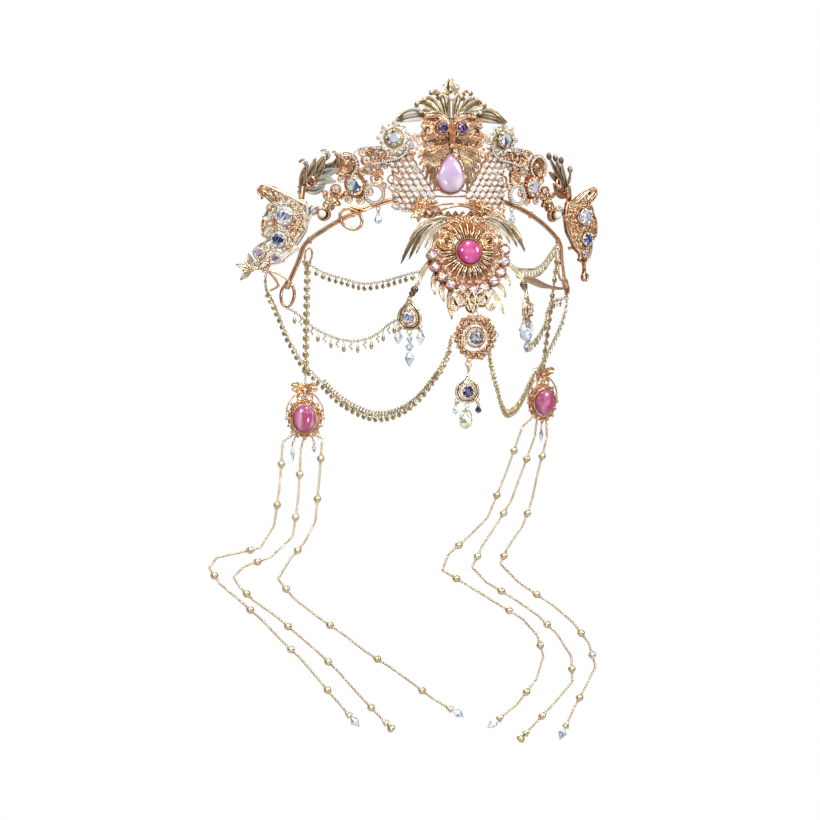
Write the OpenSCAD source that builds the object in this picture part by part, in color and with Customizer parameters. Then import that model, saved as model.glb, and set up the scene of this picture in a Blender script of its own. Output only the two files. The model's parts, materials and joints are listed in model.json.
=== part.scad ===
// Hair crown of pierced metal, leaves and stones, with a forehead piece, a nose drop,
// two temple pendants, two side pendants, six swags and six long strands.
// It is built as it is worn: X runs to the wearer's left as seen from the front,
// Y runs back through the head and Z runs up. The origin is the inner face of the band
// at the middle of its front. Pieces are drawn for the side of +X and mirrored.

/* [Head band] */
// Radius of the head inside the band
head_r = 83; // [80:1:86]
// Fall of the band from its front to its ends, in degrees
tilt = 47; // [45:1:49]
// Radius of each of the band's two wires
band_wire_r = 0.9; // [0.7:0.05:1]

/* [Pierced plates] */
// Thickness of the pierced plates
plate_t = 1.2; // [1:0.1:1.3]
// Height of the rims and ornament raised on the plates
relief_t = 1.0; // [0.8:0.1:1.2]
// Width of the bars between the openings
bar_w = 1.1; // [0.9:0.1:1.3]

/* [Stones] */
// Clearance between a stone and its setting
seat_gap = 0.25; // [0.2:0.05:0.3]
// Width of the teardrop cabochon
teardrop_w = 13; // [12.5:0.5:13.5]
// Length of the teardrop cabochon
teardrop_l = 18; // [17.5:0.5:18.5]
// Diameter of the forehead's round cabochon
forehead_cab_d = 12; // [11.5:0.5:12.5]
// Diameter of the two star stones and of the wings' pale stones
star_stone_d = 8; // [7.5:0.5:8]
// Diameter of the stones round the forehead disc
rim_stone_d = 4.5; // [4:0.1:4.6]

/* [Forehead piece] */
// Distance of the forehead disc in front of the band
forehead_out = 33; // [31:1:35]
// Drop of the forehead disc's centre below the band
forehead_drop = 30; // [29:1:31]
// Radius at which the rim stones of the disc lie
rim_r = 18.6; // [18.4:0.1:18.8]
// Lean of the forehead disc back from the vertical, in degrees
forehead_lean = 12; // [10:1:14]

/* [Chains] */
// Radius of the fine chain of the swags
swag_r = 0.45; // [0.4:0.05:0.5]
// Diameter of the small discs on the swags
charm_d = 3; // [2.8:0.1:3.2]
// Radius of the long strands' snake chain
strand_r = 0.6; // [0.5:0.05:0.65]
// Diameter of the gold balls on the strands
ball_d = 3.8; // [3.6:0.1:4]

/* [Hidden] */
$fn = 40;
GAP = 0.3;
// The plates stand this far out from the head, clear of the band's wires
PLATE_OUT = 2 * band_wire_r + GAP;
FACE_OUT = PLATE_OUT + plate_t;
// The second layer lies in front of the rims raised on the first
FRONT_OUT = FACE_OUT + relief_t + GAP;
BRASS = "#b9895a";
COPPER = "#b0653f";
PALE_GOLD = "#b59f6a";
CRYSTAL = "#e8eef2";
ICE_BLUE = "#b9cfe0";
NIGHT_BLUE = "#2d2a5c";
VIOLET = "#7b5f8f";
LILAC = "#c9a2cf";
PINK = "#cf4f86";
PEARL = "#f3ece0";

// Points of the band's wire on the side of +X, past the arc that lies on the head
BAND_TAIL = [[70.5, 27, -34], [73.2, 31.2, -42], [74.8, 33.4, -47]];
BAND_ARC_END = 54;
BAND_STEP = 9;

// Routes of the swags, from the side of the head to the middle
SWAG_UPPER_LEFT = [
    [-65.8, 21.8, -35.9], [-59, 17, -40], [-51, 7, -43], [-45, -3, -45], [-38, -13, -44],
    [-32, -23, -41.6], [-28, -29, -40], [-23.8, -32.2, -38.8]
];
SWAG_MIDDLE_LEFT = [
    [-74, 37, -58], [-70, 33, -60.5], [-64, 24, -67], [-58, 16, -71], [-53, 8, -73],
    [-48, 1, -73.5], [-43, -6, -72], [-39, -12, -69], [-36, -18, -65], [-32.1, -25.6, -61.6]
];
SWAG_LOWER_LEFT = [
    [-86.8, 28, -38.8], [-87, 30, -44], [-86, 31, -48.4], [-83, 31, -54], [-80, 29, -62], [-77, 26, -71],
    [-74, 22, -78], [-71, 19, -84], [-67, 15, -89], [-62, 9, -95], [-57, 3, -101],
    [-52, -2, -105], [-47, -8, -108], [-41, -15, -109.5], [-35, -22, -108],
    [-29, -28, -104], [-24, -34, -98], [-21, -37, -93], [-17, -41, -86],
    [-13, -41.8, -78], [-11.4, -41.6, -71.6]
];
SWAG_UPPER_RIGHT = [
    [65, 18.8, -25.5], [62.4, 16.6, -27.2], [58.5, 11.6, -30], [54, 5.6, -33.4], [48, -2.6, -36.4],
    [41, -12, -38], [34, -21.4, -38], [28, -28.8, -37.8],
    [24.4, -32.2, -37.2]
];
SWAG_MIDDLE_RIGHT = [
    [74.2, 33.2, -53.6], [69.6, 29.2, -54.2], [66, 25, -54.6], [61.6, 19.6, -56.6], [58, 15, -60.6], [55.6, 11, -66],
    [50, 4, -71.5], [42, -6, -76], [37.6, -13, -75],
    [37.4, -17, -70.6], [37.2, -20, -65.4], [33.4, -24.6, -62.4]
];
SWAG_LOWER_RIGHT = [
    [8.8, -40.2, -75.5], [8.4, -41.4, -81], [9.6, -42.6, -89], [12.4, -42.4, -98], [15.6, -39.5, -105.5],
    [20, -34, -108.5], [26, -27, -107.5], [31, -21, -104.5], [37, -13.5, -99],
    [42, -7, -94], [47, -1, -89.5], [53, 6.5, -85], [58, 13, -80.5], [63, 19.5, -75.5],
    [68, 25.6, -70.5], [73, 31.5, -63.5], [75.6, 34.4, -57.6], [76.2, 34.9, -53.4]
];

// Routes of the strands, and the spans whose middle carries a ball
STRAND_OUTER_LEFT = [
    [-75.6, 42.2, -127.3], [-78.4, 36.6, -148], [-82.4, 32, -168], [-90, 30, -179],
    [-101, 29, -181], [-113, 28, -183], [-117, 28, -188], [-112, 26, -196], [-103, 24, -204],
    [-91, 22, -215], [-82, 20, -225], [-72, 18, -235], [-63, 16, -246], [-55, 14, -256],
    [-50, 13, -262]
];
BALLS_OUTER_LEFT = [0, 1, 3, 6, 8, 10, 12];
STRAND_MIDDLE_LEFT = [
    [-66.6, 39.4, -131], [-69.2, 35, -155], [-73, 31, -174], [-85, 29, -184], [-99, 28, -188],
    [-105, 26, -193], [-102, 25, -198], [-95, 24, -205], [-83, 22, -214], [-73, 20, -223],
    [-63, 18, -232], [-53, 17, -242], [-42, 15, -255], [-31, 12, -267]
];
BALLS_MIDDLE_LEFT = [0, 1, 3, 6, 8, 10, 12];
STRAND_INNER_LEFT = [
    [-56.3, 36.5, -126], [-58, 34.8, -144], [-61, 32, -167], [-67, 30, -177], [-75, 28, -185],
    [-82, 26, -195], [-74, 24, -205], [-63, 22, -214], [-49, 21, -224], [-38, 19, -233],
    [-26, 17, -241], [-14, 16, -250], [-4, 14, -258], [3.4, 13, -262.6]
];
BALLS_INNER_LEFT = [0, 1, 3, 5, 7, 9, 11];
STRAND_INNER_RIGHT = [
    [51.5, 35.2, -121.7], [42.6, 34.6, -145], [32, 33, -168], [21, 30, -177], [9, 28, -186],
    [5.4, 27, -194], [20, 25, -203], [34, 23, -212], [47, 22, -220], [55, 20, -229],
    [58, 18, -240], [53.6, 17, -252], [42, 14, -264], [34, 12.4, -269]
];
BALLS_INNER_RIGHT = [0, 1, 3, 5, 7, 9, 11];
STRAND_MIDDLE_RIGHT = [
    [59.3, 37.6, -127.2], [50, 35.4, -149], [45, 33.6, -160], [36, 31, -172], [28, 29, -182],
    [21.6, 27, -193], [29, 26, -201], [45, 24, -211], [56, 22, -219], [66, 20, -229],
    [73.4, 18, -241], [73.4, 16, -254], [63, 14, -264], [48, 11.4, -277]
];
BALLS_MIDDLE_RIGHT = [0, 2, 4, 6, 8, 10, 12];
STRAND_OUTER_RIGHT = [
    [66.9, 39.9, -128.1], [61, 37, -146], [57, 34.6, -160], [51, 32, -173], [42, 30, -184],
    [37.4, 28, -192], [47, 26, -202], [66, 24, -215], [76, 22, -224], [84, 20, -235],
    [87, 18, -247], [80, 15, -257.6], [73.6, 13.4, -267], [69.6, 12, -274]
];
BALLS_OUTER_RIGHT = [0, 2, 4, 6, 8, 9, 11];

// Geometry of points and directions
function unit(v) = v / norm(v);
function at(v, i) = is_list(v) ? v[i] : v;
function flipped(pts) = [for (p = pts) [-p.x, p.y, p.z]];
function front_y(x) = (head_r - sqrt(head_r * head_r - x * x)) * cos(tilt);
function front_yaw(x) = atan(cos(tilt) * x / sqrt(head_r * head_r - x * x));
function length_of(pts, i = 0) =
    i > len(pts) - 2 ? 0 : norm(pts[i + 1] - pts[i]) + length_of(pts, i + 1);
function walk(pts, d, i = 0) =
    let (span = norm(pts[i + 1] - pts[i]))
    d <= span || i == len(pts) - 2
        ? [pts[i] + (pts[i + 1] - pts[i]) * d / span, unit(pts[i + 1] - pts[i])]
        : walk(pts, d - span, i + 1);
function arc_point(phi) =
    let (r = head_r + band_wire_r, s = r * (1 - cos(phi)))
    [r * sin(phi), s * cos(tilt) - band_wire_r, -s * sin(tilt)];
function band_half() =
    concat([for (phi = [BAND_STEP:BAND_STEP:BAND_ARC_END]) arc_point(phi)], BAND_TAIL);
function reversed(pts) = [for (i = [len(pts) - 1:-1:0]) pts[i]];
function band_route() = concat(reversed(flipped(band_half())), [arc_point(0)], band_half());
function outward(p) =
    let (depth = head_r * cos(tilt)) unit([p.x / pow(head_r, 2), (p.y - depth) / pow(depth, 2), 0]);
function beside(pts, d) = [
    for (i = [0:len(pts) - 1])
    let (t = unit(pts[min(i + 1, len(pts) - 1)] - pts[max(i - 1, 0)]))
    pts[i] + d * unit(cross(outward(pts[i]), t))
];

// Placing: a piece drawn in X and Y, with Z towards the viewer
module sided(s)
{
    if (s < 0)
        mirror([1, 0, 0]) children();
    else
        children();
}

module facing(at, yaw = 0, lean = 0, roll = 0)
{
    translate(at) rotate([0, 0, yaw]) rotate([90 - lean, 0, 0]) rotate([0, 0, roll]) children();
}

module on_front(x, z, out = PLATE_OUT, roll = 0)
{
    translate([x, front_y(x), z]) rotate([0, 0, front_yaw(x)])
    translate([0, -out, 0]) rotate([90, 0, 0]) rotate([0, 0, roll]) children();
}

module on_forehead(x = 0, y = 0, z = 0)
{
    facing([0, -forehead_out, -forehead_drop], 0, forehead_lean) translate([x, y, z]) children();
}

module along(p, dir)
{
    translate(p) rotate([0, acos(dir.z), atan2(dir.y, dir.x)]) children();
}

// Flat shapes
module ring2(r, w)
{
    difference() {
        circle(r);
        circle(r - w);
    }
}

module leaf2(length, width)
{
    r = (length * length / 4 + width * width / 4) / width;
    intersection() {
        translate([r - width / 2, length / 2]) circle(r, $fn = 160);
        translate([width / 2 - r, length / 2]) circle(r, $fn = 160);
    }
}

module crescent2(length, width, bulge)
{
    high = bulge + width / 2;
    low = bulge - width / 2;
    r1 = (length * length / 4 + high * high) / (2 * high);
    r2 = (length * length / 4 + low * low) / (2 * low);
    difference() {
        translate([high - r1, length / 2]) circle(r1, $fn = 160);
        translate([low - r2, length / 2]) circle(r2, $fn = 160);
    }
}

module leaf_to2(a, b, w, bulge = 0)
{
    translate(a) rotate(atan2(b.y - a.y, b.x - a.x) - 90) {
        if (bulge == 0)
            leaf2(norm(b - a), w);
        else
            scale([bulge > 0 ? 1 : -1, 1]) crescent2(norm(b - a), w, abs(bulge));
    }
}

module bar2(a, b, w = bar_w)
{
    translate(a) rotate(atan2(b.y - a.y, b.x - a.x)) translate([0, -w / 2]) square([norm(b - a), w]);
}

module path2(pts, w = bar_w)
{
    for (i = [0:len(pts) - 2]) {
        bar2(pts[i], pts[i + 1], w);
        translate(pts[i + 1]) circle(w / 2 + 0.08, $fn = 24);
    }
}

module stadium2(w, l, grow = 0)
{
    for (s = [-1, 1]) translate([0, s * (l - w) / 2]) circle(w / 2 + grow);
    square([w + 2 * grow, l - w], center = true);
}

module drop2(w, l, grow = 0)
{
    r = w / 2;
    tip = l - r;
    a = asin(r / tip);
    big_r = r + grow;
    big_tip = tip * big_r / r;
    circle(big_r);
    polygon([[0, big_tip], [-big_r * cos(a), big_r * sin(a)], [big_r * cos(a), big_r * sin(a)]]);
}

module petals2(n, r0, length, width, start = 0)
{
    for (i = [0:n - 1]) rotate(start + i * 360 / n) translate([0, r0]) leaf2(length, width);
}

// Solid shapes
module plate(t = plate_t)
{
    linear_extrude(t) children();
}

module relief(h = relief_t)
{
    translate([0, 0, plate_t - 0.1]) linear_extrude(h + 0.1) children();
}

module gem(d, h, stretch = 1, sides = 8)
{
    step = 360 / sides;
    pts = concat(
        [[0, 0, 0]],
        [for (k = [0:sides - 1]) [d / 2 * stretch * cos(k * step), d / 2 * sin(k * step), 0.5 * h]],
        [
            for (k = [0:sides - 1])
            [0.3 * d * stretch * cos((k + 0.5) * step), 0.3 * d * sin((k + 0.5) * step), h]
        ]
    );
    faces = concat(
        [for (k = [0:sides - 1]) [0, 1 + k, 1 + (k + 1) % sides]],
        [for (k = [0:sides - 1]) [1 + k, 1 + sides + k, 1 + (k + 1) % sides]],
        [for (k = [0:sides - 1]) [1 + sides + k, 1 + sides + (k + 1) % sides, 1 + (k + 1) % sides]],
        [[for (k = [sides - 1:-1:0]) 1 + sides + k]]
    );
    polyhedron(pts, faces);
}

module bicone(d, h, sides = 8)
{
    translate([0, 0, -h / 2]) {
        cylinder(h = h / 2, r1 = d / 5, r2 = d / 2, $fn = sides);
        translate([0, 0, h / 2]) cylinder(h = h / 2, r1 = d / 2, r2 = d / 5, $fn = sides);
    }
}

module cabochon(w, l, h)
{
    rise = h - 0.3;
    dome_r = (l * l / 4 + rise * rise) / (2 * rise);
    intersection() {
        linear_extrude(h) stadium2(w, l);
        translate([0, 0, h - dome_r]) sphere(dome_r, $fn = 64);
    }
}

module hanging_drop(w, l)
{
    rotate_extrude() intersection() {
        drop2(w, l);
        translate([0, -l]) square([l, 3 * l]);
    }
}

module eye_ring(r, wire)
{
    rotate_extrude() translate([r, 0]) circle(wire, $fn = 16);
}

module rod(a, b, r)
{
    along(a, unit(b - a)) cylinder(h = norm(b - a), r = r, $fn = 20);
}

module tube(route, r, sides = 8, up = [0, 1, 0])
{
    n = len(route);
    pts = [
        for (i = [0:n - 1])
        let (
            t = unit(route[min(i + 1, n - 1)] - route[max(i - 1, 0)]),
            a = unit(cross(t, up)),
            b = cross(a, t)
        )
        for (k = [0:sides - 1])
        route[i] + at(r, i) * (a * cos(k * 360 / sides) + b * sin(k * 360 / sides))
    ];
    faces = concat(
        [[for (k = [sides - 1:-1:0]) k], [for (k = [0:sides - 1]) (n - 1) * sides + k]],
        [
            for (i = [0:n - 2], k = [0:sides - 1], half = [0, 1])
            let (next = (k + 1) % sides, here = i * sides, there = (i + 1) * sides)
            half == 0 ? [here + k, here + next, there + next] : [here + k, there + next, there + k]
        ]
    );
    polyhedron(pts, faces);
}

// Leaf of round sections from a to b, which bends aside by bend and is w wide
module blade(a, b, bend = 0, w = 2, t = 1, rise = 0.6)
{
    steps = 4;
    size = [0.5, 1, 0.95, 0.6, 0.12];
    side = unit([a.y - b.y, b.x - a.x]);
    function spot(i) =
        let (u = i / steps) a + (b - a) * u + side * bend * 4 * u * (1 - u);
    module section(i)
    {
        translate([spot(i).x, spot(i).y, rise * sin(180 * i / steps)])
            cylinder(h = t, r1 = w / 2 * size[i], r2 = 0.4 * w / 2 * size[i], $fn = 6);
    }
    for (i = [0:steps - 1]) hull() {
        section(i);
        section(i + 1);
    }
}

// The band: two wires side by side with a loop at each end, a loop bent out of it on one
// side, and on the other a leaf-shaped bar that runs forward to the forehead piece
LEAF_BAR = [
    [30.6, -28.6, -42], [34, -22, -42.6], [41, -12, -44], [50, 1, -46], [60, 15, -47.4],
    [69.6, 27, -48.4], [74.4, 33.2, -48]
];
LEAF_BAR_R = [0.6, 0.9, 2, 1.5, 0.8, 0.7, 0.7];

module wire_loop(centre, w, l, yaw, roll, r, turn = 0)
{
    steps = 11;
    facing(centre, yaw, 0, roll) tube(
        [
            for (i = [0:steps])
            let (a = turn + i * 345 / steps)
            [w / 2 * cos(a), l / 2 * sin(a), 0]
        ],
        r, 6, [0, 0, 1]
    );
}

module collar(phi)
{
    p = arc_point(phi);
    hull() for (d = [-1.2, 1.2])
        translate(p + [0, 0, d]) rotate([0, 90, phi]) cylinder(h = 2.2, r = 1.1, $fn = 6, center = true);
}

module band_frame()
{
    color(COPPER) {
        for (d = [-1.1, 1.1]) tube(beside(band_route(), d), band_wire_r, 7);
        for (phi = [-52, -34, -17, 17, 34, 52]) collar(phi);
        for (s = [-1, 1]) sided(s) {
            wire_loop([66.4, 22.5, -31], 4, 7, 40, 10, 0.55, 60);
            hull() {
                translate([74.2, 32.8, -44.5]) sphere(1.6, $fn = 6);
                translate([75, 33.8, -47.4]) sphere(1.6, $fn = 6);
            }
        }
        sided(-1) {
            for (d = [-0.9, 0.9])
                wire_loop([74.5, 34.5 - d, -51.2], 7.4, 12, 38, 8, 0.65, 90);
            wire_loop([48, 8.3, -13], 12, 9, 27, 35, 0.8, 60);
        }
        wire_loop([70.4, 28.6, -39.6], 4.6, 9.4, 38, 14, 0.6, 60);
        facing([75.6, 34.4, -49.5], 38, 0, 8) translate([0, 0, -0.5]) linear_extrude(1)
            polygon([[-2, 3.6], [1.6, 3.4], [2.4, -3.4], [-1.6, -3]]);
        tube(LEAF_BAR, LEAF_BAR_R, 6, [0, 0, 1]);
    }
}

// The palmette that crowns the front
module palmette_side()
{
    blade([1.6, 0.4], [4.4, 9.6], -0.8, 2.6, 1.4);
    blade([3, 0.3], [9, 12], -1.4, 3.4, 1.7);
    blade([4.4, 0.2], [12.6, 8.6], 1.2, 3, 1.4);
    blade([5, 0.2], [17, 7.2], 2.6, 4, 1.6);
    blade([12.6, 2.8], [28, -1.6], 3.2, 6, 1.5);
    hull() {
        translate([9, 12, 0]) cylinder(h = 2.4, r = 1.2, $fn = 8);
        translate([10, 11.2, 0]) cylinder(h = 2, r = 0.8, $fn = 8);
    }
    hull() {
        translate([4.6, 10.2, 0]) cylinder(h = 2, r = 1, $fn = 8);
        translate([5.2, 9.4, 0]) cylinder(h = 1.6, r = 0.7, $fn = 8);
    }
    hull() {
        translate([16.4, 7.2, 0]) cylinder(h = 2.2, r = 1.1, $fn = 8);
        translate([17.6, 6, 0]) cylinder(h = 1.8, r = 0.8, $fn = 8);
    }
}

module top_palmette()
{
    color(PALE_GOLD) on_front(0, 38) {
        for (s = [-1, 1]) sided(s) palmette_side();
        hull() {
            translate([0, 2.6, 0]) cylinder(h = 1.8, r = 2.2, $fn = 8);
            translate([0, 9, 0]) cylinder(h = 1.6, r = 1.8, $fn = 8);
        }
        hull() {
            translate([0, 10.6, 0]) cylinder(h = 1.4, r = 1.1, $fn = 8);
            translate([0, 14, 0]) cylinder(h = 2.6, r1 = 3.4, r2 = 1.4, $fn = 8);
            translate([0, 18.6, 0]) cylinder(h = 1.2, r = 0.4, $fn = 8);
        }
        translate([0, -0.4, 0]) hull() for (x = [-13, 13])
            translate([x, 1.2, 0]) cylinder(h = 1, r = 0.9, $fn = 8);
    }
}

// The mask of filigree with two dark stones for eyes, and the leaves beside the teardrop
MASK_X = 0.6;
EYE_X = 5.1;
EYE_Y = 3.5;
EYE_D = 5;

module centre_outline2()
{
    for (s = [-1, 1]) scale([s, 1]) {
        translate([EYE_X, EYE_Y]) ring2(EYE_D / 2 + 1.3, 1.7);
        translate([0, 2]) rotate(-62) leaf2(14.5, 2.2);
        translate([0.6, -0.6]) rotate(-104) leaf2(14, 2.2);
        translate([0.6, -1]) rotate(-120) leaf2(13.5, 2.2);
        translate([0.6, -1.4]) rotate(-138) leaf2(11.5, 2.2);
        path2([[13.5, -4.4], [14.4, 0], [13.8, 4.5], [13.4, 8.6]], 1.3);
        translate([11.6, 6.2]) ring2(2.2, 0.9);
        translate([9.4, -4.6]) ring2(1.7, 0.8);
        path2([[11.5, -8], [13.5, -4.4]], 1.3);
        translate([11.2, 2]) ring2(2.4, 0.9);
        translate([9, 6.2]) ring2(2, 0.9);
        translate([10.5, -1.4]) ring2(1.7, 0.8);
    }
    translate([0, 3]) rotate(180) leaf2(10.4, 3);
    translate([0, 1]) circle(2.2);
    translate([0, -6.9]) ring2(1.5, 0.8);
    bar2([-13, 8.2], [13, 8.2], 0.9);
}

module centre_filigree()
{
    color(COPPER) on_front(MASK_X, 28.5) {
        plate() centre_outline2();
        relief(1.4) for (s = [-1, 1]) scale([s, 1]) translate([EYE_X, EYE_Y]) ring2(EYE_D / 2 + 1, 1.8);
        relief(2.4) for (s = [-1, 1]) scale([s, 1]) translate([EYE_X, EYE_Y])
            ring2(EYE_D / 2 + seat_gap + 0.7, 0.7);
        relief() for (s = [-1, 1]) scale([s, 1]) {
            translate([2.6, 5.2]) rotate(-70) leaf2(9.6, 1.3);
            translate([1.6, -1.2]) rotate(-106) leaf2(10.5, 1);
            translate([1.6, -1.8]) rotate(-122) leaf2(10, 1);
        }
        relief(1.4) translate([0, 2.6]) rotate(180) leaf2(8, 2);
    }
}

module brow_stones()
{
    color(NIGHT_BLUE) on_front(MASK_X, 28.5, FACE_OUT + 1.6)
        for (s = [-1, 1]) translate([s * EYE_X, EYE_Y, 0]) gem(EYE_D, 2);
}

module copper_leaf_side()
{
    fan = [[17.4, 15.4], [16.2, 12], [14, 9], [11.8, 7], [10, 5.4]];
    for (tip = fan) blade([10.2, 21], tip, 0.8, 2.4, 1.1);
    hull() {
        translate([10, 21.6, 0]) cylinder(h = 1.4, r = 1.3, $fn = 8);
        translate([9.6, 19.4, 0]) cylinder(h = 1.2, r = 0.9, $fn = 8);
    }
}

module copper_leaves()
{
    color(COPPER) on_front(0, 0, FRONT_OUT) for (s = [-1, 1]) sided(s) copper_leaf_side();
}

TEAR_Z = 6.7;

module teardrop_bezel()
{
    color(BRASS) on_front(0, TEAR_Z) {
        plate() difference() {
            drop2(teardrop_w, teardrop_l, 0.9);
            drop2(teardrop_w, teardrop_l, -1.2);
        }
        relief() difference() {
            drop2(teardrop_w, teardrop_l, 0.9);
            drop2(teardrop_w, teardrop_l, seat_gap);
        }
    }
}

module teardrop_stone()
{
    dome_r = 17;
    color(LILAC) on_front(0, TEAR_Z, FACE_OUT + 0.1) intersection() {
        linear_extrude(4) drop2(teardrop_w, teardrop_l);
        translate([0, 1, 4 - dome_r]) sphere(dome_r, $fn = 96);
    }
}

// The star flowers on the crown's shoulders
STAR_X = 27.5;
STAR_Z = 26.8;

module star_mount()
{
    color(PALE_GOLD) on_front(STAR_X, STAR_Z, FRONT_OUT) {
        plate(1) difference() {
            union() {
                petals2(8, 2.6, 5.8, 3.2);
                circle(5);
                bar2([0, 0], [2, -10.5], 1.6);
                translate([-8.2, -4.4]) ring2(3, 1.1);
                translate([-9.6, 1]) ring2(2.4, 1);
                translate([-7.4, -9.4]) ring2(2.4, 1);
                translate([7.6, -5.2]) ring2(3, 1.1);
                translate([12.2, -8]) ring2(2.6, 1.1);
                translate([8, -10.4]) ring2(2.5, 1);
                translate([3.4, -9.4]) ring2(2.3, 1);
            }
            circle(2.8);
        }
        translate([0, 0, 0.9]) linear_extrude(1.1) ring2(star_stone_d / 2 + seat_gap + 0.7, 0.7);
    }
}

module star_stones()
{
    color(CRYSTAL) {
        for (s = [-1, 1]) sided(s)
            on_front(STAR_X, STAR_Z, FRONT_OUT + 1.15) gem(star_stone_d, 3.4);
        on_front(0, 47.3, PLATE_OUT + 1.9) gem(3, 1.4);
    }
}

// The nets of small stones on both sides of the teardrop
NET_X = 18.5;
NET_Z = 6;
// height of the row, place of its first stone and number of stones
NET_ROWS = [
    [12.2, 2.8, 2], [8.2, 0.4, 3], [4.2, -1.4, 3], [0.2, -3.8, 4], [-3.8, -6.2, 4],
    [-7.8, -6.8, 4], [-11.8, -6, 3]
];
NET_PITCH = 4.5;
NET_STONE_L = 4.2;
NET_STONE_W = 2.9;
NET_TURN = -55;

function net_spots() = [
    for (row = NET_ROWS, i = [0:row[2] - 1]) [row[1] + i * NET_PITCH, row[0]]
];

module stone_net()
{
    color(BRASS) on_front(NET_X, NET_Z) difference() {
        plate() {
            for (p = net_spots()) translate(p) rotate(NET_TURN) stadium2(NET_STONE_W, NET_STONE_L, 0.95);
            path2([[-7.8, -13.6], [-8.6, -6], [-5.6, -1.2], [-1.6, 6.4], [2, 13.8], [8.4, 14]], 1);
            path2([[8.4, 14], [9.4, 8], [9.4, 1], [10, -5], [8, -13.4], [-7.8, -13.6]], 1);
        }
        for (p = net_spots()) translate([p.x, p.y, -1]) rotate(NET_TURN)
            linear_extrude(plate_t + 2) stadium2(NET_STONE_W, NET_STONE_L, seat_gap);
    }
}

module net_stones()
{
    color(CRYSTAL) on_front(NET_X, NET_Z, PLATE_OUT + 0.2)
        for (p = net_spots()) translate(p) rotate(NET_TURN + 90)
            gem(NET_STONE_W, 1.9, NET_STONE_L / NET_STONE_W);
}

// The lattice on the band: rings, a shell, an oval setting, a knot and a pearl cup
OVAL_X = 45;
OVAL_Z = 3.6;
OVAL_W = 7.6;
OVAL_L = 9.6;
OVAL_TURN = -20;
SHELL_X = 49;
SHELL_Z = 13.4;
PAVE_X = 36.4;
PAVE_Z = -0.6;
PEARL_X = 58.6;
PEARL_Z = -10.6;

module shell()
{
    on_front(SHELL_X, SHELL_Z) {
        plate() difference() {
            union() {
                circle(5.6);
                for (a = [-60:20:240]) rotate(a) translate([5.6, 0]) circle(0.9, $fn = 20);
            }
            for (a = [30:30:150]) rotate(a) translate([1.6, -0.35]) square([3, 0.7]);
        }
        relief(0.8) difference() {
            circle(3.6);
            for (a = [15:30:165]) rotate(a) translate([0.8, -0.25]) square([3, 0.5]);
        }
    }
}

module band_lattice()
{
    color(BRASS) {
        shell();
        on_front(OVAL_X, OVAL_Z, PLATE_OUT, OVAL_TURN) {
            plate() difference() {
                stadium2(OVAL_W, OVAL_L, 1.5);
                stadium2(OVAL_W, OVAL_L, -1.3);
            }
            relief() difference() {
                stadium2(OVAL_W, OVAL_L, 1);
                stadium2(OVAL_W, OVAL_L, seat_gap);
            }
        }
        on_front(PAVE_X, PAVE_Z) plate() {
            ring2(5.2, 1.4);
            translate([-1.2, 7.4]) ring2(3.2, 1);
            translate([5.2, 4.6]) ring2(2.6, 1);
            translate([-4.4, 4]) ring2(2, 0.9);
        }
        on_front(35.2, 14.4) plate() {
            ring2(3, 1);
            translate([5.4, 1.6]) ring2(2.9, 1);
            translate([-1, -4.8]) ring2(2.4, 1);
            translate([4.4, -3.2]) ring2(2.4, 1);
            translate([-2.4, 4.6]) ring2(2.6, 1);
            translate([3, 5.4]) ring2(2.4, 1);
            translate([7.2, 5.4]) ring2(2.2, 0.9);
        }
        on_front(55.4, -3.6) plate() difference() {
            union() {
                petals2(6, 0.6, 4.6, 3);
                circle(2);
                bar2([-9, 4], [0, 0], 1.8);
                translate([-2, 5.2]) ring2(2.8, 1.1);
                bar2([0, 0], [4, -5], 1.8);
            }
            circle(0.9);
        }
        on_front(PEARL_X, PEARL_Z) {
            plate() {
                circle(3.3);
                translate([5.4, 2.2]) ring2(2.6, 0.9);
                bar2([0, 0], [-4.2, 7], 1.6);
            }
            relief(0.8) ring2(3.3, 0.7);
        }
    }
}

module band_stones()
{
    color(CRYSTAL) on_front(OVAL_X, OVAL_Z, FACE_OUT + 0.15, OVAL_TURN + 90)
        gem(OVAL_W, 3.2, OVAL_L / OVAL_W, 10);
    color(PEARL) on_front(PEARL_X, PEARL_Z, FACE_OUT + 0.2) translate([0, 0, 2.2]) sphere(2.2);
    color(CRYSTAL) on_front(PEARL_X, PEARL_Z, FACE_OUT + 0.2) translate([5.4, 2.2, 0]) gem(4, 2.4);
    color(ICE_BLUE) translate([35, front_y(35) - 1, -12.4]) bicone(4, 6.6);
    color(ICE_BLUE) translate([35, front_y(35) - 1, -8.4]) sphere(0.6, $fn = 16);
}

// The sprays of curled leaves that stand between the lattice and the wings
module leaf_spray()
{
    color(PALE_GOLD) on_front(66, 0, 3.4) {
        blade([4.6, 1.6], [-12.5, 18.6], -3.2, 5.4, 1.5);
        blade([4.4, 4], [-5.8, 20.2], -2.4, 5, 1.6);
        blade([5, 5], [0.6, 18.8], -1.8, 4, 1.5);
        blade([5.6, 4], [10.6, 14.6], 1.6, 2.8, 1.4);
        blade([4.8, 0.6], [-14.6, 9.8], 2.8, 4.6, 1.3);
        blade([4.6, -1], [-13.4, 3.2], 2.6, 4.6, 1.4);
        blade([4.6, -2.6], [-4.8, -1.4], 1.8, 3.4, 1.3);
        hull() {
            translate([4.8, -5.4, 0]) cylinder(h = 1.8, r = 1.3, $fn = 8);
            translate([5, 5, 0]) cylinder(h = 2, r = 1.9, $fn = 8);
        }
    }
}

// The wings of filigree with their stones. The right one ends in a hook instead of a star
WING_AT = [78, 22.5, 0];
WING_YAW = 28;
// place across and up, diameter
SEATS_LEFT = [[0, -11.6, 8], [3.2, -23.3, 6.4], [13.2, -29.8, 4], [4.6, -32.2, 4]];
SEATS_RIGHT = [[1.2, -11.2, 8], [3.2, -22.8, 6.4], [2.6, -30.4, 4]];

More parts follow.
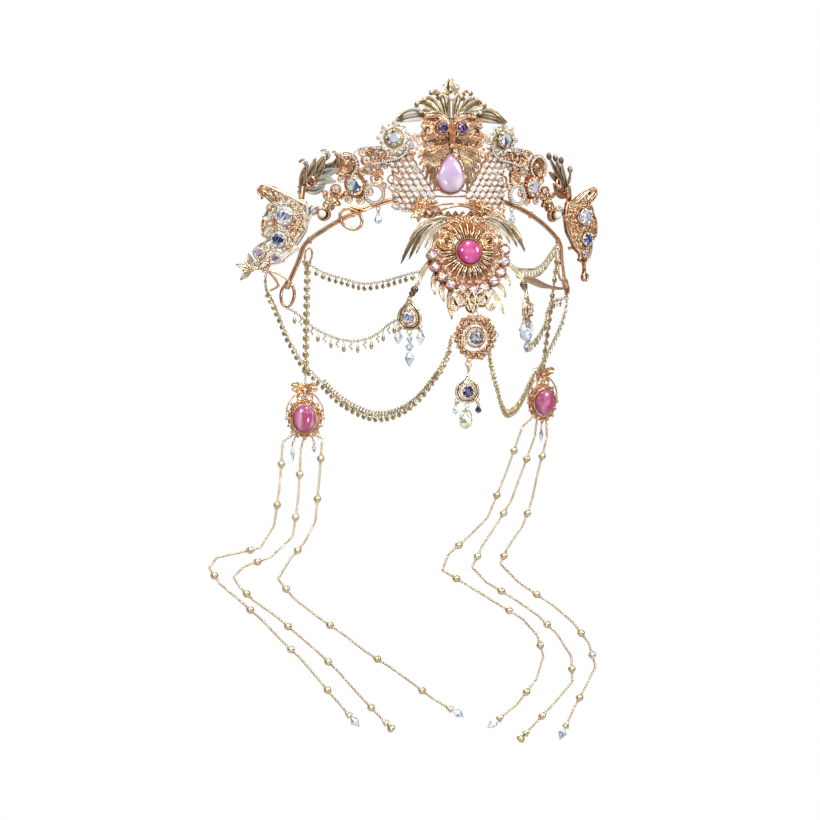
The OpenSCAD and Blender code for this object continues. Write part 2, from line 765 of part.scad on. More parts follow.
module wing_body2()
{
    path2([[-12, -11.5], [-10.4, -4.4], [-4.8, -3], [3, 1.4], [10.8, 3.8], [12.4, 1]], 1.3);
    path2([[12.4, 1], [8.6, -2.4], [5.6, -5.4], [9.6, -9.4]], 1.2);
    path2([[9.6, -9.4], [12, -14.4], [11.8, -20], [8.6, -23.4]], 1.2);
    path2([[1, -31], [-4, -27.6], [-10.4, -18.8], [-12, -11.5]], 1.2);
    translate([-7.2, -8]) ring2(3.4, 1.1);
    translate([2.2, -3.9]) ring2(3, 1.1);
    translate([7.8, -1]) ring2(2.6, 1.1);
    translate([7.2, -7.6]) ring2(2.9, 1.1);
    translate([-4, -17.2]) ring2(2.4, 1);
    translate([-8, -14.8]) ring2(3.4, 1.1);
    translate([7.6, -13.8]) ring2(3.2, 1.1);
    translate([8.4, -19.4]) ring2(2.9, 1.1);
    translate([-5, -21]) ring2(3.3, 1.1);
    translate([-0.6, -27]) ring2(2.6, 1.1);
}

module wing_star2()
{
    path2([[8.6, -23.4], [13, -25.8], [16.4, -29.2], [14.6, -33], [9.4, -35], [4.6, -35], [1, -31]], 1.2);
    translate([9.4, -27.4]) ring2(2.4, 1);
    translate([8.8, -32.2]) ring2(2.4, 1);
    translate([-6.4, -26.4]) rotate(-118) leaf2(16.5, 2.6);
    bar2([8, -35], [10.4, -38], 1.8);
    translate([10.4, -38]) circle(1.7);
    path2([[10.4, -38], [3, -40.6], [-1.4, -43.4]], 1);
    path2([[10.4, -38], [5.6, -42.6], [3.6, -46.4], [7.6, -48.6]], 1);
    bar2([10.4, -38], [18, -37.6], 1.2);
    for (a = [-10, -75, -135, 55]) translate([17.6, -37.8]) rotate(a) leaf2(7.6, 3);
    translate([17.6, -37.8]) circle(1.6);
}

module wing_hook2()
{
    path2([[8.6, -23.4], [8.4, -28], [6.6, -32.4], [3, -34.8], [-0.6, -33.4], [1, -31]], 1.2);
    path2([[3, -34.8], [3.6, -38], [3.2, -40.6]], 1.3);
    translate([4, -42.4]) ring2(2.3, 0.9);
}

module wing(s, seats)
{
    color(BRASS) {
        facing(WING_AT, WING_YAW) {
            plate() difference() {
                union() {
                    wing_body2();
                    for (seat = seats) translate([seat[0], seat[1]]) circle(seat[2] / 2 + 1.4);
                    if (s < 0)
                        wing_star2();
                    else
                        wing_hook2();
                }
                for (seat = seats) translate([seat[0], seat[1]]) circle(seat[2] / 2 - 1);
            }
            relief() {
                for (seat = seats) translate([seat[0], seat[1]])
                    ring2(seat[2] / 2 + seat_gap + 0.7, 0.7);
                translate([-9.6, -5]) rotate(-58) leaf2(12, 1.2);
                translate([-10.6, -17.6]) rotate(24) leaf2(9, 1.2);
            }
        }
        rod([74.6, 20.2, -26.8], [72.3, 22.4, -27.4], 0.9);
    }
}

module wing_stones(seats)
{
    tints = [ICE_BLUE, NIGHT_BLUE, VIOLET, VIOLET];
    facing(WING_AT, WING_YAW) for (i = [0:len(seats) - 1])
        color(tints[i]) translate([seats[i][0], seats[i][1], plate_t + 0.15])
            gem(seats[i][2], 0.42 * seats[i][2]);
}

// The bridge of beaded bar and struts that carries the forehead piece
BRIDGE_X = 20;
BRIDGE_Y = -18;
BRIDGE_Z = -11.6;

module forehead_bridge()
{
    color(COPPER) {
        rod([-BRIDGE_X, BRIDGE_Y, BRIDGE_Z], [BRIDGE_X, BRIDGE_Y, BRIDGE_Z], 0.95);
        for (x = [-BRIDGE_X:2.5:BRIDGE_X - 1])
            rod([x, BRIDGE_Y, BRIDGE_Z], [x + 1.5, BRIDGE_Y, BRIDGE_Z], 1.35);
        for (s = [-1, 1]) sided(s) {
            rod([16, -4.2, -6.2], [18.2, BRIDGE_Y, BRIDGE_Z], 0.8);
            rod([9, -3.2, -5.4], [8.2, BRIDGE_Y, BRIDGE_Z], 0.7);
            rod([18.2, BRIDGE_Y, BRIDGE_Z], [14, -27.5, -16.6], 0.75);
            rod([5.7, BRIDGE_Y, BRIDGE_Z], [4.4, -27.6, -16.8], 0.75);
            facing([BRIDGE_X + 0.6, BRIDGE_Y - 0.3, BRIDGE_Z + 1], 20) linear_extrude(1.7) {
                petals2(6, 0.4, 4, 2.4);
                circle(1.6);
            }
            facing([15.6, -3.9, -5.4], 12) linear_extrude(1.4) {
                petals2(5, 0.4, 3.4, 2.2);
                circle(1.4);
            }
        }
    }
}

// The forehead disc, its leaves and its stones
CAB_RIM = forehead_cab_d / 2 + 1.1;
RAYS = 24;
// angles of the rim stones, from the wearer's right round below to the left
RIM_ANGLES = [for (i = [0:10]) 184 + 18 * i];

module forehead_disc()
{
    color(COPPER) on_forehead() {
        plate() {
            difference() {
                circle(13.4);
                circle(4);
                for (i = [0:RAYS - 1]) rotate(i * 360 / RAYS) translate([0, 8]) leaf2(4.4, 0.9);
            }
            for (i = [0:RAYS - 1]) rotate(i * 360 / RAYS) translate([0, 14.4]) ring2(2, 0.8);
            for (a = RIM_ANGLES) rotate(a) translate([rim_r, 0]) circle(rim_stone_d / 2 + 0.55);
            for (s = [-1, 1]) translate([s * 5.4, -23.6]) ring2(3.4, 1.1);
            translate([0, -26.8]) ring2(3, 1);
            for (s = [-1, 1]) bar2([s * 4, -19], [s * 5.4, -21], 1.6);
            for (s = [-1, 0, 1]) translate([s * 4.4, 16.6 - abs(s) * 0.8]) ring2(2.6, 1);
        }
        relief(1.6) difference() {
            circle(CAB_RIM);
            circle(forehead_cab_d / 2 + seat_gap);
        }
        relief(1.2) for (s = [-1, 1]) translate([s * 10.6, 5.4]) {
            ring2(4.2, 1);
            ring2(2.4, 0.9);
            translate([-0.5, -3.6]) square([1, 2]);
        }
        relief(0.5) for (i = [0:RAYS - 1])
            rotate((i + 0.5) * 360 / RAYS) translate([-0.35, 7.8]) square([0.7, 4.4]);
        relief(0.7) for (a = RIM_ANGLES) rotate(a) translate([rim_r, 0])
            ring2(rim_stone_d / 2 + seat_gap + 0.3, 0.3);
    }
}

module forehead_cabochon()
{
    color(PINK) on_forehead(0, 0, plate_t + 0.15) cabochon(forehead_cab_d, forehead_cab_d + 0.01, 4);
}

module forehead_rim_stones()
{
    color(ICE_BLUE) on_forehead(0, 0, plate_t + 0.15)
        for (a = RIM_ANGLES) rotate(a) translate([rim_r, 0, 0]) gem(rim_stone_d, 2);
}

// Root and tip of the barbs of the feathered leaf, of its curl, and of the spikes below it
BARBS_LEFT = [
    [[5, 13.4], [16.5, 6.6]], [[8, 15.2], [21, 3.6]], [[11, 16.2], [25.6, 0.6]],
    [[14, 16.2], [29.4, -2.2]], [[17, 15.4], [33.6, -4.4]], [[17.6, 15.8], [31, 1]]
];
BARBS_RIGHT = [
    [[4, 14.2], [14.4, 8.6]], [[6.4, 16], [18.2, 7.4]], [[9.4, 17.2], [22, 5.8]],
    [[12.4, 17.4], [25.6, 3.8]], [[15, 16.8], [29.4, 1.6]], [[16, 17.2], [28.4, 6.6]]
];
CURL_LEFT = [[13, 16.4], [26.6, 9]];
CURL_RIGHT = [[11, 17.6], [19.4, 18.6]];
SPIKES_LEFT = [
    [[15.8, -8.6], [17.8, -20.4]], [[12.6, -13], [13.4, -23.8]], [[8.6, -16], [10, -32.6]],
    [[18, -3], [26, -15.8]]
];
SPIKES_RIGHT = [
    [[9, -16], [16.6, -30]], [[12.6, -13], [18, -22]], [[15.8, -8.6], [20.6, -16.2]],
    [[18, -3], [28.6, -14.6]]
];

module forehead_leaf(barbs, curl, spikes)
{
    color(PALE_GOLD) on_forehead(0, 0, -1.6) {
        plate() {
            for (b = barbs) leaf_to2(b[0], b[1], 2.4, -1.8);
            leaf_to2([1.6, 13.6], barbs[4][0] + [3, 0.2], 3.4, -2);
            leaf_to2(curl[0], curl[1], 3, -2);
            for (k = spikes) leaf_to2(k[0], k[1], 2.6, -1.6);
            translate([11.6, 15.2]) circle(2.2);
            intersection() {
                ring2(19.4, 2);
                polygon([[0, 0], for (a = [-78:26:52]) [40 * cos(a), 40 * sin(a)]]);
            }
        }
        relief(0.5) {
            for (b = [barbs[3], barbs[5], curl])
                leaf_to2(b[0] + 0.2 * (b[1] - b[0]), b[0] + 0.85 * (b[1] - b[0]), 0.9, -1);
        }
    }
}

// The rosette at the nose and the drop that swings below it
ROSETTE_AT = [1.2, -41, -70.7];
NOSE_STONE_D = 6;
HINGE_AT = [-2, -41, -85.2];
EYE_R = 1.5;
EYE_WIRE = 0.4;

module nose_rosette()
{
    color(BRASS) {
        facing(ROSETTE_AT) {
            plate() {
                difference() {
                    union() {
                        circle(9.2);
                        petals2(12, 6.6, 4.4, 3.4);
                    }
                    circle(2);
                    for (i = [0:11]) rotate(15 + i * 30) translate([0, 7]) circle(1.1, $fn = 20);
                }
                translate([0, 11.4]) ring2(1.6, 0.8);
                bar2([-2.6, -9], [-3.2, -12], 1.6);
                for (s = [-1, 1]) translate([s * 10.6, 1]) ring2(1.3, 0.6);
            }
            relief(1.2) ring2(NOSE_STONE_D / 2 + seat_gap + 0.7, 0.7);
            relief(0.6) petals2(12, 4.4, 3.6, 1.4, 15);
        }
        rod(ROSETTE_AT + [-3.2, -0.6, -11.3], HINGE_AT + [0, -0.3, 2.3], 0.7);
        facing(HINGE_AT + [0, 0, EYE_R]) eye_ring(EYE_R, EYE_WIRE);
    }
}

module nose_stone()
{
    color(CRYSTAL) facing(ROSETTE_AT + [0, -plate_t - 0.15, 0]) gem(NOSE_STONE_D, 2.6);
}

DROP_STONE_D = 5.6;
// Middle of the drop's frame, below the hinge
DROP_AT = HINGE_AT + [-0.6, 0.1, -11.4];

module drop_frame()
{
    color(BRASS) {
        translate(HINGE_AT + [0, 0, -EYE_R + 1]) rotate([0, 90, 0]) eye_ring(EYE_R, EYE_WIRE);
        facing(DROP_AT + [0, 0.5, 0]) {
            plate(1) difference() {
                drop2(11.6, 14.6);
                translate([0, 0.4]) drop2(8.4, 10.8);
            }
            plate(1) {
                difference() {
                    translate([0, -0.4]) circle(DROP_STONE_D / 2 + 1.3);
                    translate([0, -0.4]) circle(DROP_STONE_D / 2 - 1);
                }
                for (s = [-1, 1]) translate([s * 5.3, -4]) ring2(1.2, 0.6);
                translate([0, -7]) ring2(1.4, 0.6);
            }
            translate([0, -0.4, 0.9]) linear_extrude(1) ring2(DROP_STONE_D / 2 + seat_gap + 0.6, 0.6);
        }
        rod(HINGE_AT + [0, 0, -2.1], HINGE_AT + [-0.5, 0.1, -3.6], 0.5);
    }
}

module drop_stones()
{
    color(NIGHT_BLUE) facing(DROP_AT + [0, -0.65, -0.4]) gem(DROP_STONE_D, 2.2);
    color(ICE_BLUE) translate(DROP_AT + [-5.9, 0, -8.5]) hanging_drop(3.2, 4.6);
    color(LILAC) translate(DROP_AT + [5.6, 0, -8.6]) hanging_drop(3.4, 4.4);
    color("#cfd9b8") translate(DROP_AT + [-0.8, 0, -14.6]) hanging_drop(6.4, 9);
}

// The temple pendants
TEMPLE_LEFT = [28.4, -30, -61];
TEMPLE_RIGHT = [30.6, -30, -57.6];
// Tops of their links, behind the hooks of the forehead piece's leaves
HOOK_LEFT = [25.6, -33.4, -45.2];
HOOK_RIGHT = [28.2, -33.2, -43.8];
TEMPLE_YAW_LEFT = 42;
TEMPLE_YAW_RIGHT = 56;
TEMPLE_STONE_D = 6.4;

module temple_pendant(at, yaw, hook)
{
    top = at + [0, 0, 9.4];
    color(BRASS) {
        facing(at, yaw) {
            plate() {
                difference() {
                    drop2(12.4, 16.6);
                    translate([0, 0.2]) drop2(9.4, 12.4);
                }
                difference() {
                    circle(TEMPLE_STONE_D / 2 + 1.5);
                    circle(TEMPLE_STONE_D / 2 - 1);
                }
                for (s = [-1, 1]) translate([s * 5.7, -4.3]) ring2(1.3, 0.6);
                translate([0, -7.2]) ring2(1.4, 0.6);
            }
            relief() ring2(TEMPLE_STONE_D / 2 + seat_gap + 0.7, 0.7);
        }
        translate(top + 0.45 * (hook - top)) sphere(1.9);
        rod(top, hook, 0.7);
    }
}

module temple_stones(at, yaw, below)
{
    module hung(x, z) facing(at, yaw) translate([x, z, 0.6]) rotate([-90, 0, 0]) children();
    color(ICE_BLUE) facing(at, yaw) translate([0, 0, plate_t + 0.15]) gem(TEMPLE_STONE_D, 2.6);
    color(ICE_BLUE) for (s = [-1, 1]) hung(6 * s, -9.5) bicone(4.4, 6.6);
    if (below == 3) {
        color(CRYSTAL) hung(0, -10.4) sphere(1.5, $fn = 20);
        color(CRYSTAL) hung(0, -14.2) sphere(2, $fn = 20);
        color(ICE_BLUE) hung(0, -20) bicone(4.8, 7);
    } else {
        color(CRYSTAL) hung(0, -12.2) sphere(3.2, $fn = 24);
        color(ICE_BLUE) hung(0, -18.4) bicone(3, 5);
    }
}

// The side pendants, with a bow above and dangles below
SIDE_LEFT = [64.5, 39.4, -114.4];
SIDE_RIGHT = [64, 39.4, -108.4];
SIDE_YAW = 17;
CAB_W = 12;
CAB_L = 14;
// Root and tip of the links that hold the strands and the beads
DANGLES_LEFT = [
    [[5.4, -8], [10.6, -11.6]], [[0.4, -9.6], [2, -15.2]], [[-5, -8.4], [-8.4, -10.2]],
    [[4.6, -8.6], [6.4, -13.1]], [[-3.6, -9], [-4.6, -12.6]]
];
DANGLES_RIGHT = [
    [[-6, -7.6], [-12.8, -12.4]], [[-3.6, -9], [-4.8, -17.4]], [[2.4, -9.4], [3, -18.2]],
    [[-0.4, -9.6], [-0.8, -13.2]]
];

module side_pendant(at, dangles)
{
    color(BRASS) facing(at, SIDE_YAW) {
        plate() {
            difference() {
                circle(9.8);
                stadium2(CAB_W, CAB_L, -1.6);
                for (i = [0:11]) rotate(i * 30) translate([0, 8.6]) circle(0.8, $fn = 20);
            }
            for (i = [0:11]) rotate(i * 30) translate([9.6, 0]) circle(1.1, $fn = 20);
            for (s = [-1, 1]) translate([s * 1, 14.2]) rotate(s * -64) leaf2(7, 4.2);
            translate([0, 14.2]) circle(1.6);
            bar2([0, 9], [0, 14], 1.8);
            for (d = dangles) path2(d, 1.2);
        }
        relief() difference() {
            stadium2(CAB_W, CAB_L, 1);
            stadium2(CAB_W, CAB_L, seat_gap);
        }
    }
}

module side_cabochon(at)
{
    color(PINK) facing(at, SIDE_YAW) translate([0, 0, plate_t + 0.15]) cabochon(CAB_W, CAB_L, 4.2);
}

module side_beads()
{
    color(ICE_BLUE) {
        sided(-1) facing(SIDE_LEFT, SIDE_YAW) {
            translate([6.4, -18, 0.6]) rotate([90, 0, 0]) bicone(2.4, 8);
            translate([-4.6, -15.5, 0.6]) rotate([90, 0, 0]) bicone(2.4, 4);
        }
        facing(SIDE_RIGHT, SIDE_YAW)
            translate([-0.8, -17.4, 0.6]) rotate([90, 0, 0]) bicone(2.6, 6.6);
    }
}

// The straight chains of discs from the band to the side pendants
module disc_chain(s, at)
{
    top = [66.4, 24.6, -36.4];
    foot = at + [0, -0.6, 16.2];
    color(PALE_GOLD) sided(s) {
        rod(top, foot, 0.38);
        along(top, unit(foot - top)) rotate([90, 0, 70])
            for (i = [0:9]) translate([0, 4.4 + 5.4 * i, -0.5]) cylinder(h = 1, r = 1.8, $fn = 24);
        facing(top + [0, 0.5, 0.6], 45) linear_extrude(1) polygon([[-2.6, 1.8], [2.6, 1.8], [0, -3.4]]);
    }
}

// The swags: a fine chain with small discs hung from it
module swag(route, count, drop = 0)
{
    total = length_of(route);
    color(PALE_GOLD) {
        tube(route, swag_r);
        for (i = [0:count - 1]) {
            spot = walk(route, total * (i + 0.5) / count);
            turn = atan2(spot[1].y, spot[1].x);
            down = unit([0, 0, -1] + spot[1] * spot[1].z);
            translate(spot[0] + down * (swag_r + 0.15 + charm_d / 2 + drop)) rotate([0, 0, turn])
            rotate([90, 0, 0]) translate([0, 0, -0.3]) cylinder(h = 0.6, r = charm_d / 2, $fn = 32);
        }
    }
}

// The strands: a thin snake chain with a ball in the middle of some spans
module balls_on(route, spans)
{
    for (i = spans) {
        a = route[i];
        b = route[i + 1];
        along((a + b) / 2, unit(b - a)) difference() {
            sphere(ball_d / 2);
            cylinder(h = 2 * ball_d, r = strand_r + 0.2, center = true);
        }
    }
}

module end_cap(route)
{
    n = len(route);
    dir = unit(route[n - 1] - route[n - 2]);
    along(route[n - 1] + dir * 0.2, dir) cylinder(h = 3.4, r1 = 1, r2 = 1.9);
}

module strand_tip(route, d, l)
{
    n = len(route);
    dir = unit(route[n - 1] - route[n - 2]);
    along(route[n - 1] + dir * (3.8 + l / 2), dir) bicone(d, l);
}

module strand_balls_left()
{
    color(BRASS) {
        balls_on(STRAND_OUTER_LEFT, BALLS_OUTER_LEFT);
        balls_on(STRAND_MIDDLE_LEFT, BALLS_MIDDLE_LEFT);
        balls_on(STRAND_INNER_LEFT, BALLS_INNER_LEFT);
        for (route = [STRAND_OUTER_LEFT, STRAND_MIDDLE_LEFT, STRAND_INNER_LEFT]) end_cap(route);
        strand_tip(STRAND_MIDDLE_LEFT, 5, 5);
    }
}

module strand_balls_right()
{
    color(BRASS) {
        balls_on(STRAND_OUTER_RIGHT, BALLS_OUTER_RIGHT);
        balls_on(STRAND_MIDDLE_RIGHT, BALLS_MIDDLE_RIGHT);
        balls_on(STRAND_INNER_RIGHT, BALLS_INNER_RIGHT);
        for (route = [STRAND_OUTER_RIGHT, STRAND_MIDDLE_RIGHT, STRAND_INNER_RIGHT]) end_cap(route);
        strand_tip(STRAND_MIDDLE_RIGHT, 5, 5);
    }
}

module strand_glass()
{
    color(ICE_BLUE) {
        for (route = [STRAND_OUTER_LEFT, STRAND_INNER_LEFT, STRAND_INNER_RIGHT, STRAND_OUTER_RIGHT])
            strand_tip(route, 4.4, 6.4);
    }
}

module strand(route)
{
    color(PALE_GOLD) tube(route, strand_r);
}

band_frame();
top_palmette();
centre_filigree();
copper_leaves();
teardrop_bezel();
teardrop_stone();
sided(-1) star_mount();  // star_mount_left
star_mount();  // star_mount_right
star_stones();
sided(-1) stone_net();  // stone_net_left
stone_net();  // stone_net_right
sided(-1) net_stones();  // net_stones_left
net_stones();  // net_stones_right
sided(-1) band_lattice();  // band_lattice_left
band_lattice();  // band_lattice_right
sided(-1) band_stones();  // band_stones_left
band_stones();  // band_stones_right
sided(-1) leaf_spray();  // leaf_spray_left
leaf_spray();  // leaf_spray_right
sided(-1) wing(-1, SEATS_LEFT);  // wing_left
wing(1, SEATS_RIGHT);  // wing_right
sided(-1) wing_stones(SEATS_LEFT);  // wing_stones_left
wing_stones(SEATS_RIGHT);  // wing_stones_right
brow_stones();
forehead_bridge();
forehead_disc();
sided(-1) forehead_leaf(BARBS_LEFT, CURL_LEFT, SPIKES_LEFT);  // forehead_leaf_left
forehead_leaf(BARBS_RIGHT, CURL_RIGHT, SPIKES_RIGHT);  // forehead_leaf_right
forehead_cabochon();
forehead_rim_stones();
nose_rosette();
nose_stone();
drop_frame();
drop_stones();
sided(-1) temple_pendant(TEMPLE_LEFT, TEMPLE_YAW_LEFT, HOOK_LEFT);  // temple_pendant_left
temple_pendant(TEMPLE_RIGHT, TEMPLE_YAW_RIGHT, HOOK_RIGHT);  // temple_pendant_right
sided(-1) temple_stones(TEMPLE_LEFT, TEMPLE_YAW_LEFT, 3);  // temple_stones_left
temple_stones(TEMPLE_RIGHT, TEMPLE_YAW_RIGHT, 2);  // temple_stones_right
sided(-1) side_pendant(SIDE_LEFT, DANGLES_LEFT);  // side_pendant_left
side_pendant(SIDE_RIGHT, DANGLES_RIGHT);  // side_pendant_right
sided(-1) side_cabochon(SIDE_LEFT);  // side_cabochon_left
side_cabochon(SIDE_RIGHT);  // side_cabochon_right
side_beads();
disc_chain(-1, SIDE_LEFT);  // disc_chain_left
disc_chain(1, SIDE_RIGHT);  // disc_chain_right
swag(SWAG_UPPER_LEFT, 7);  // swag_upper_left
swag(SWAG_MIDDLE_LEFT, 8, 0.6);  // swag_middle_left
swag(SWAG_LOWER_LEFT, 15);  // swag_lower_left
swag(SWAG_UPPER_RIGHT, 6);  // swag_upper_right
swag(SWAG_MIDDLE_RIGHT, 7, 0.6);  // swag_middle_right
swag(SWAG_LOWER_RIGHT, 11);  // swag_lower_right
strand(STRAND_OUTER_LEFT);  // strand_outer_left
strand(STRAND_MIDDLE_LEFT);  // strand_middle_left
strand(STRAND_INNER_LEFT);  // strand_inner_left
strand(STRAND_INNER_RIGHT);  // strand_inner_right
strand(STRAND_MIDDLE_RIGHT);  // strand_middle_right
strand(STRAND_OUTER_RIGHT);  // strand_outer_right
strand_balls_left();
strand_balls_right();
strand_glass();
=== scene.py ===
"""Looks of the hair crown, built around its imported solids.

Sizes are in millimetres in the crown's own frame, and each finished mesh is scaled to metres.
X runs to the viewer's right, Y runs back through the head and Z runs up.
"""

from __future__ import annotations

import json
import logging
import math
import random
from dataclasses import dataclass, field
from enum import Enum
from typing import Any, Iterable, Sequence

import bpy
import numpy as np
from mathutils import Matrix, Vector

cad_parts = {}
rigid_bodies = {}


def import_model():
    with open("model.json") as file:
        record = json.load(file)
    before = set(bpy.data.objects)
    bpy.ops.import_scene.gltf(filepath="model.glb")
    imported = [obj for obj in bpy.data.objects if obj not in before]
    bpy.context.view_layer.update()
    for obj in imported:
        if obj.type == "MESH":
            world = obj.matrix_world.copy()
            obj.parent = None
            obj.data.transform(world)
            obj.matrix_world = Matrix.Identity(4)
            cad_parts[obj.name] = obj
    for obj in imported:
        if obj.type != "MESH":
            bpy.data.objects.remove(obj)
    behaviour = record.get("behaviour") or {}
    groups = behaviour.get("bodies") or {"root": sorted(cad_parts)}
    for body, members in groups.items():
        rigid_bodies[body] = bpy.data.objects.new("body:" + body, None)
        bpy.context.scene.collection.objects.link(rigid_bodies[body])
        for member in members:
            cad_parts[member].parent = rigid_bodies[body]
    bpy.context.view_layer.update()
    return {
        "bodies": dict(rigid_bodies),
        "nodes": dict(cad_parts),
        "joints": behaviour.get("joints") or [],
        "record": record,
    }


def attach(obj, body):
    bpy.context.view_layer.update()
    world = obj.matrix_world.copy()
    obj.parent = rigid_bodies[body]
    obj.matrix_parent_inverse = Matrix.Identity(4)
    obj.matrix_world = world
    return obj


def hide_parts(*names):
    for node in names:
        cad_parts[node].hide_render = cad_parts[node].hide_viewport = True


LOG = logging.getLogger("hair_crown")
MM = 0.001
HEAD_R = 83.0
TILT = math.radians(47)
BAND_WIRE_R = 0.9
PLATE_OUT = 2 * BAND_WIRE_R + 0.3
PLATE_T = 1.2
FACE_OUT = PLATE_OUT + PLATE_T
FRONT_OUT = FACE_OUT + 1.3
OVERLAY = 0.85
CAB_SEAT = PLATE_T + 0.15
SIDES = (-1, 1)
NOSE_HINGE = Vector((-2.0, -41.0, -85.2))
FULL_TURN = 2 * math.pi
THIN, ROUND, STOUT = 4, 6, 8

Point = Sequence[float]
Points = Sequence[Point]
Path = tuple[Point, ...]
Span = tuple[Point, Point]
Pair = tuple[float, float]
Triple = tuple[float, float, float]
Sockets = dict[Any, Any]


class Slot(Enum):
    """Material slots of the record."""

    COPPER = "copper"
    BRASS = "brass"
    PALE_GOLD = "pale_gold"
    CLEAR = "clear_glass"
    ICE = "ice_glass"
    DARK = "dark_glass"
    LILAC = "lilac_glass"
    PINK = "pink_glass"


# ---------------------------------------------------------------- materials


class Graph:
    """A node tree with a short way to add and join nodes."""

    def __init__(self, tree: bpy.types.NodeTree) -> None:
        """Keeps the tree and clears it."""
        self.tree = tree
        tree.nodes.clear()

    def add(self, kind: str, inputs: Sockets | None = None, **settings: Any) -> bpy.types.Node:
        """Adds one node.

        Args:
            kind: the node's type, without ShaderNode.
            inputs: value or socket for each named or numbered input.
            **settings: properties of the node.

        Returns:
            The new node.
        """
        node = self.tree.nodes.new(kind if kind.startswith("NodeGroup") else "ShaderNode" + kind)
        for key, value in settings.items():
            setattr(node, key, value)
        self.feed(node, inputs or {})
        return node

    def feed(self, node: bpy.types.Node, inputs: Sockets) -> None:
        """Sets inputs of a node to values, or links them from sockets."""
        for key, value in inputs.items():
            if isinstance(value, bpy.types.NodeSocket):
                self.tree.links.new(value, node.inputs[key])
            else:
                node.inputs[key].default_value = value

    def span(self, value: Any, low: float, high: float, **settings: Any) -> Any:
        """Maps a value from a range to 0 and 1."""
        return self.add("MapRange", {"Value": value, "From Min": low, "From Max": high}, **settings).outputs[0]

    def level(self, value: Any, low: float, high: float) -> Any:
        """Maps a value from 0 and 1 to a range."""
        return self.add("MapRange", {"Value": value, "To Min": low, "To Max": high}).outputs[0]

    def sum(self, first: Any, second: Any, operation: str = "ADD") -> Any:
        """Joins two values."""
        return self.add("Math", {0: first, 1: second}, operation=operation).outputs[0]

    def product(self, first: Any, second: Any) -> Any:
        """Multiplies two values."""
        return self.sum(first, second, "MULTIPLY")

    def mix(self, share: Any, first: Any, second: Any, **settings: Any) -> Any:
        """Mixes two colours."""
        return self.add("Mix", {0: share, 6: first, 7: second}, data_type="RGBA", **settings).outputs[2]

    def hide_from_camera(self, lit: Any, seen: Any, output: str) -> None:
        """Shows the camera one shader while another lights the scene."""
        path = self.add("LightPath").outputs["Is Camera Ray"]
        choice = self.add("MixShader", {0: path, 1: lit.outputs[0], 2: seen.outputs[0]})
        self.add(output, {"Surface": choice.outputs[0]})


def rgba(colour: Triple) -> tuple[float, float, float, float]:
    """Gives a colour its alpha."""
    return (*colour, 1.0)


@dataclass
class EffectGroup:
    """An effect that several finishes share: a node group with named inputs and outputs."""

    name: str
    inputs: dict[str, float | Triple]
    outputs: dict[str, str]

    def __post_init__(self) -> None:
        """Builds the group, a colour input for each colour and a number input for each number."""
        self.tree = bpy.data.node_groups.new(self.name, "ShaderNodeTree")
        for key, value in self.inputs.items():
            kind = "NodeSocketColor" if isinstance(value, tuple) else "NodeSocketFloat"
            socket = self.tree.interface.new_socket(name=key, in_out="INPUT", socket_type=kind)
            socket.default_value = rgba(value) if isinstance(value, tuple) else value
        for key, kind in self.outputs.items():
            self.tree.interface.new_socket(name=key, in_out="OUTPUT", socket_type="NodeSocket" + kind)
        graph = Graph(self.tree)
        self.given = graph.add("NodeGroupInput").outputs
        graph.feed(graph.add("NodeGroupOutput"), self.draw(graph))

    def draw(self, graph: Graph) -> Sockets:
        """Draws the effect and gives the socket of each output."""
        raise NotImplementedError

    def placed(self, graph: Graph, values: dict[str, float | Triple]) -> Any:
        """Places the group in a material with its own values, and gives its outputs."""
        node = graph.tree.nodes.new("ShaderNodeGroup")
        node.node_tree = self.tree
        graph.feed(node, {key: rgba(value) if isinstance(value, tuple) else value
            for key, value in values.items()})
        return node.outputs


class PaintedShadeAndHighlights(EffectGroup):
    """Paints shade into recesses by ambient occlusion, and painted highlights in random blotches."""

    def draw(self, graph: Graph) -> Sockets:
        """Mixes the plate's colour, the painted highlight colour by blotches and the painted recess shade by
        ambient occlusion.
        """
        given = self.given
        # painted shade: ambient occlusion darkens the colour in recesses and between parts
        shade = graph.add("AmbientOcclusion", {"Distance": given["Reach"]}, samples=6, only_local=False)
        open_air = graph.span(shade.outputs["AO"], 0.18, 0.72, interpolation_type="SMOOTHSTEP")
        place = graph.add("TexCoord").outputs["Object"]
        # painted highlight: random noise blotches get the brighter highlight colour
        blotch = graph.add("TexNoise", {"Vector": place, "Scale": 260.0, "Detail": 3.0, "Roughness": 0.6})
        plate = graph.mix(graph.span(blotch.outputs["Fac"], 0.5, 0.72), given["Plate"], given["Blotch Highlight"])
        return {"Color": graph.mix(open_air, given["Recess Shade"], plate), "Mask": open_air}


class CastGrain(EffectGroup):
    """The fine grain and dents of plated castings."""

    def draw(self, graph: Graph) -> Sockets:
        """Adds fine noise to wide dents for the height, and spreads the roughness by the noise."""
        given = self.given
        place = graph.add("TexCoord").outputs["Object"]
        grain = graph.add("TexNoise", {"Vector": place, "Scale": given["Scale"], "Detail": 2.0}).outputs["Fac"]
        wide = graph.product(given["Scale"], 0.22)
        dents = graph.add("TexVoronoi", {"Vector": place, "Scale": wide}, feature="SMOOTH_F1")
        height = graph.sum(grain, graph.product(dents.outputs["Distance"], 0.6))
        return {"Height": height, "Roughness": graph.sum(given["Roughness"],
            graph.product(grain, given["Spread"]))}


class PaintedFacetSparkle(EffectGroup):
    """Painted sparkle on foiled stones: each facet gets at random a painted glint, the stone's own colour or
    painted shade.
    """

    def draw(self, graph: Graph) -> Sockets:
        """Picks among the painted shade, the stone's colour and the painted glint by the facet's random sparkle
        value.
        """
        given = self.given
        # painted glints and shade: the facet's random value picks the colour
        sparkle = graph.add("Attribute", attribute_name="sparkle").outputs["Fac"]
        first = graph.mix(graph.span(sparkle, 0.16, 0.46), given["Facet Shade"], given["Middle"])
        return {"Color": graph.mix(graph.span(sparkle, 0.52, 0.78), first, given["Bright"])}


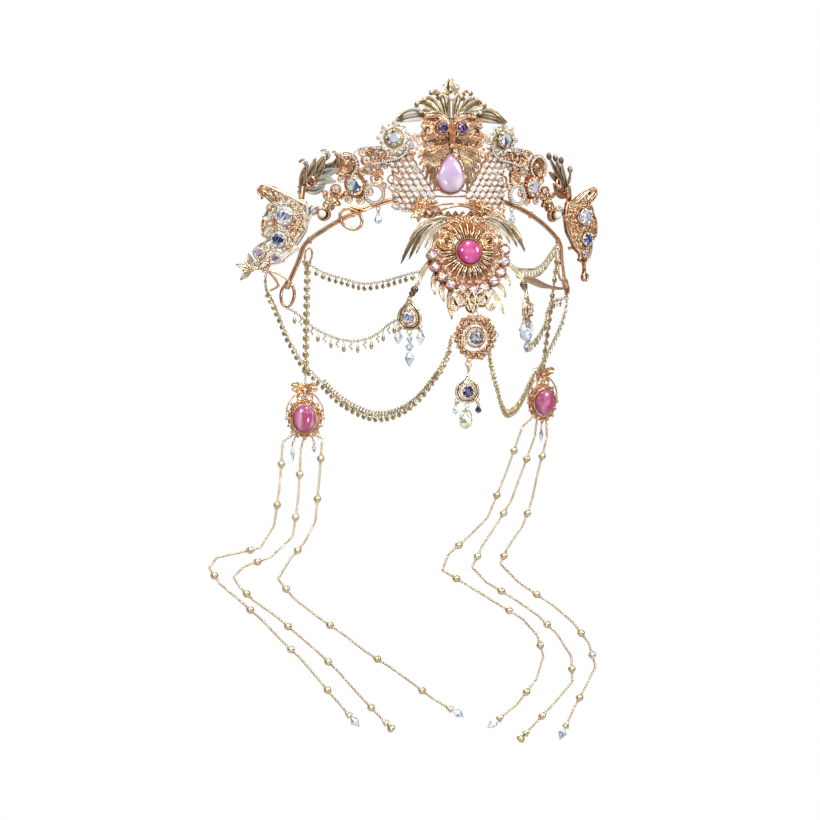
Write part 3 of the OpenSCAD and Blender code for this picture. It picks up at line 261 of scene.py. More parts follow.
class GlassCloudsRimShade(EffectGroup):
    """The milky streaks inside a pressed glass cabochon, with painted shade towards its rim."""

    def draw(self, graph: Graph) -> Sockets:
        """Streaks the body's colour and paints shade where the dome turns away from the front."""
        given = self.given
        place = graph.add("TexCoord").outputs
        lean = {"Vector": place["Object"], "Rotation": (0.0, 0.35, 0.0), "Scale": (1.0, 1.0, 0.35)}
        cloud = graph.add("TexNoise", {"Vector": graph.add("Mapping", lean).outputs[0], "Scale": given["Scale"],
            "Detail": 4.0, "Distortion": 0.8})
        share = graph.product(graph.span(cloud.outputs["Fac"], 0.46, 0.7), given["Amount"])
        mixed = graph.mix(share, given["Body"], given["Streak"])
        # painted shade: the colour darkens where the surface turns away from the front
        front = graph.add("SeparateXYZ", {0: place["Normal"]}).outputs["Y"]
        return {"Color": graph.mix(graph.span(front, -0.88, -0.3), mixed, given["Rim Shade"])}


class SurfaceGroups:
    """The effects that several finishes share, each built once."""

    def __init__(self) -> None:
        """Builds the groups with their usual values."""
        colour = {"Color": "Color"}
        metal = {"Plate": (0.8, 0.5, 0.3), "Recess Shade": (0.2, 0.08, 0.04), "Blotch Highlight": (1.0, 0.8, 0.6),
            "Reach": 0.0016}
        grain = {"Scale": 900.0, "Roughness": 0.2, "Spread": 0.14}
        stone = {"Bright": (1.0, 1.0, 1.0), "Middle": (0.6, 0.65, 0.75), "Facet Shade": (0.1, 0.1, 0.2)}
        glass = {"Body": (0.8, 0.2, 0.5), "Streak": (0.95, 0.6, 0.75), "Rim Shade": (0.5, 0.1, 0.2)}
        self.painted_light = PaintedShadeAndHighlights("PaintedRecessShadeAndHighlights", metal, {**colour, "Mask": "Float"})
        self.cast = CastGrain("CastGrain", grain, {"Height": "Float", "Roughness": "Float"})
        self.facet_sparkle = PaintedFacetSparkle("PaintedFacetSparkle", stone, colour)
        self.cloud = GlassCloudsRimShade("GlassCloudsRimShade", {**glass, "Scale": 160.0, "Amount": 0.6}, colour)


@dataclass(frozen=True)
class Finish:
    """A finish with its own name and the record's slot."""

    name: str
    slot: Slot

    def surface(self, graph: Graph, groups: SurfaceGroups) -> Sockets:
        """Gives the inputs of the finish's shader."""
        raise NotImplementedError

    def build(self, groups: SurfaceGroups) -> bpy.types.Material:
        """Builds the material.

        Args:
            groups: the shared effects.

        Returns:
            The material.
        """
        material = bpy.data.materials.new(self.name)
        material.use_nodes = True
        graph = Graph(material.node_tree)
        shader = graph.add("BsdfPrincipled", self.surface(graph, groups))
        graph.add("OutputMaterial", {"Surface": shader.outputs[0]})
        return material


@dataclass(frozen=True)
class Metal(Finish):
    """A plated metal with painted shade in its recesses, painted highlight blotches and a cast grain."""

    plate: Triple
    recess_shade: Triple
    blotch_highlight: Triple
    roughness: float = 0.2
    reach: float = 1.6
    grain: float = 0.12

    def surface(self, graph: Graph, groups: SurfaceGroups) -> Sockets:
        """Gives the shader the plate's colour with painted recess shade and painted highlight blotches, and the
        cast's bump and roughness.
        """
        colours = {"Plate": self.plate, "Recess Shade": self.recess_shade, "Blotch Highlight": self.blotch_highlight}
        tint = groups.painted_light.placed(graph, {**colours, "Reach": self.reach * MM})
        cast = groups.cast.placed(graph, {"Roughness": self.roughness})
        bump = graph.add("Bump", {"Height": cast["Height"], "Strength": self.grain, "Distance": 0.0002})
        return {"Base Color": tint["Color"], "Roughness": cast["Roughness"], "Metallic": 1.0,
            "Normal": bump.outputs[0]}


@dataclass(frozen=True)
class CutStone(Finish):
    """A foiled stone whose facets get painted glints and painted shade at random."""

    bright: Triple
    middle: Triple
    deep: Triple
    metallic: float = 0.55
    coat: float = 1.0

    def surface(self, graph: Graph, groups: SurfaceGroups) -> Sockets:
        """Gives the shader the facets' colours, with painted glints and shade, below a clear coat."""
        facet_sparkle = groups.facet_sparkle.placed(graph, {"Bright": self.bright, "Middle": self.middle, "Facet Shade": self.deep})
        gloss = {"Roughness": 0.06, "Metallic": self.metallic, "Coat Weight": self.coat, "Coat Roughness": 0.02}
        return {"Base Color": facet_sparkle["Color"], **gloss}


@dataclass(frozen=True)
class DomedGlass(Finish):
    """A glossy cabochon or pearl with clouds inside and painted shade towards its rim."""

    body: Triple
    streak: Triple
    edge: Triple
    scale: float = 160.0
    amount: float = 0.7
    glow: float = 0.25
    roughness: float = 0.12

    def surface(self, graph: Graph, groups: SurfaceGroups) -> Sockets:
        """Gives the shader the clouds' colour with painted rim shade, a little light from within and a clear
        coat.
        """
        colours = {"Body": self.body, "Streak": self.streak, "Rim Shade": self.edge}
        cloud = groups.cloud.placed(graph, {**colours, "Scale": self.scale, "Amount": self.amount})
        gloss = {"Roughness": self.roughness, "Coat Weight": 1.0, "Coat Roughness": 0.03}
        glow = {"Subsurface Radius": (0.002, 0.001, 0.001), "Subsurface Scale": 1.0}
        return {"Base Color": cloud["Color"], **gloss, "Subsurface Weight": self.glow, **glow}


# Metals: plate colour, colour of the painted recess shade, colour of the painted highlight blotches, then
# roughness, and the reach of the painted shade in millimetres where given.
COPPER = Metal("rose_copper_plate", Slot.COPPER, (0.77, 0.42, 0.22), (0.15, 0.034, 0.012), (1.0, 0.86, 0.70),
    0.13, 2.0)
# Deep copper for the mask's ridge, alternate acanthus leaves and the grounds behind the filigree, kept dark so
# that it also stands in as painted shade in the gaps between the filigree.
BACKING = Metal("deep_copper_and_shade_plate", Slot.COPPER, (0.42, 0.16, 0.07), (0.10, 0.02, 0.008), (0.80, 0.46, 0.28),
    0.26, 2.4)
BRASS = Metal("warm_gold_plate", Slot.BRASS, (0.88, 0.62, 0.38), (0.20, 0.065, 0.025), (1.0, 0.92, 0.78), 0.13)
PALE_GOLD = Metal("pale_gold_plate", Slot.PALE_GOLD, (0.74, 0.59, 0.38), (0.09, 0.05, 0.022), (1.0, 0.94, 0.80),
    0.18)
SILVERY = Metal("silvery_gold_plate", Slot.PALE_GOLD, (0.95, 0.90, 0.79), (0.24, 0.18, 0.12), (1.0, 0.98, 0.93),
    0.30)
CHAIN_GOLD = Metal("chain_gold_plate", Slot.PALE_GOLD, (0.60, 0.47, 0.27), (0.13, 0.08, 0.032),
    (0.95, 0.84, 0.62), 0.20, 0.9)
# Dark bronze for dark parts such as the bridge's teeth, the knots and some barbs, and also painted shade where
# its wires and blades lie in grooves and under ribs, barbs and spikes.
BRONZE_AND_SHADE = Metal("dark_bronze_and_shade_plate", Slot.PALE_GOLD, (0.22, 0.15, 0.09), (0.045, 0.025, 0.015),
    (0.62, 0.48, 0.34), 0.16)
# Stones: colour of the painted glints, the stone's own colour and colour of the painted shade on its facets,
# then metallic and coat.
CLEAR = CutStone("clear_foiled_stone", Slot.CLEAR, (1.0, 1.0, 1.0), (0.80, 0.86, 0.98), (0.07, 0.09, 0.20))
WHITE = CutStone("white_net_stone", Slot.CLEAR, (1.0, 1.0, 1.0), (0.96, 0.94, 0.93), (0.50, 0.42, 0.40), 0.15)
ICE = CutStone("ice_blue_foiled_stone", Slot.ICE, (1.0, 1.0, 1.0), (0.62, 0.68, 0.90), (0.12, 0.13, 0.34), 0.45)
NIGHT = CutStone("night_blue_foiled_stone", Slot.DARK, (0.30, 0.34, 0.66), (0.03, 0.03, 0.12),
    (0.008, 0.008, 0.03), 0.3, 0.3)
VIOLET = CutStone("violet_foiled_stone", Slot.DARK, (0.24, 0.20, 0.44), (0.03, 0.02, 0.09),
    (0.008, 0.006, 0.03), 0.3, 0.3)
AMETHYST = CutStone("pale_amethyst_stone", Slot.DARK, (0.66, 0.50, 0.70), (0.32, 0.17, 0.33),
    (0.14, 0.06, 0.14), 0.35)
ROSE_ICE = CutStone("rose_white_stone", Slot.ICE, (1.0, 1.0, 1.0), (0.90, 0.86, 0.97), (0.26, 0.17, 0.34), 0.3)
GREEN = CutStone("pale_green_foiled_stone", Slot.ICE, (1.0, 1.0, 0.90), (0.72, 0.74, 0.50), (0.24, 0.24, 0.10),
    0.3)
MIST = CutStone("misty_blue_glass", Slot.ICE, (1.0, 1.0, 1.0), (0.64, 0.74, 0.88), (0.22, 0.29, 0.44), 0.25)
# Glass: body, streak and painted rim shade colours, then cloud scale, streak amount, glow and roughness.
PINK = DomedGlass("pink_cabochon_glass", Slot.PINK, (0.50, 0.03, 0.22), (0.80, 0.22, 0.48), (0.36, 0.02, 0.12),
    190.0, 0.55)
ROSE = DomedGlass("rose_cabochon_glass", Slot.PINK, (0.46, 0.055, 0.17), (0.80, 0.44, 0.66), (0.34, 0.03, 0.09),
    230.0, 0.8)
LILAC = DomedGlass("lilac_cabochon_glass", Slot.LILAC, (0.60, 0.44, 0.66), (0.98, 0.97, 1.0),
    (0.44, 0.12, 0.30), 60.0, 1.0)
PEARL = DomedGlass("white_pearl", Slot.CLEAR, (0.90, 0.86, 0.78), (1.0, 0.98, 0.94), (0.40, 0.30, 0.20), 300.0,
    0.5, 0.1, 0.2)
FINISHES = [COPPER, BACKING, BRASS, PALE_GOLD, SILVERY, CHAIN_GOLD, BRONZE_AND_SHADE, CLEAR, WHITE, ICE, NIGHT, VIOLET,
    AMETHYST, ROSE_ICE, GREEN, MIST, PINK, ROSE, LILAC, PEARL]


Leaves = tuple[tuple[Finish, float, Path], ...]


class Palette:
    """Builds each finish once and hands out its material."""

    def __init__(self) -> None:
        """Builds the groups and all materials."""
        groups = SurfaceGroups()
        self.materials = {finish.name: finish.build(groups) for finish in FINISHES}

    def of(self, finish: Finish) -> bpy.types.Material:
        """Gives the material of a finish."""
        return self.materials[finish.name]


# ---------------------------------------------------------------- modelling


def deselect_all() -> None:
    """Leaves nothing selected or active."""
    for item in bpy.context.selected_objects:
        item.select_set(False)
    bpy.context.view_layer.objects.active = None


@dataclass(frozen=True)
class Shape:
    """A small modelled form that is copied into larger pieces."""

    points: np.ndarray
    faces: tuple[tuple[int, ...], ...]
    smooth: bool = True


def read_mesh(smooth: bool = True) -> Shape:
    """Takes the active object's mesh out of the scene as it is."""
    item = bpy.context.object
    mesh = item.data
    points = np.empty(len(mesh.vertices) * 3)
    mesh.vertices.foreach_get("co", points)
    faces = tuple(tuple(p.vertices) for p in mesh.polygons)
    bpy.data.objects.remove(item)
    bpy.data.meshes.remove(mesh)
    return Shape(points.reshape(-1, 3), faces, smooth)


def taken(smooth: bool = True) -> Shape:
    """Takes the active object's mesh out of the scene, with its points and faces in a fixed order.

    The modelling tools may number them differently in each run.

    Args:
        smooth: whether its faces are shaded smooth.

    Returns:
        The shape.
    """
    shape = read_mesh(smooth)
    rank = np.lexsort(np.round(shape.points, 3).T)
    place = np.argsort(rank).tolist()
    faces = []
    for face in shape.faces:
        ring = [place[k] for k in face]
        first = ring.index(min(ring))
        faces.append(tuple(ring[first:] + ring[:first]))
    return Shape(shape.points[rank], tuple(sorted(faces)), smooth)


def ball(segments: int, rings: int) -> Shape:
    """Models a ball of radius 1."""
    deselect_all()
    bpy.ops.mesh.primitive_uv_sphere_add(segments=segments, ring_count=rings, radius=1)
    return taken()


def loop_ring(thickness: float, around: int, sides: int = 6) -> Shape:
    """Models a round wire ring of radius 1 in the XY plane."""
    deselect_all()
    bpy.ops.mesh.primitive_torus_add(major_segments=around, minor_segments=sides, major_radius=1,
        minor_radius=thickness)
    return taken()


def raised(profile: Points, twist: float = 0.0, smooth: bool = True, middle: float = 0.0) -> Shape:
    """Extrudes the active object's one face up through a profile and takes the shape.

    Args:
        profile: size and height of each step.
        twist: turn of each step in degrees, which gives a cut stone its kites.
        smooth: whether its faces are shaded smooth.
        middle: place up of the centre that it narrows to.

    Returns:
        The shape.
    """
    bpy.ops.object.mode_set(mode="EDIT")
    bpy.ops.mesh.select_all(action="SELECT")
    for (size, height), (next_size, next_height) in zip(profile, profile[1:]):
        bpy.ops.mesh.extrude_region_move(TRANSFORM_OT_translate={"value": (0, 0, next_height - height)})
        scale, centre = next_size / size, (0, middle, next_height)
        bpy.ops.transform.resize(value=(scale, scale, 1), center_override=centre)
        if twist:
            bpy.ops.transform.rotate(value=math.radians(twist), orient_axis="Z", center_override=centre)
    bpy.ops.mesh.select_all(action="SELECT")
    if twist:
        bpy.ops.mesh.quads_convert_to_tris(quad_method="SHORTEST_DIAGONAL", ngon_method="BEAUTY")
    bpy.ops.mesh.normals_make_consistent(inside=False)
    bpy.ops.object.mode_set(mode="OBJECT")
    return taken(smooth)


def turned(profile: Points, sides: int, twist: float = 0.0, smooth: bool = True) -> Shape:
    """Models a turned form by extruding a circle up through a profile of radius and height."""
    deselect_all()
    radius, height = profile[0]
    bpy.ops.mesh.primitive_circle_add(vertices=sides, radius=radius, fill_type="NGON", location=(0, 0, height))
    bpy.ops.object.transform_apply(location=True)
    return raised(profile, twist, smooth)


def leaf_blade(profile: Sequence[float], ridge: float, cup: float, notch: float = 0.0,
        thick: float = 0.12) -> Shape:
    """Models a leaf along Y from 0 to 1 with half width 1, a midrib and raised edges.

    Args:
        profile: half width at each row from root to tip.
        ridge: height of the midrib.
        cup: how far the edges curl up.
        notch: how much every second row is drawn in, for a toothed edge.
        thick: thickness of the leaf.

    Returns:
        The shape.
    """
    rows, least, rib = len(profile), 0.02, 2.6
    deselect_all()
    bpy.ops.mesh.primitive_grid_add(x_subdivisions=6, y_subdivisions=rows - 1, size=2, location=(0, 0, 0))
    item = bpy.context.object
    for row, width in enumerate(profile):
        level = -1 + 2 * row / (rows - 1)
        bpy.ops.object.mode_set(mode="EDIT")
        bpy.ops.mesh.select_all(action="DESELECT")
        bpy.ops.object.mode_set(mode="OBJECT")
        for vertex in item.data.vertices:
            vertex.select = abs(vertex.co.y - level) < 1e-4
        bpy.ops.object.mode_set(mode="EDIT")
        drawn = max(width * (1 - notch * (row % 2)), least)
        bpy.ops.transform.resize(value=(drawn, 1, 1), center_override=(0, level, 0))
        bpy.ops.object.mode_set(mode="OBJECT")
    for vertex in item.data.vertices:
        row = round((vertex.co.y + 1) / 2 * (rows - 1))
        across = abs(vertex.co.x) / max(profile[row], least)
        vertex.co.z = ridge * max(0.0, 1 - rib * across) + cup * across * across
        vertex.co.y = (vertex.co.y + 1) / 2
    solid = item.modifiers.new("thickness", "SOLIDIFY")
    solid.thickness = thick
    solid.offset = -1
    bpy.ops.object.modifier_apply(modifier=solid.name)
    return taken()


def spun(degrees: float, axis: str) -> Matrix:
    """Gives a turn about an axis."""
    return Matrix.Rotation(math.radians(degrees), 4, axis)


def sized(*size: float) -> Matrix:
    """Gives a scale, by one number or by one for each axis."""
    return Matrix.Diagonal((*(size * 3 if len(size) == 1 else size), 1))


def put(point: Point, *size: float) -> Matrix:
    """Gives the placing of a shape at a point, scaled by one number or by one for each axis."""
    return Matrix.Translation(point) @ sized(*size)


def polar(radius: float, angle: float, x: float = 0.0, y: float = 0.0, stretch: float = 1.0) -> Pair:
    """Gives the place at an angle on a circle, or on an oval when it is stretched up."""
    return x + radius * math.cos(angle), y + stretch * radius * math.sin(angle)


def lifted(points: Points, x: float = 0.0, y: float = 0.0, z: float = 0.0) -> list[Vector]:
    """Gives drawn points moved across, up and towards the viewer."""
    return [Vector((p[0] + x, p[1] + y, z + (p[2] if len(p) > 2 else 0.0))) for p in points]


@dataclass(frozen=True)
class Panel:
    """A work plane in the crown: x across, y up and z towards the viewer, in millimetres."""

    base: Matrix

    def spot(self, x: float, y: float, z: float = 0.0) -> Vector:
        """Gives the crown's point of a point of the panel."""
        return self.base @ Vector((x, y, z))

    def seat(self, x: float, y: float, z: float, turn: float, size: float | Point = 1.0) -> Matrix:
        """Gives the placing of a shape that stands on the panel.

        Args:
            x: place across.
            y: place up.
            z: height above the panel.
            turn: turn about the panel's normal in degrees.
            size: scale, one number or one for each axis.

        Returns:
            The matrix.
        """
        scale = (size,) if isinstance(size, (int, float)) else size
        return self.base @ Matrix.Translation((x, y, z)) @ spun(turn, "Z") @ sized(*scale)

    def line(self, points: Iterable[Point], z: float = 0.0) -> list[Vector]:
        """Gives the crown's points of a drawn line, at a height above the panel."""
        return [self.base @ p for p in lifted(points, z=z)]

    def curve(self, points: Points, z: float = 0.0, steps: int = 5) -> list[Vector]:
        """Gives the crown's points of a smooth line through drawn points."""
        return self.line(smooth_line(points, steps), z)

    def moved(self, x: float, y: float, z: float) -> Panel:
        """Gives the panel moved along its own axes."""
        return Panel(self.base @ Matrix.Translation((x, y, z)))

    def handed(self, side: int) -> Panel:
        """Gives the panel, turned over from left to right for the side of -X."""
        return Panel(self.base @ sized(side, 1, 1))

    def sided(self, side: int) -> Panel:
        """Gives the panel for one side of the crown, drawn for the side of +X."""
        return Panel(sized(-1, 1, 1) @ self.base) if side < 0 else self


ROOT = Panel(Matrix.Identity(4))


def facing(at: Point, yaw: float = 0.0, lean: float = 0.0, roll: float = 0.0) -> Panel:
    """Gives a panel that faces the viewer from a point, as the solids are placed."""
    return Panel(Matrix.Translation(at) @ spun(yaw, "Z") @ spun(90 - lean, "X") @ spun(roll, "Z"))


def front_depth(x: float) -> float:
    """Gives how far back the head's front lies at a place across."""
    return (HEAD_R - math.sqrt(HEAD_R**2 - x * x)) * math.cos(TILT)


def front_turn(x: float) -> float:
    """Gives the turn of the head's front at a place across, in degrees."""
    return math.degrees(math.atan(math.cos(TILT) * x / math.sqrt(HEAD_R**2 - x * x)))


def on_front(x: float, z: float, out: float = PLATE_OUT + OVERLAY, roll: float = 0.0) -> Panel:
    """Gives a panel set against the front of the head."""
    stand = put((x, front_depth(x), z), 1) @ spun(front_turn(x), "Z") @ put((0, -out, 0), 1)
    return Panel(stand @ spun(90, "X") @ spun(roll, "Z"))


def on_forehead(z: float = 0.0) -> Panel:
    """Gives a panel on the forehead disc."""
    return facing((0, -33, -30), 0, 12).moved(0, 0, z)


def smooth_line(points: Points, steps: int) -> list[Vector]:
    """Draws a smooth line through points, with a number of spans between two of them."""
    knots = lifted(points)
    last = len(knots) - 1
    line = []
    for i in range(last):
        a, b, c, d = (knots[min(max(i + k, 0), last)] for k in (-1, 0, 1, 2))
        for step in range(steps):
            t = step / steps
            square, cube = 2 * a - 5 * b + 4 * c - d, 3 * b - 3 * c + d - a
            line.append(0.5 * (2 * b + (c - a) * t + square * t * t + cube * t**3))
    return line + [knots[-1]]


def spiral(x: float, y: float, radius: float, turns: float, start: float, hand: int) -> list[Vector]:
    """Draws a scroll that winds in from its rim.

    Args:
        x: centre across.
        y: centre up.
        radius: radius of its rim.
        turns: number of turns.
        start: angle of the rim's end in degrees.
        hand: 1 for anticlockwise, -1 for clockwise.

    Returns:
        The line's points.
    """
    count, wound_in, arch = max(8, round(turns * 12)), 0.75, 0.35
    line = []
    for share in (i / count for i in range(count + 1)):
        angle = math.radians(start) + hand * share * turns * FULL_TURN
        spot = polar(radius * (1 - share * wound_in), angle, x, y)
        line.append(Vector((*spot, arch * math.sin(math.pi * share))))
    return line


def round_line(x: float, y: float, radius: float, count: int, stretch: float = 1.0) -> list[Vector]:
    """Draws a circle, or an oval when it is stretched up."""
    return [Vector((*polar(radius, FULL_TURN * i / count, x, y, stretch), 0)) for i in range(count)]


def oval_line(panel: Panel, width: float, length: float, start: float, sweep: float = 345.0) -> list[Vector]:
    """Draws an oval or most of one on a panel."""
    angles = (math.radians(start + sweep * i / 26) for i in range(27))
    return [panel.spot(width / 2 * math.cos(angle), length / 2 * math.sin(angle)) for angle in angles]


def spaced(line: Sequence[Vector], pitch: float, closed: bool = False) -> list[tuple[Vector, Vector]]:
    """Gives evenly spaced points on a line, with the line's direction at each.

    Args:
        line: the line's points.
        pitch: wished distance between two points.
        closed: whether the line runs back to its start.

    Returns:
        Point and direction of each.
    """
    points = list(line) + ([line[0]] if closed else [])
    lengths = [0.0]
    for a, b in zip(points, points[1:]):
        lengths.append(lengths[-1] + (b - a).length)
    count = max(1, round(lengths[-1] / pitch))
    found, i = [], 0
    for k in range(count if closed else count + 1):
        goal = lengths[-1] * k / count
        while i < len(points) - 2 and lengths[i + 1] < goal:
            i += 1
        step = points[i + 1] - points[i]
        found.append((points[i] + step * ((goal - lengths[i]) / max(step.length, 1e-9)), step.normalized()))
    return found


def upright(point: Vector, along: Vector, up: Vector = Vector((0, -1, 0))) -> Matrix:
    """Gives a placing whose Y runs along a direction and whose Z leans to up."""
    y = along.normalized()
    x = y.cross(up).normalized()
    return Matrix.Translation(point) @ Matrix((x, y, x.cross(y))).transposed().to_4x4()


def pointed(point: Vector, way: Vector) -> Matrix:
    """Gives a placing whose Z runs along a direction."""
    return Matrix.Translation(point) @ way.to_track_quat("Z", "Y").to_matrix().to_4x4()


class Kit:
    """The small shapes that the crown's pieces are made from, each modelled once."""

    def __init__(self) -> None:
        """Models all of them."""
        self.bead = ball(8, 5)
        self.grain = ball(6, 4)
        self.round = ball(16, 10)
        self.ring = loop_ring(0.22, 14)
        self.fine_ring = loop_ring(0.16, 20)
        self.link = loop_ring(0.3, 8, 4)
        self.disc = turned([(0.55, 0), (0.92, 0.06), (1, 0.2), (0.92, 0.34), (0.55, 0.42), (0.1, 0.44)], 12)
        self.gem = turned([(0.25, 0), (0.95, 0.42), (1, 0.52), (0.86, 0.76), (0.58, 1)], 8, 22.5, False)
        self.small_gem = turned([(0.95, 0.3), (1, 0.45), (0.6, 1)], 8, 22.5, False)
        self.bicone = turned([(0.22, -1), (0.98, -0.12), (0.98, 0.12), (0.22, 1)], 8, 0, False)
        self.briolette = turned([(0.3, -1), (0.85, -0.72), (1, -0.35), (0.75, 0.1), (0.36, 0.62), (0.1, 1)], 8,
            22.5, False)
        self.drop = turned([(0.35, -1), (0.8, -0.8), (1, -0.42), (0.82, 0), (0.42, 0.45), (0.16, 0.8),
            (0.08, 1)], 10)
        self.rounded_stone = turned([(0.4, -1), (0.86, -0.62), (1, -0.1), (0.94, 0.35), (0.66, 0.78), (0.3, 1)],
            10, 18, False)
        self.cone = turned([(0.42, 0), (0.55, 0.15), (0.62, 0.3), (1, 0.9), (0.86, 1)], 12)
        self.cup = turned([(0.5, 0), (0.9, 0.3), (1, 0.75), (1, 1), (0.86, 1), (0.84, 0.7)], 16)
        self.claw = turned([(0.6, 0), (1, 0.3), (1, 0.7), (0.5, 1)], 6)
        self.petal = leaf_blade([0.25, 0.7, 0.98, 1.0, 0.86, 0.6, 0.3, 0.04], 0.3, 0.25)
        self.blade = leaf_blade([0.3, 0.52, 0.74, 0.9, 1.0, 0.98, 0.86, 0.66, 0.42, 0.2, 0.03], 0.34, 0.3)
        self.toothed = leaf_blade([0.3, 0.5, 0.8, 0.78, 1.0, 0.92, 1.04, 0.88, 0.92, 0.7, 0.66, 0.42, 0.34, 0.1,
            0.03], 0.36, 0.34, 0.22)
        self.flute = leaf_blade([0.34, 0.4, 0.5, 0.64, 0.82, 1.0, 1.06, 0.9, 0.4], -0.5, 0.55, 0.0, 0.2)


@dataclass
class Piece:
    """One finished piece: copies of shapes, wires and leaves that share a finish."""

    name: str
    finish: Finish
    kit: Kit
    replaces: tuple[str, ...] = ()
    body: str = "crown"
    points: list[np.ndarray] = field(default_factory=list)
    faces: list[tuple[int, ...]] = field(default_factory=list)
    flat: list[bool] = field(default_factory=list)
    count: int = 0
    wires: list[tuple[list[Vector], Any, int, bool]] = field(default_factory=list)

    def add(self, shape: Shape, seat: Matrix) -> None:
        """Adds a copy of a shape at a placing in millimetres."""
        placing = np.array(seat)
        points = shape.points @ placing[:3, :3].T + placing[:3, 3]
        start, inside_out = self.count, np.linalg.det(placing[:3, :3]) < 0
        for face in shape.faces:
            moved = tuple(start + k for k in face)
            self.faces.append(moved[::-1] if inside_out else moved)
        self.flat.extend([not shape.smooth] * len(shape.faces))
        self.points.append(points)
        self.count += len(points)

    def put(self, shape: Shape, panel: Panel, x: float, y: float, z: float = 0.0, size: float | Point = 1.0,
            turn: float = 0.0) -> None:
        """Adds a copy of a shape that stands on a panel."""
        self.add(shape, panel.seat(x, y, z, turn, size))

    def blade(self, shape: Shape, panel: Panel, path: Points, width: float, thick: float = 1.0,
            tip: float = 0.0, z: float = 0.0) -> None:
        """Adds a leaf that is bent along a path on a panel.

        Args:
            shape: the straight leaf.
            panel: the work plane.
            path: the leaf's midline from root to tip.
            width: its greatest half width.
            thick: scale of its relief.
            tip: height to which its tip curls forward.
            z: height of the path above the panel.
        """
        line = smooth_line(path, 6)
        share = np.linspace(0, 1, len(line))
        where = np.array([(p.x, p.y, p.z + z + tip * s**2) for p, s in zip(line, share)])
        step = np.gradient(where, axis=0)
        step /= np.linalg.norm(step, axis=1)[:, None]
        side = np.cross(step, (0, 0, 1.0))
        side /= np.linalg.norm(side, axis=1)[:, None] + 1e-9
        over = np.cross(side, step)
        across, along, rise = shape.points.T
        bent = np.empty_like(shape.points)
        for axis in range(3):
            at, out, up = (np.interp(along, share, way[:, axis]) for way in (where, side, over))
            bent[:, axis] = at + out * across * width + up * rise * thick * width
        self.add(Shape(bent, shape.faces, shape.smooth), panel.base)

    def wire(self, line: Sequence[Vector], radius: Any, sides: int = ROUND, closed: bool = False) -> None:
        """Adds a wire along a line of the crown.

        Args:
            line: its points in the crown's frame.
            radius: its radius, one number or one for each point.
            sides: number of its sides, THIN, ROUND or STOUT.
            closed: whether it runs back to its start.
        """
        self.wires.append((list(line), radius, sides, closed))

    def rope(self, line: Sequence[Vector], radius: float, pitch: float, closed: bool = False) -> None:
        """Adds two fine wires that twist round each other.

        Args:
            line: the rope's midline.
            radius: radius of the rope.
            pitch: length of one twist.
            closed: whether it runs back to its start.
        """
        spots = spaced(line, pitch / 6, closed)
        for phase in (0.0, math.pi):
            strand = []
            for i, (point, along) in enumerate(spots):
                side = along.cross(Vector((0, -1, 0))).normalized()
                angle = phase + FULL_TURN * i / 6
                off = side * math.cos(angle) + side.cross(along) * math.sin(angle)
                strand.append(point + off * radius * 0.5)
            self.wire(strand, radius * 0.56, THIN, closed)

    def beads(self, shape: Shape, line: Sequence[Vector], pitch: float, radius: float) -> None:
        """Adds a row of beads along a line of the crown."""
        for point, _ in spaced(line, pitch):
            self.add(shape, put(point, radius))

    def links(self, line: Sequence[Vector], pitch: float, *size: float) -> None:
        """Lays oval links along a line, every second one turned on edge."""
        for i, (point, along) in enumerate(spaced(line, pitch)):
            self.add(self.kit.link, upright(point, along) @ spun(90 * (i % 2), "Y") @ sized(*size))

    def ring(self, panel: Panel, x: float, y: float, radius: float, z: float = 0.6) -> None:
        """Adds a wire ring that lies on a panel."""
        self.put(self.kit.ring, panel, x, y, z, radius)

    def hoop(self, panel: Panel, x: float, y: float, radius: float, z: float, wire: float, count: int = 36,
            stretch: float = 1.0) -> None:
        """Adds a wide closed wire, round or stretched up."""
        self.wire(panel.line(round_line(x, y, radius, count, stretch), z), wire, closed=True)

    def scroll(self, panel: Panel, x: float, y: float, radius: float, start: float, hand: int, wire: float,
            z: float = 0.6, turns: float = 1.5) -> None:
        """Adds a scroll of wire with a bead at its middle."""
        self.wire(panel.line(spiral(x, y, radius, turns, start, hand), z), wire)
        self.put(self.kit.bead, panel, x, y, z + 0.2, wire * 1.7)

    def cluster(self, panel: Panel, x: float, y: float, radius: float, z: float = 0.8, count: int = 6) -> None:
        """Adds a small flower of beads."""
        grain = radius * 0.38
        self.put(self.kit.grain, panel, x, y, z + grain * 0.5, grain * 1.1)
        for i in range(count):
            spot = polar(radius - grain, FULL_TURN * i / count, x, y)
            self.put(self.kit.grain, panel, *spot, z, grain)

    def bead_ring(self, panel: Panel, x: float, y: float, radius: float, grain: float, z: float,
            start: float = 0.0, sweep: float = 360.0) -> None:
        """Adds beads on a circle or a part of one."""
        count = max(3, round(math.radians(sweep) * radius / (grain * 2.05)))
        for i in range(count + (sweep < 360)):
            spot = polar(radius, math.radians(start + sweep * i / count), x, y)
            self.put(self.kit.bead, panel, *spot, z, grain)

    def flower(self, panel: Panel, x: float, y: float, radius: float, petals: int, z: float,
            start: float = 0.0) -> None:
        """Adds a flower of modelled petals with a bead at its middle."""
        width = radius * min(0.46, 1.5 / petals * 1.3)
        for i in range(petals):
            self.put(self.kit.petal, panel, x, y, z, (width, radius, width * 1.2), start + 360 * i / petals)
        self.put(self.kit.bead, panel, x, y, z + 0.5, radius * 0.24)

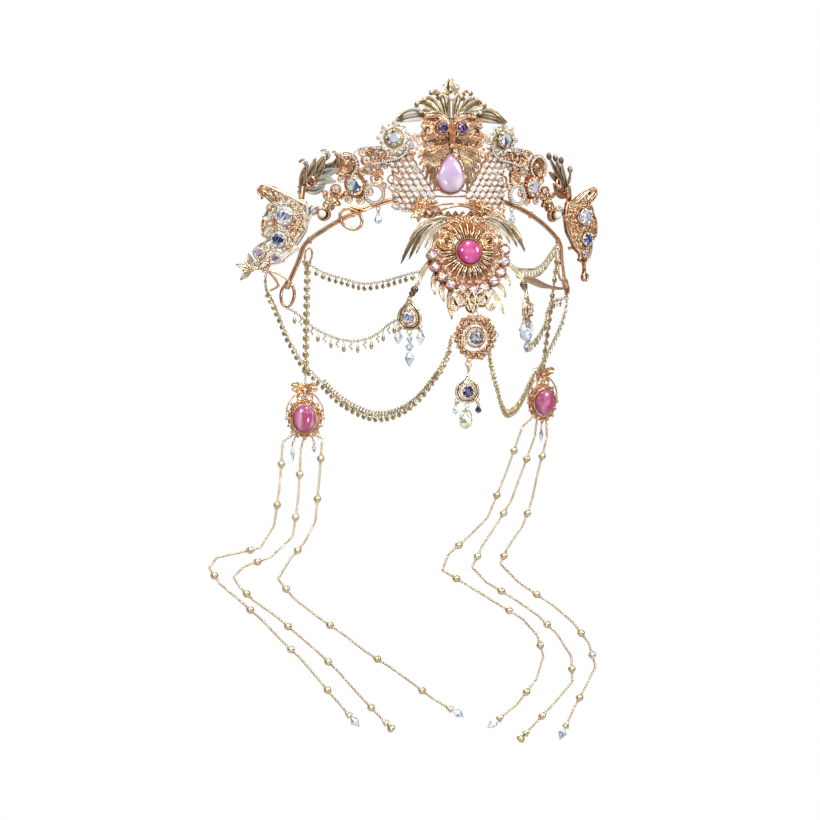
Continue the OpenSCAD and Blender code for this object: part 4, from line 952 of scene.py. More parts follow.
    def stone(self, stones: Piece, panel: Panel, x: float, y: float, width: float, z: float,
            length: float = 0.0, claws: int = 4, rise: float = 0.42, phase: float = 45.0,
            turn: float = 0.0) -> None:
        """Sets a cut stone in a cup with claws.

        Args:
            stones: piece that gets the stone.
            panel: the work plane.
            x: place across.
            y: place up.
            width: width of the stone.
            z: height of the cup's foot.
            length: length of the stone, or 0 for a round one.
            claws: number of claws.
            rise: height of the stone as a share of its width.
            phase: angle of the first claw.
            turn: turn of its length in degrees.
        """
        half_w, half_l, high = width / 2, (length or width) / 2, width * rise
        shape = self.kit.gem if width > 3.4 else self.kit.small_gem
        stones.put(shape, panel, x, y, z + 0.15, (half_w, half_l, high), turn)
        self.put(self.kit.cup, panel, x, y, z, (half_w + 0.34, half_l + 0.34, high * 0.66), turn)
        size = max(0.26, 0.075 * width)
        frame = Panel(panel.seat(x, y, z, turn))
        for angle in (math.radians(phase + 360 * i / claws) for i in range(claws)):
            foot = ((half_w + 0.12) * math.cos(angle), (half_l + 0.12) * math.sin(angle))
            self.put(self.kit.claw, frame, *foot, 0, (size, size, high + 0.1))
            self.put(self.kit.bead, frame, foot[0] * 0.86, foot[1] * 0.86, high * 0.94, size * 1.1)

    def lace(self, panel: Panel, spots: Points, wire: float = 0.38) -> None:
        """Fills places, each with its radius, with rings, scrolls and bead flowers in turn."""
        for i, (x, y, radius) in enumerate(spots):
            if i % 3 == 0:
                self.ring(panel, x, y, radius * 0.84)
                self.cluster(panel, x, y, radius * 0.5, 0.8, 5)
            elif i % 3 == 1:
                self.scroll(panel, x, y, radius, 70 * i, 1 if i % 2 else -1, wire)
            else:
                self.cluster(panel, x, y, radius * 0.92, 0.7, 7)
                self.ring(panel, x, y, radius * 0.66, 0.5)

    def fill(self, light: Piece, panel: Panel, outline: Points, pitch: float, z: float = 0.6,
            clear: Points = ()) -> None:
        """Covers a place with rings, scrolls and bead flowers in honeycomb order.

        Args:
            light: piece that gets the beads.
            panel: the work plane.
            outline: corners of the place.
            pitch: distance between two ornaments.
            z: height above the panel.
            clear: centre and radius of the rounds that stay free.
        """
        low_x, low_y = (min(p[k] for p in outline) for k in (0, 1))
        high_x, high_y = (max(p[k] for p in outline) for k in (0, 1))
        for row in range(int((high_y - low_y) / (0.87 * pitch)) + 1):
            y = low_y + 0.3 * pitch + 0.87 * pitch * row
            for column in range(int((high_x - low_x) / pitch) + 1):
                x = low_x + pitch * (column + 0.25 + 0.5 * (row % 2))
                if not inside(x, y, outline) or any(math.hypot(x - a, y - b) < r for a, b, r in clear):
                    continue
                kind = (3 * row + 2 * column + (row * column) % 3) % 4
                if kind == 0:
                    self.put(self.kit.ring, panel, x, y, z, (0.42 * pitch, 0.42 * pitch, 0.5 * pitch))
                    light.put(self.kit.bead, panel, x, y, z + 0.35, 0.24 * pitch)
                elif kind == 1:
                    light.cluster(panel, x, y, 0.5 * pitch, z + 0.3, 5)
                elif kind == 2:
                    hand = 1 if row % 2 else -1
                    self.scroll(panel, x, y, 0.46 * pitch, 50 * column, hand, 0.13 * pitch, z + 0.2, 1.2)
                else:
                    light.cluster(panel, x, y, 0.42 * pitch, z, 4)
                    self.put(self.kit.fine_ring, panel, x, y, z, (0.5 * pitch, 0.5 * pitch, 0.6 * pitch))

    def hang(self, stones: Piece, top: Vector, shape: Shape, width: float, length: float) -> None:
        """Hangs a glass drop from a jump ring.

        Args:
            stones: piece that gets the drop.
            top: upper end of the ring.
            shape: form of the drop, from -1 to 1.
            width: its width.
            length: its length.
        """
        below = Vector((0, 0, -1))
        self.add(self.kit.link, Matrix.Translation(top + 0.7 * below) @ spun(70, "Y") @ sized(0.62))
        middle = top + (1.5 + length / 2) * below
        stones.add(shape, put(middle, width / 2, width / 2, length / 2))
        self.add(self.kit.cone, put(top + 2.1 * below, width * 0.3, width * 0.3, 0.9))
        self.add(self.kit.bead, put(middle + (length / 2 + 0.1) * below, 0.34))

    def draw_wires(self) -> None:
        """Turns the gathered wires into mesh, one curve object for each number of sides."""
        for sides in sorted({w[2] for w in self.wires}):
            deselect_all()
            bpy.ops.curve.primitive_nurbs_path_add()
            curve = bpy.context.object.data
            curve.splines.clear()
            curve.bevel_depth = 1.0
            curve.bevel_resolution = sides // 2 - 2
            curve.use_fill_caps = True
            for line, radius, _, closed in (w for w in self.wires if w[2] == sides):
                spline = curve.splines.new("POLY")
                spline.points.add(len(line) - 1)
                spline.points.foreach_set("co", [c for p in line for c in (p.x, p.y, p.z, 1.0)])
                given = [radius] * 2 if isinstance(radius, (int, float)) else radius
                share = np.linspace(0, 1, len(line))
                spline.points.foreach_set("radius", np.interp(share, np.linspace(0, 1, len(given)),
                    given).tolist())
                spline.use_cyclic_u = closed
            bpy.ops.object.convert(target="MESH")
            self.add(read_mesh(), Matrix.Identity(4))
        self.wires.clear()

    def build(self, palette: Palette) -> None:
        """Makes the piece's mesh, dresses it and lets it ride on its body."""
        self.draw_wires()
        mesh = bpy.data.meshes.new(self.name)
        mesh.from_pydata((np.concatenate(self.points) * MM).tolist(), [], self.faces)
        mesh.polygons.foreach_set("use_smooth", [not f for f in self.flat])
        if isinstance(self.finish, CutStone):
            # painted sparkle: a random value for each facet picks a painted glint, the stone's colour or
            # painted shade
            chance = random.Random(len(self.faces))
            sparkle = mesh.attributes.new("sparkle", "FLOAT", "FACE")
            sparkle.data.foreach_set("value", [chance.random() for _ in self.faces])
        mesh.materials.append(palette.of(self.finish))
        mesh.update()
        item = bpy.data.objects.new(self.name, mesh)
        bpy.context.scene.collection.objects.link(item)
        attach(item, self.body)
        if self.replaces:
            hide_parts(*self.replaces)
        LOG.info("%s: %d faces", self.name, len(self.faces))


class Bench:
    def __init__(self) -> None:
        self.palette = Palette()
        self.kit = Kit()
        self.open_pieces: list[Piece] = []

    def open(self, name: str, finish: Finish, *replaces: str, body: str = "crown") -> Piece:
        """Starts a piece of one finish that stands for solids and rides on a body."""
        self.open_pieces.append(Piece(name, finish, self.kit, replaces, body))
        return self.open_pieces[-1]

    def close(self) -> None:
        """Builds all open pieces."""
        for piece in self.open_pieces:
            piece.build(self.palette)
        self.open_pieces.clear()


# ---------------------------------------------------------------- the crown's pieces


def inside(x: float, y: float, outline: Points) -> bool:
    """Tells whether a place lies inside a closed outline."""
    hit = False
    for a, b in zip(outline, [*outline[1:], outline[0]]):
        if (a[1] > y) != (b[1] > y) and x < (b[0] - a[0]) * (y - a[1]) / (b[1] - a[1]) + a[0]:
            hit = not hit
    return hit


def arc_point(phi: float) -> Triple:
    """Gives the point of the band's midline at an angle in degrees."""
    reach = HEAD_R + BAND_WIRE_R
    drop = reach * (1 - math.cos(math.radians(phi)))
    return (reach * math.sin(math.radians(phi)), drop * math.cos(TILT) - BAND_WIRE_R, -drop * math.sin(TILT))


@dataclass
class Band:
    """The two copper wires that lie on the head, with their loops and the leaf-shaped bar."""

    tail: Path = ((70.5, 27, -34), (73.2, 31.2, -42), (74.8, 33.4, -47))
    bar: Path = ((30.6, -28.6, -42), (34, -22, -42.6), (41, -12, -44), (50, 1, -46), (60, 15, -47.4),
        (69.6, 27, -48.4), (74.4, 33.2, -48))

    def route(self) -> list[Vector]:
        """Gives the band's midline from the viewer's left to the right."""
        half = [arc_point(phi) for phi in range(9, 55, 9)] + list(self.tail)
        return smooth_line([(-x, y, z) for x, y, z in half[::-1]] + [arc_point(0)] + half, 5)

    def beside(self, line: Sequence[Vector], distance: float) -> list[Vector]:
        """Gives the midline moved up or down along the head."""
        depth = HEAD_R * math.cos(TILT)
        moved = []
        for i, point in enumerate(line):
            along = line[min(i + 1, len(line) - 1)] - line[max(i - 1, 0)]
            out = Vector((point.x / HEAD_R**2, (point.y - depth) / depth**2, 0))
            moved.append(point + distance * out.cross(along).normalized())
        return moved

    def make(self, bench: Bench) -> None:
        """Builds the band."""
        metal = bench.open("band_wires", COPPER, "band_frame")
        light = bench.open("band_fittings", COPPER)
        middle = self.route()
        for piece, hand in ((metal, 1), (light, -1)):
            near = [max(0.0, 1 - (point.x / 12) ** 2) for point in middle]
            line = [a + Vector((0, 0, hand * 1.2 * n)) for a, n in zip(self.beside(middle, hand * 0.66), near)]
            piece.wire(line, [0.62 - 0.2 * n for n in near], STOUT)
        # painted shade: a dark bronze wire in the groove between the two band wires
        shade = bench.open("band_groove_shade", BRONZE_AND_SHADE)
        for side in SIDES:
            shade.wire([q + Vector((0, 0.1, 0)) for q in middle[12:-12] if q.x * side > 14], 0.42)
        for phi in (-52, -34, -17, 17, 34, 52):
            x, y, z = arc_point(phi)
            for shift in (-0.8, 0.0, 0.8):
                seat = Matrix.Translation((x + shift, y + abs(x) * 0.004, z)) @ spun(90, "Y")
                metal.add(bench.kit.ring, seat @ sized(1.5, 0.95, 1.2))
        for side in SIDES:
            metal.wire(oval_line(facing((66.4, 22.5, -31), 40, 0, 10).sided(side), 4, 7, 60), 0.55, STOUT)
            root = ROOT.sided(side)
            metal.wire(root.line([(74, 32.6, -43.6), (74.6, 33.3, -45.8), (75.1, 33.9, -48)]), (1.5, 1.9, 1.3),
                STOUT)
        for shift in (-0.9, 0.9):
            loop = facing((74.5, 34.5 - shift, -51.2), 38, 0, 8).sided(-1)
            light.wire(oval_line(loop, 7.4, 12, 90, 350), 0.66, STOUT)
        loop = facing((48, 8.3, -13), 27, 0, 35).sided(-1)
        metal.wire(loop.line(round_line(0, 0, 6, 30, 0.78)), 0.85, STOUT, True)
        metal.wire(loop.line([(5.6, 2, 0.2), (3, 5.4, 0.6), (-4, 7.6, 0.4)]), (0.8, 0.7, 0.5), STOUT)
        metal.wire(oval_line(facing((70.4, 28.6, -39.6), 38, 0, 14), 4.6, 9.4, 60), 0.6, STOUT)
        metal.wire(smooth_line(self.bar, 6), (0.6, 0.9, 1.6, 2.0, 1.9, 1.4, 0.9, 0.8, 0.7, 0.7), STOUT)
        flag = facing((75.6, 34.4, -49.5), 38, 0, 8)
        metal.blade(bench.kit.blade, flag, [(0.2, 3.8), (0.2, 0), (-0.2, -3.8)], 2.2)
        metal.beads(bench.kit.bead, flag.curve([(-2, 3.4), (-1.6, 0), (-1.4, -3)], steps=3), 0.9, 0.4)


@dataclass
class Palmette:
    """The palmette of curled flutes that crowns the front."""

    flutes: tuple[tuple[float, Path], ...] = ((1.1, ((1.7, 0.2), (2.4, 4.4), (3.6, 8.2), (4.9, 10.4))),
        (1.6, ((2.8, 0.2), (4, 5), (6.1, 9.4), (9.2, 12.4))),
        (1.3, ((4, 0.2), (6.4, 4.4), (9.2, 7.4), (12.8, 8.8))),
        (1.4, ((5.2, 0.1), (8.8, 3.4), (12.4, 5.6), (16.6, 6.6))),
        (1.1, ((6.4, -0.8), (9.6, 1.2), (12.4, 2.2), (14.8, 2.4))))
    side_leaf: Path = ((13.6, -0.2), (17.2, 0.7), (21.4, 0.2), (25, -1.2), (28.3, -2.9))
    height: float = 38.0
    pearl_y: float = 9.3

    def make(self, bench: Bench) -> None:
        """Builds the palmette, its pearl and its column of small stones."""
        kit = bench.kit
        metal = bench.open("palmette_leaves", PALE_GOLD, "top_palmette")
        silver = bench.open("palmette_left_leaf", SILVERY)
        dark = bench.open("palmette_tips_and_groove_shade", BRONZE_AND_SHADE)
        pearl = bench.open("palmette_pearl", PEARL)
        for side in SIDES:
            panel = on_front(0, self.height).sided(side)
            for width, path in self.flutes:
                metal.blade(kit.flute, panel, path, width, 0.8, 1.1, 0.5)
                edge = smooth_line(path, 5)
                for shift in (-0.75, 0.75):
                    rim = [Vector((p.x + shift * width * (0.35 + 0.65 * i / len(edge)), p.y, 1.0))
                        for i, p in enumerate(edge)]
                    metal.wire(panel.line(rim, 0.1), 0.22, THIN)
                tip = path[-1]
                metal.put(kit.bead, panel, tip[0] + 0.3, tip[1] - 0.3, 1.6, (1.05, 0.9, 0.9))
                dark.scroll(panel, tip[0] + 0.9, tip[1] - 1.3, 1.25, 80, -1, 0.34, 1.5, 1.2)
                metal.put(kit.round, panel, tip[0] + 0.5, tip[1] - 0.6, 1.4, (1.5, 1.1, 1.1), -40)
                # painted shade: a dark wire beside and below each flute's edge
                dark.wire(panel.line([(q.x * 0.985 + 0.2, q.y - 0.3, 0.7) for q in edge]), (0.5, 0.4, 0.3),
                    THIN)
            leaf = silver if side < 0 else metal
            leaf.blade(kit.petal, panel, self.side_leaf, 3.6, 0.7, 0.6, 0.5)
            dark.blade(kit.blade, panel, [(24.4, -0.6, 1.6), (27, -2.4, 2.0), (29, -2.9, 2.4)], 1.6, 1.0, 0.6)
            for bend in (-1.5, 0.2, 1.9):
                vein = [(p[0], p[1] + bend * math.sin(0.78 * (i + 0.2)), 1.5)
                    for i, p in enumerate(self.side_leaf)]
                dark.wire(panel.curve(vein, steps=4), (0.24, 0.2, 0.16), THIN)
            metal.wire(panel.curve([(1.4, -1.2, 1.2), (5, 1.4, 1.4), (9.6, 1.8, 1.2), (14.6, -0.4, 1)]), 0.45)
            metal.wire(panel.curve([(2, -2.2, 1.2), (5.4, 0.2, 1.4), (9.6, 0.4, 1.2), (13.6, -1.6, 1)]), 0.36)
            metal.bead_ring(panel, 0, self.pearl_y, 2.1, 0.3, 1.5, -60, 120)
            metal.blade(kit.petal, panel, [(0.4, 10.9, 1), (2.4, 12.4, 1.4), (3.9, 14, 1.4), (3.2, 15.6, 1)],
                1.0, 1.2)
            metal.blade(kit.petal, panel, [(0.4, 10.2, 1), (2.4, 10.8, 1.2), (3.9, 11.4, 1), (4.2, 10.6, 1)],
                0.6, 1.2)
        panel = on_front(0, self.height)
        metal.blade(kit.petal, panel, [(0, 10.8, 0.6), (0, 14, 1), (0, 18.9, 0.6)], 2.7, 1.0)
        metal.blade(kit.petal, panel, [(0, 12, 1.6), (0, 14.6, 2), (0, 18, 1.2)], 1.1, 1.6)
        metal.wire(panel.line([(0, 0, 0.4), (0, 5, 0.4), (0, 9, 0.4)]), (1.2, 1.9, 1.8, 1.2), STOUT)
        for i in range(9):
            size = 0.55 + 0.05 * i
            pearl.put(kit.bead, panel, 0, -0.8 + 0.98 * i, 2.2, size)
            for side in SIDES:
                metal.put(kit.grain, panel, side * (size + 0.35), -0.8 + 0.98 * i, 1.9, 0.34)
        pearl.put(kit.round, panel, 0, self.pearl_y, 2.6, 1.9)


@dataclass
class Mask:
    """The copper filigree below the palmette, with two violet stones and a ring for the teardrop."""

    middle: float = 0.6
    height: float = 28.5
    eye: Pair = (5.1, 3.5)
    eye_d: float = 5.6
    plumes: tuple[tuple[float, Path], ...] = ((1.2, ((1.2, 4.4), (4, 8), (8, 9.4), (11.4, 8.2))),
        (1.3, ((9.4, 1), (11, 4.6), (13.4, 5.4), (15.4, 3.4))),
        (1.2, ((9, 0), (11.6, -1.6), (14, -1.6), (15.2, 0.4))),
        (1.3, ((1.2, -4.6), (4.6, -6), (8.6, -6.4), (12, -5))),
        (1.1, ((1, -6.6), (3.4, -8.6), (6.6, -9.6), (9.6, -9))))
    outline: Path = ((0, 8.8), (6, 9.6), (13.2, 8.4), (14.4, 2), (14.6, -3.4), (12.2, -8), (7.6, -10.4),
        (2.4, -9.6), (0, -8))

    def make(self, bench: Bench) -> None:
        """Builds the mask and its stones."""
        kit = bench.kit
        metal = bench.open("mask_filigree", COPPER)
        light = bench.open("mask_granules", BRASS)
        deep = bench.open("mask_ridge", BACKING)
        stones = bench.open("mask_stones", VIOLET, "brow_stones")
        x, y = self.eye
        for side in SIDES:
            panel = on_front(self.middle, self.height).handed(side)
            metal.fill(light, panel, self.outline, 2.3, 0.5, ((x, y, 4.6), (0, 0, 1.6), (0, 4, 1.6),
                (0, -4, 1.6)))
            for width, path in self.plumes:
                metal.blade(kit.toothed, panel, path, width, 0.9, 0.8, 1.3)
                edge = smooth_line(lifted(path, 0, 0.9, 1.5), 5)
                light.beads(kit.grain, panel.line(edge), 0.85, 0.32)
            for radius, z, piece in ((3.9, 1.0, metal), (3.2, 1.9, deep), (4.6, 0.6, metal)):
                piece.put(kit.fine_ring, panel, x, y, z, (radius, radius, 5))
            light.bead_ring(panel, x, y, 4.3, 0.42, 1.4)
            metal.stone(stones, panel, x, y, self.eye_d, 1.6, 0, 4, 0.42, 40)
            rim = panel.curve([(13.4, 8.6, 1), (14.6, 2.4, 1), (14.4, -3.6, 1), (11.6, -8.4, 1),
                (7.4, -10.2, 1)])
            metal.wire(rim, 0.5)
            light.beads(kit.grain, [q + Vector((0, -0.7, 0)) for q in rim], 1.0, 0.38)
            for i, (px, py) in enumerate(((13.6, 8.4), (15.2, 4.6), (15.4, 0.2), (14.8, -4.4), (12.4, -8.2),
                    (8.4, -10.4), (4, -10.6))):
                metal.scroll(panel, px, py, 1.5, 60 * i, 1 if i % 2 else -1, 0.4, 0.9, 1.2)
                light.cluster(panel, px - 0.8, py - 1.4, 1.0, 0.9, 5)
            for px in (1.6, 4.8, 8, 11):
                light.cluster(panel, px, 9.6 - 0.05 * px, 1.1, 1.0, 5)
                metal.put(kit.ring, panel, px + 1.5, 9.9, 1.0, (1.1, 1.1, 1.4))
            for shift in (0.0, 1.5):
                line = smooth_line([(0.7 + shift, -1, 2), (1.5 + shift, 1.4, 2.4), (1.1 + shift * 0.6, 5, 1.8)],
                    4)
                (light if shift else deep).wire(panel.line(line), (0.3, 0.5, 0.3))
        panel = on_front(self.middle, self.height)
        deep.blade(kit.blade, panel, [(0, 6.4, 1.2), (0, 1, 1.9), (0, -4, 2.1), (0, -8.6, 1)], 1.5, 1.4)
        light.beads(kit.bead, panel.line([(0, 7.2, 1.6), (0, 4, 2.3)]), 0.9, 0.34)
        light.cluster(panel, 0, -5.4, 1.5, 2.2)
        silver = bench.open("mask_grains", SILVERY)
        for side in SIDES:
            for k in range(14):
                turn = 0.45 * k
                spot = (side * (x + 5.2 * math.cos(turn)), y + 5.0 * math.sin(turn), 1.8 - 0.05 * k)
                silver.put(kit.grain, panel, *spot, 0.4 + 0.1 * (k % 2))
        metal.put(kit.ring, panel, 0, -8.6, 1.4, (1.2, 1.6, 1.2))


@dataclass
class CopperLeaves:
    """The fans of acanthus leaves beside the teardrop."""

    root: Pair = (6.4, 22.0)
    tips: Path = ((18.4, 17.6), (18, 14), (16.6, 10.4), (14.8, 7), (12.6, 4), (10.4, 1.4), (8.6, 5))

    def make(self, bench: Bench) -> None:
        """Builds both fans, the left one of solid copper and the right one paler and more open."""
        kit = bench.kit
        metal = bench.open("acanthus_leaves", COPPER, "copper_leaves")
        deep = bench.open("acanthus_shade", BACKING)
        pale = bench.open("acanthus_veins", BRASS)
        for side in SIDES:
            panel = on_front(0, 0, FRONT_OUT - 0.6).sided(side).moved(-1.9, 0, 0)
            for i, (x, y) in enumerate(self.tips):
                bow = 2.4 + 0.3 * i
                path = [(self.root[0] + 0.2 * i, self.root[1] - 0.7 * i, 0.4),
                    (0.5 * (self.root[0] + x) + bow * 0.5, 0.5 * (self.root[1] + y) + 0.9 - 0.2 * i, 0.9),
                    (x, y, 0.3)]
                leaf = (metal, deep)[i % 2] if side < 0 else (pale, metal)[i % 2]
                leaf.blade(kit.toothed, panel, path, 1.75, 0.8, 0.6)
                for shift in (-0.6, 0.0, 0.6):
                    rib = lifted(path, shift, 0.4 * shift, 0.8)
                    pale.wire(panel.curve(rib), (0.3, 0.26, 0.2, 0.1), THIN)
                (pale if side > 0 else metal).cluster(panel, x, y, 0.9, 0.7, 5)
            metal.scroll(panel, 8.6, 21.6, 1.8, 200, 1, 0.45, 1.4)
            pale.cluster(panel, 11.6, 22.4, 1.3, 1.2)
            for x, y, radius in ((17.6, 20, 1.5), (14.2, 21.4, 1.3), (9, 7.6, 1.1), (11, 16.6, 0.9)):
                pale.scroll(panel, x, y, radius, 40 * x, side, 0.32, 1.1)


@dataclass
class Teardrop:
    """The lilac teardrop cabochon in its thin rim."""

    centre_z: float = 6.7

    def outline(self, grow: float = 0.0) -> list[Vector]:
        """Draws the teardrop's outline, grown by a margin."""
        half = [(0, -6.9), (3.9, -5.8), (6.6, -2.6), (7.1, 0.6), (6.5, 4), (4.9, 7.3), (2.7, 10.1), (0.8, 11.8)]
        scale = 1 + grow / 6.5
        right = smooth_line([(x * scale, y * scale) for x, y in half], 3)
        return right + [Vector((-q.x, q.y, 0)) for q in right[:0:-1]]

    def dome(self) -> Shape:
        """Models the stone by insetting and lifting its outline."""
        deselect_all()
        bpy.ops.mesh.primitive_circle_add(vertices=len(self.outline()), radius=1, fill_type="NGON")
        for vertex, spot in zip(bpy.context.object.data.vertices, self.outline()):
            vertex.co = spot
        steps = (1, 0), (1.0, 0.9), (0.97, 1.7), (0.9, 2.5), (0.78, 3.1), (0.6, 3.6), (0.38, 3.9), (0.14, 4.0)
        return raised(steps, middle=0.6)

    def make(self, bench: Bench) -> None:
        """Builds the rim and the stone."""
        panel = on_front(0, self.centre_z)
        metal = bench.open("teardrop_rim", COPPER, "teardrop_bezel")
        stone = bench.open("teardrop_cabochon", LILAC, "teardrop_stone")
        stone.add(self.dome(), on_front(0, self.centre_z, FACE_OUT + 0.1).base)
        for grow, z, wire in ((0.3, -0.2, 0.5), (0.4, 0.6, 0.4), (0.3, 1.2, 0.26)):
            metal.wire(panel.line(self.outline(grow), z), wire, closed=True)
        metal.rope(panel.line(self.outline(0.7), 0.1), 0.34, 1.5, True)
        for x, y in ((-6.3, 2.4), (6.3, 2.4), (-4.6, -4.6), (4.6, -4.6)):
            metal.put(bench.kit.claw, panel, x, y, 0, (0.45, 0.45, 1.9))


@dataclass
class StarMount:
    """The two star flowers on the crown's shoulders, with the lace that ties them to the mask."""

    place: Pair = (27.5, 26.8)
    stone_d: float = 8.0
    lace: Path = ((-12.8, 2), (-9.6, 3.4), (-6.6, 0.4), (-5.6, -4), (-1, -6.6), (3.6, -6.6), (6, -3.6),
        (9.6, -4), (14, -8.4), (9.8, -12.4), (3, -12), (-4, -11), (-9.4, -11.4), (-12, -6), (-13.4, -1.6))

    def make(self, bench: Bench) -> None:
        """Builds both stars."""
        kit = bench.kit
        pale = bench.open("star_petals", SILVERY, "star_mount_left", "star_mount_right")
        dark = bench.open("star_claws", PALE_GOLD)
        metal = bench.open("star_lace", COPPER)
        light = bench.open("star_granules", BRASS)
        beads = bench.open("star_seed_beads", PEARL)
        stones = bench.open("star_rhinestones", CLEAR, "star_stones")
        for side in SIDES:
            panel = on_front(*self.place, FRONT_OUT).sided(side)
            for i in range(8):
                turn = math.radians(45 * i + 90)
                pale.put(kit.petal, panel, 0, 0, 0.1, (3.1, 7.9, 1.4), 45 * i)
                pale.put(kit.petal, panel, 0, 0, -0.5, (2.2, 6.9, 1.0), 45 * i + 22.5)
                spine = [polar(r, turn) for r in (4.4, 6, 7.2)]
                dark.wire(panel.line(spine, 0.9), (0.3, 0.24, 0.12), THIN)
                pale.put(kit.bead, panel, *polar(7.6, turn), 0.6, 0.55)
            dark.bead_ring(panel, 0, 0, 4.9, 0.44, 0.9)
            dark.stone(stones, panel, 0, 0, self.stone_d, 0.9, 0, 8, 0.4, 0)
            metal.fill(light, panel, self.lace, 2.5, -0.4, ((0, 0, 6.2), (-8.6, -4, 2.2), (8.4, -6.4, 2)))
            arc = smooth_line([(-7, -3.4, 1), (-6, -7.4, 1), (-1.6, -10.2, 1), (4, -11.4, 1), (10, -12.8, 1),
                (14, -9.4, 1)], 5)
            metal.wire(panel.line(arc, -0.3), 0.45)
            beads.beads(kit.bead, panel.line(arc, 0.2), 1.2, 0.55)
            metal.stone(stones, panel, -8.6, -4, 3.0, 0.4)
            metal.stone(stones, panel, 8.4, -6.4, 2.6, 0.4)


@dataclass
class StoneNet:
    """The slanting rows of clear navettes on both sides of the teardrop."""

    place: Pair = (18.5, 6.0)
    outline: Path = ((-8.6, -14.4), (-9.4, -6), (-6.4, -0.6), (-2.4, 7), (1.2, 14.8), (9, 15), (10.4, 8),
        (10.2, 1), (10.8, -5), (9, -14.2))
    pitch: Pair = (3.5, 3.0)
    stone: Pair = (1.3, 2.05)
    turn: float = -52.0

    def make(self, bench: Bench) -> None:
        """Builds both nets."""
        kit = bench.kit
        metal = bench.open("net_claws", COPPER)
        light = bench.open("net_granules", BRASS)
        stones = bench.open("net_navettes", WHITE, "net_stones_left", "net_stones_right")
        beads = bench.open("net_seed_beads", PEARL)
        for side in SIDES:
            panel = on_front(*self.place).sided(side)
            for row in range(10):
                for column in range(6):
                    x, y = -9 + self.pitch[0] * (column + 0.5 * (row % 2)), -13 + self.pitch[1] * row
                    if not inside(x, y, self.outline):
                        continue
                    big = 1.12 - 0.02 * (x + 9)
                    half_w, half_l = self.stone[0] * big, self.stone[1] * big
                    stones.put(kit.gem, panel, x, y, 0.5, (half_w, half_l, 1.5), self.turn)
                    metal.put(kit.ring, panel, x, y, 0.7, (half_w + 0.25, half_l + 0.25, 1.8), self.turn)
                    light.put(kit.grain, panel, x + 1.75, y + 0.1, 1.2, 0.62)
                    light.put(kit.grain, panel, x - 0.2, y + 1.55, 1.1, 0.42)
            for line in (((-7.8, -13.6), (-8.6, -6), (-5.6, -1.2), (-1.6, 6.4), (2, 13.8), (8.4, 14)),
                    ((8.4, 14), (9.4, 8), (9.4, 1), (10, -5), (8, -13.4), (0, -14), (-7.8, -13.6))):
                edge = panel.curve(line, 0.6, steps=4)
                metal.wire(edge, 0.45)
                light.beads(kit.grain, [p + Vector((0, -0.7, 0)) for p in edge], 1.05, 0.42)
            row = smooth_line([(-7, -14.6, 1), (-1, -15.2, 1), (5, -14.8, 1), (9, -12, 1)], 5)
            beads.beads(kit.bead, panel.line(row, -0.2), 1.7, 0.8)


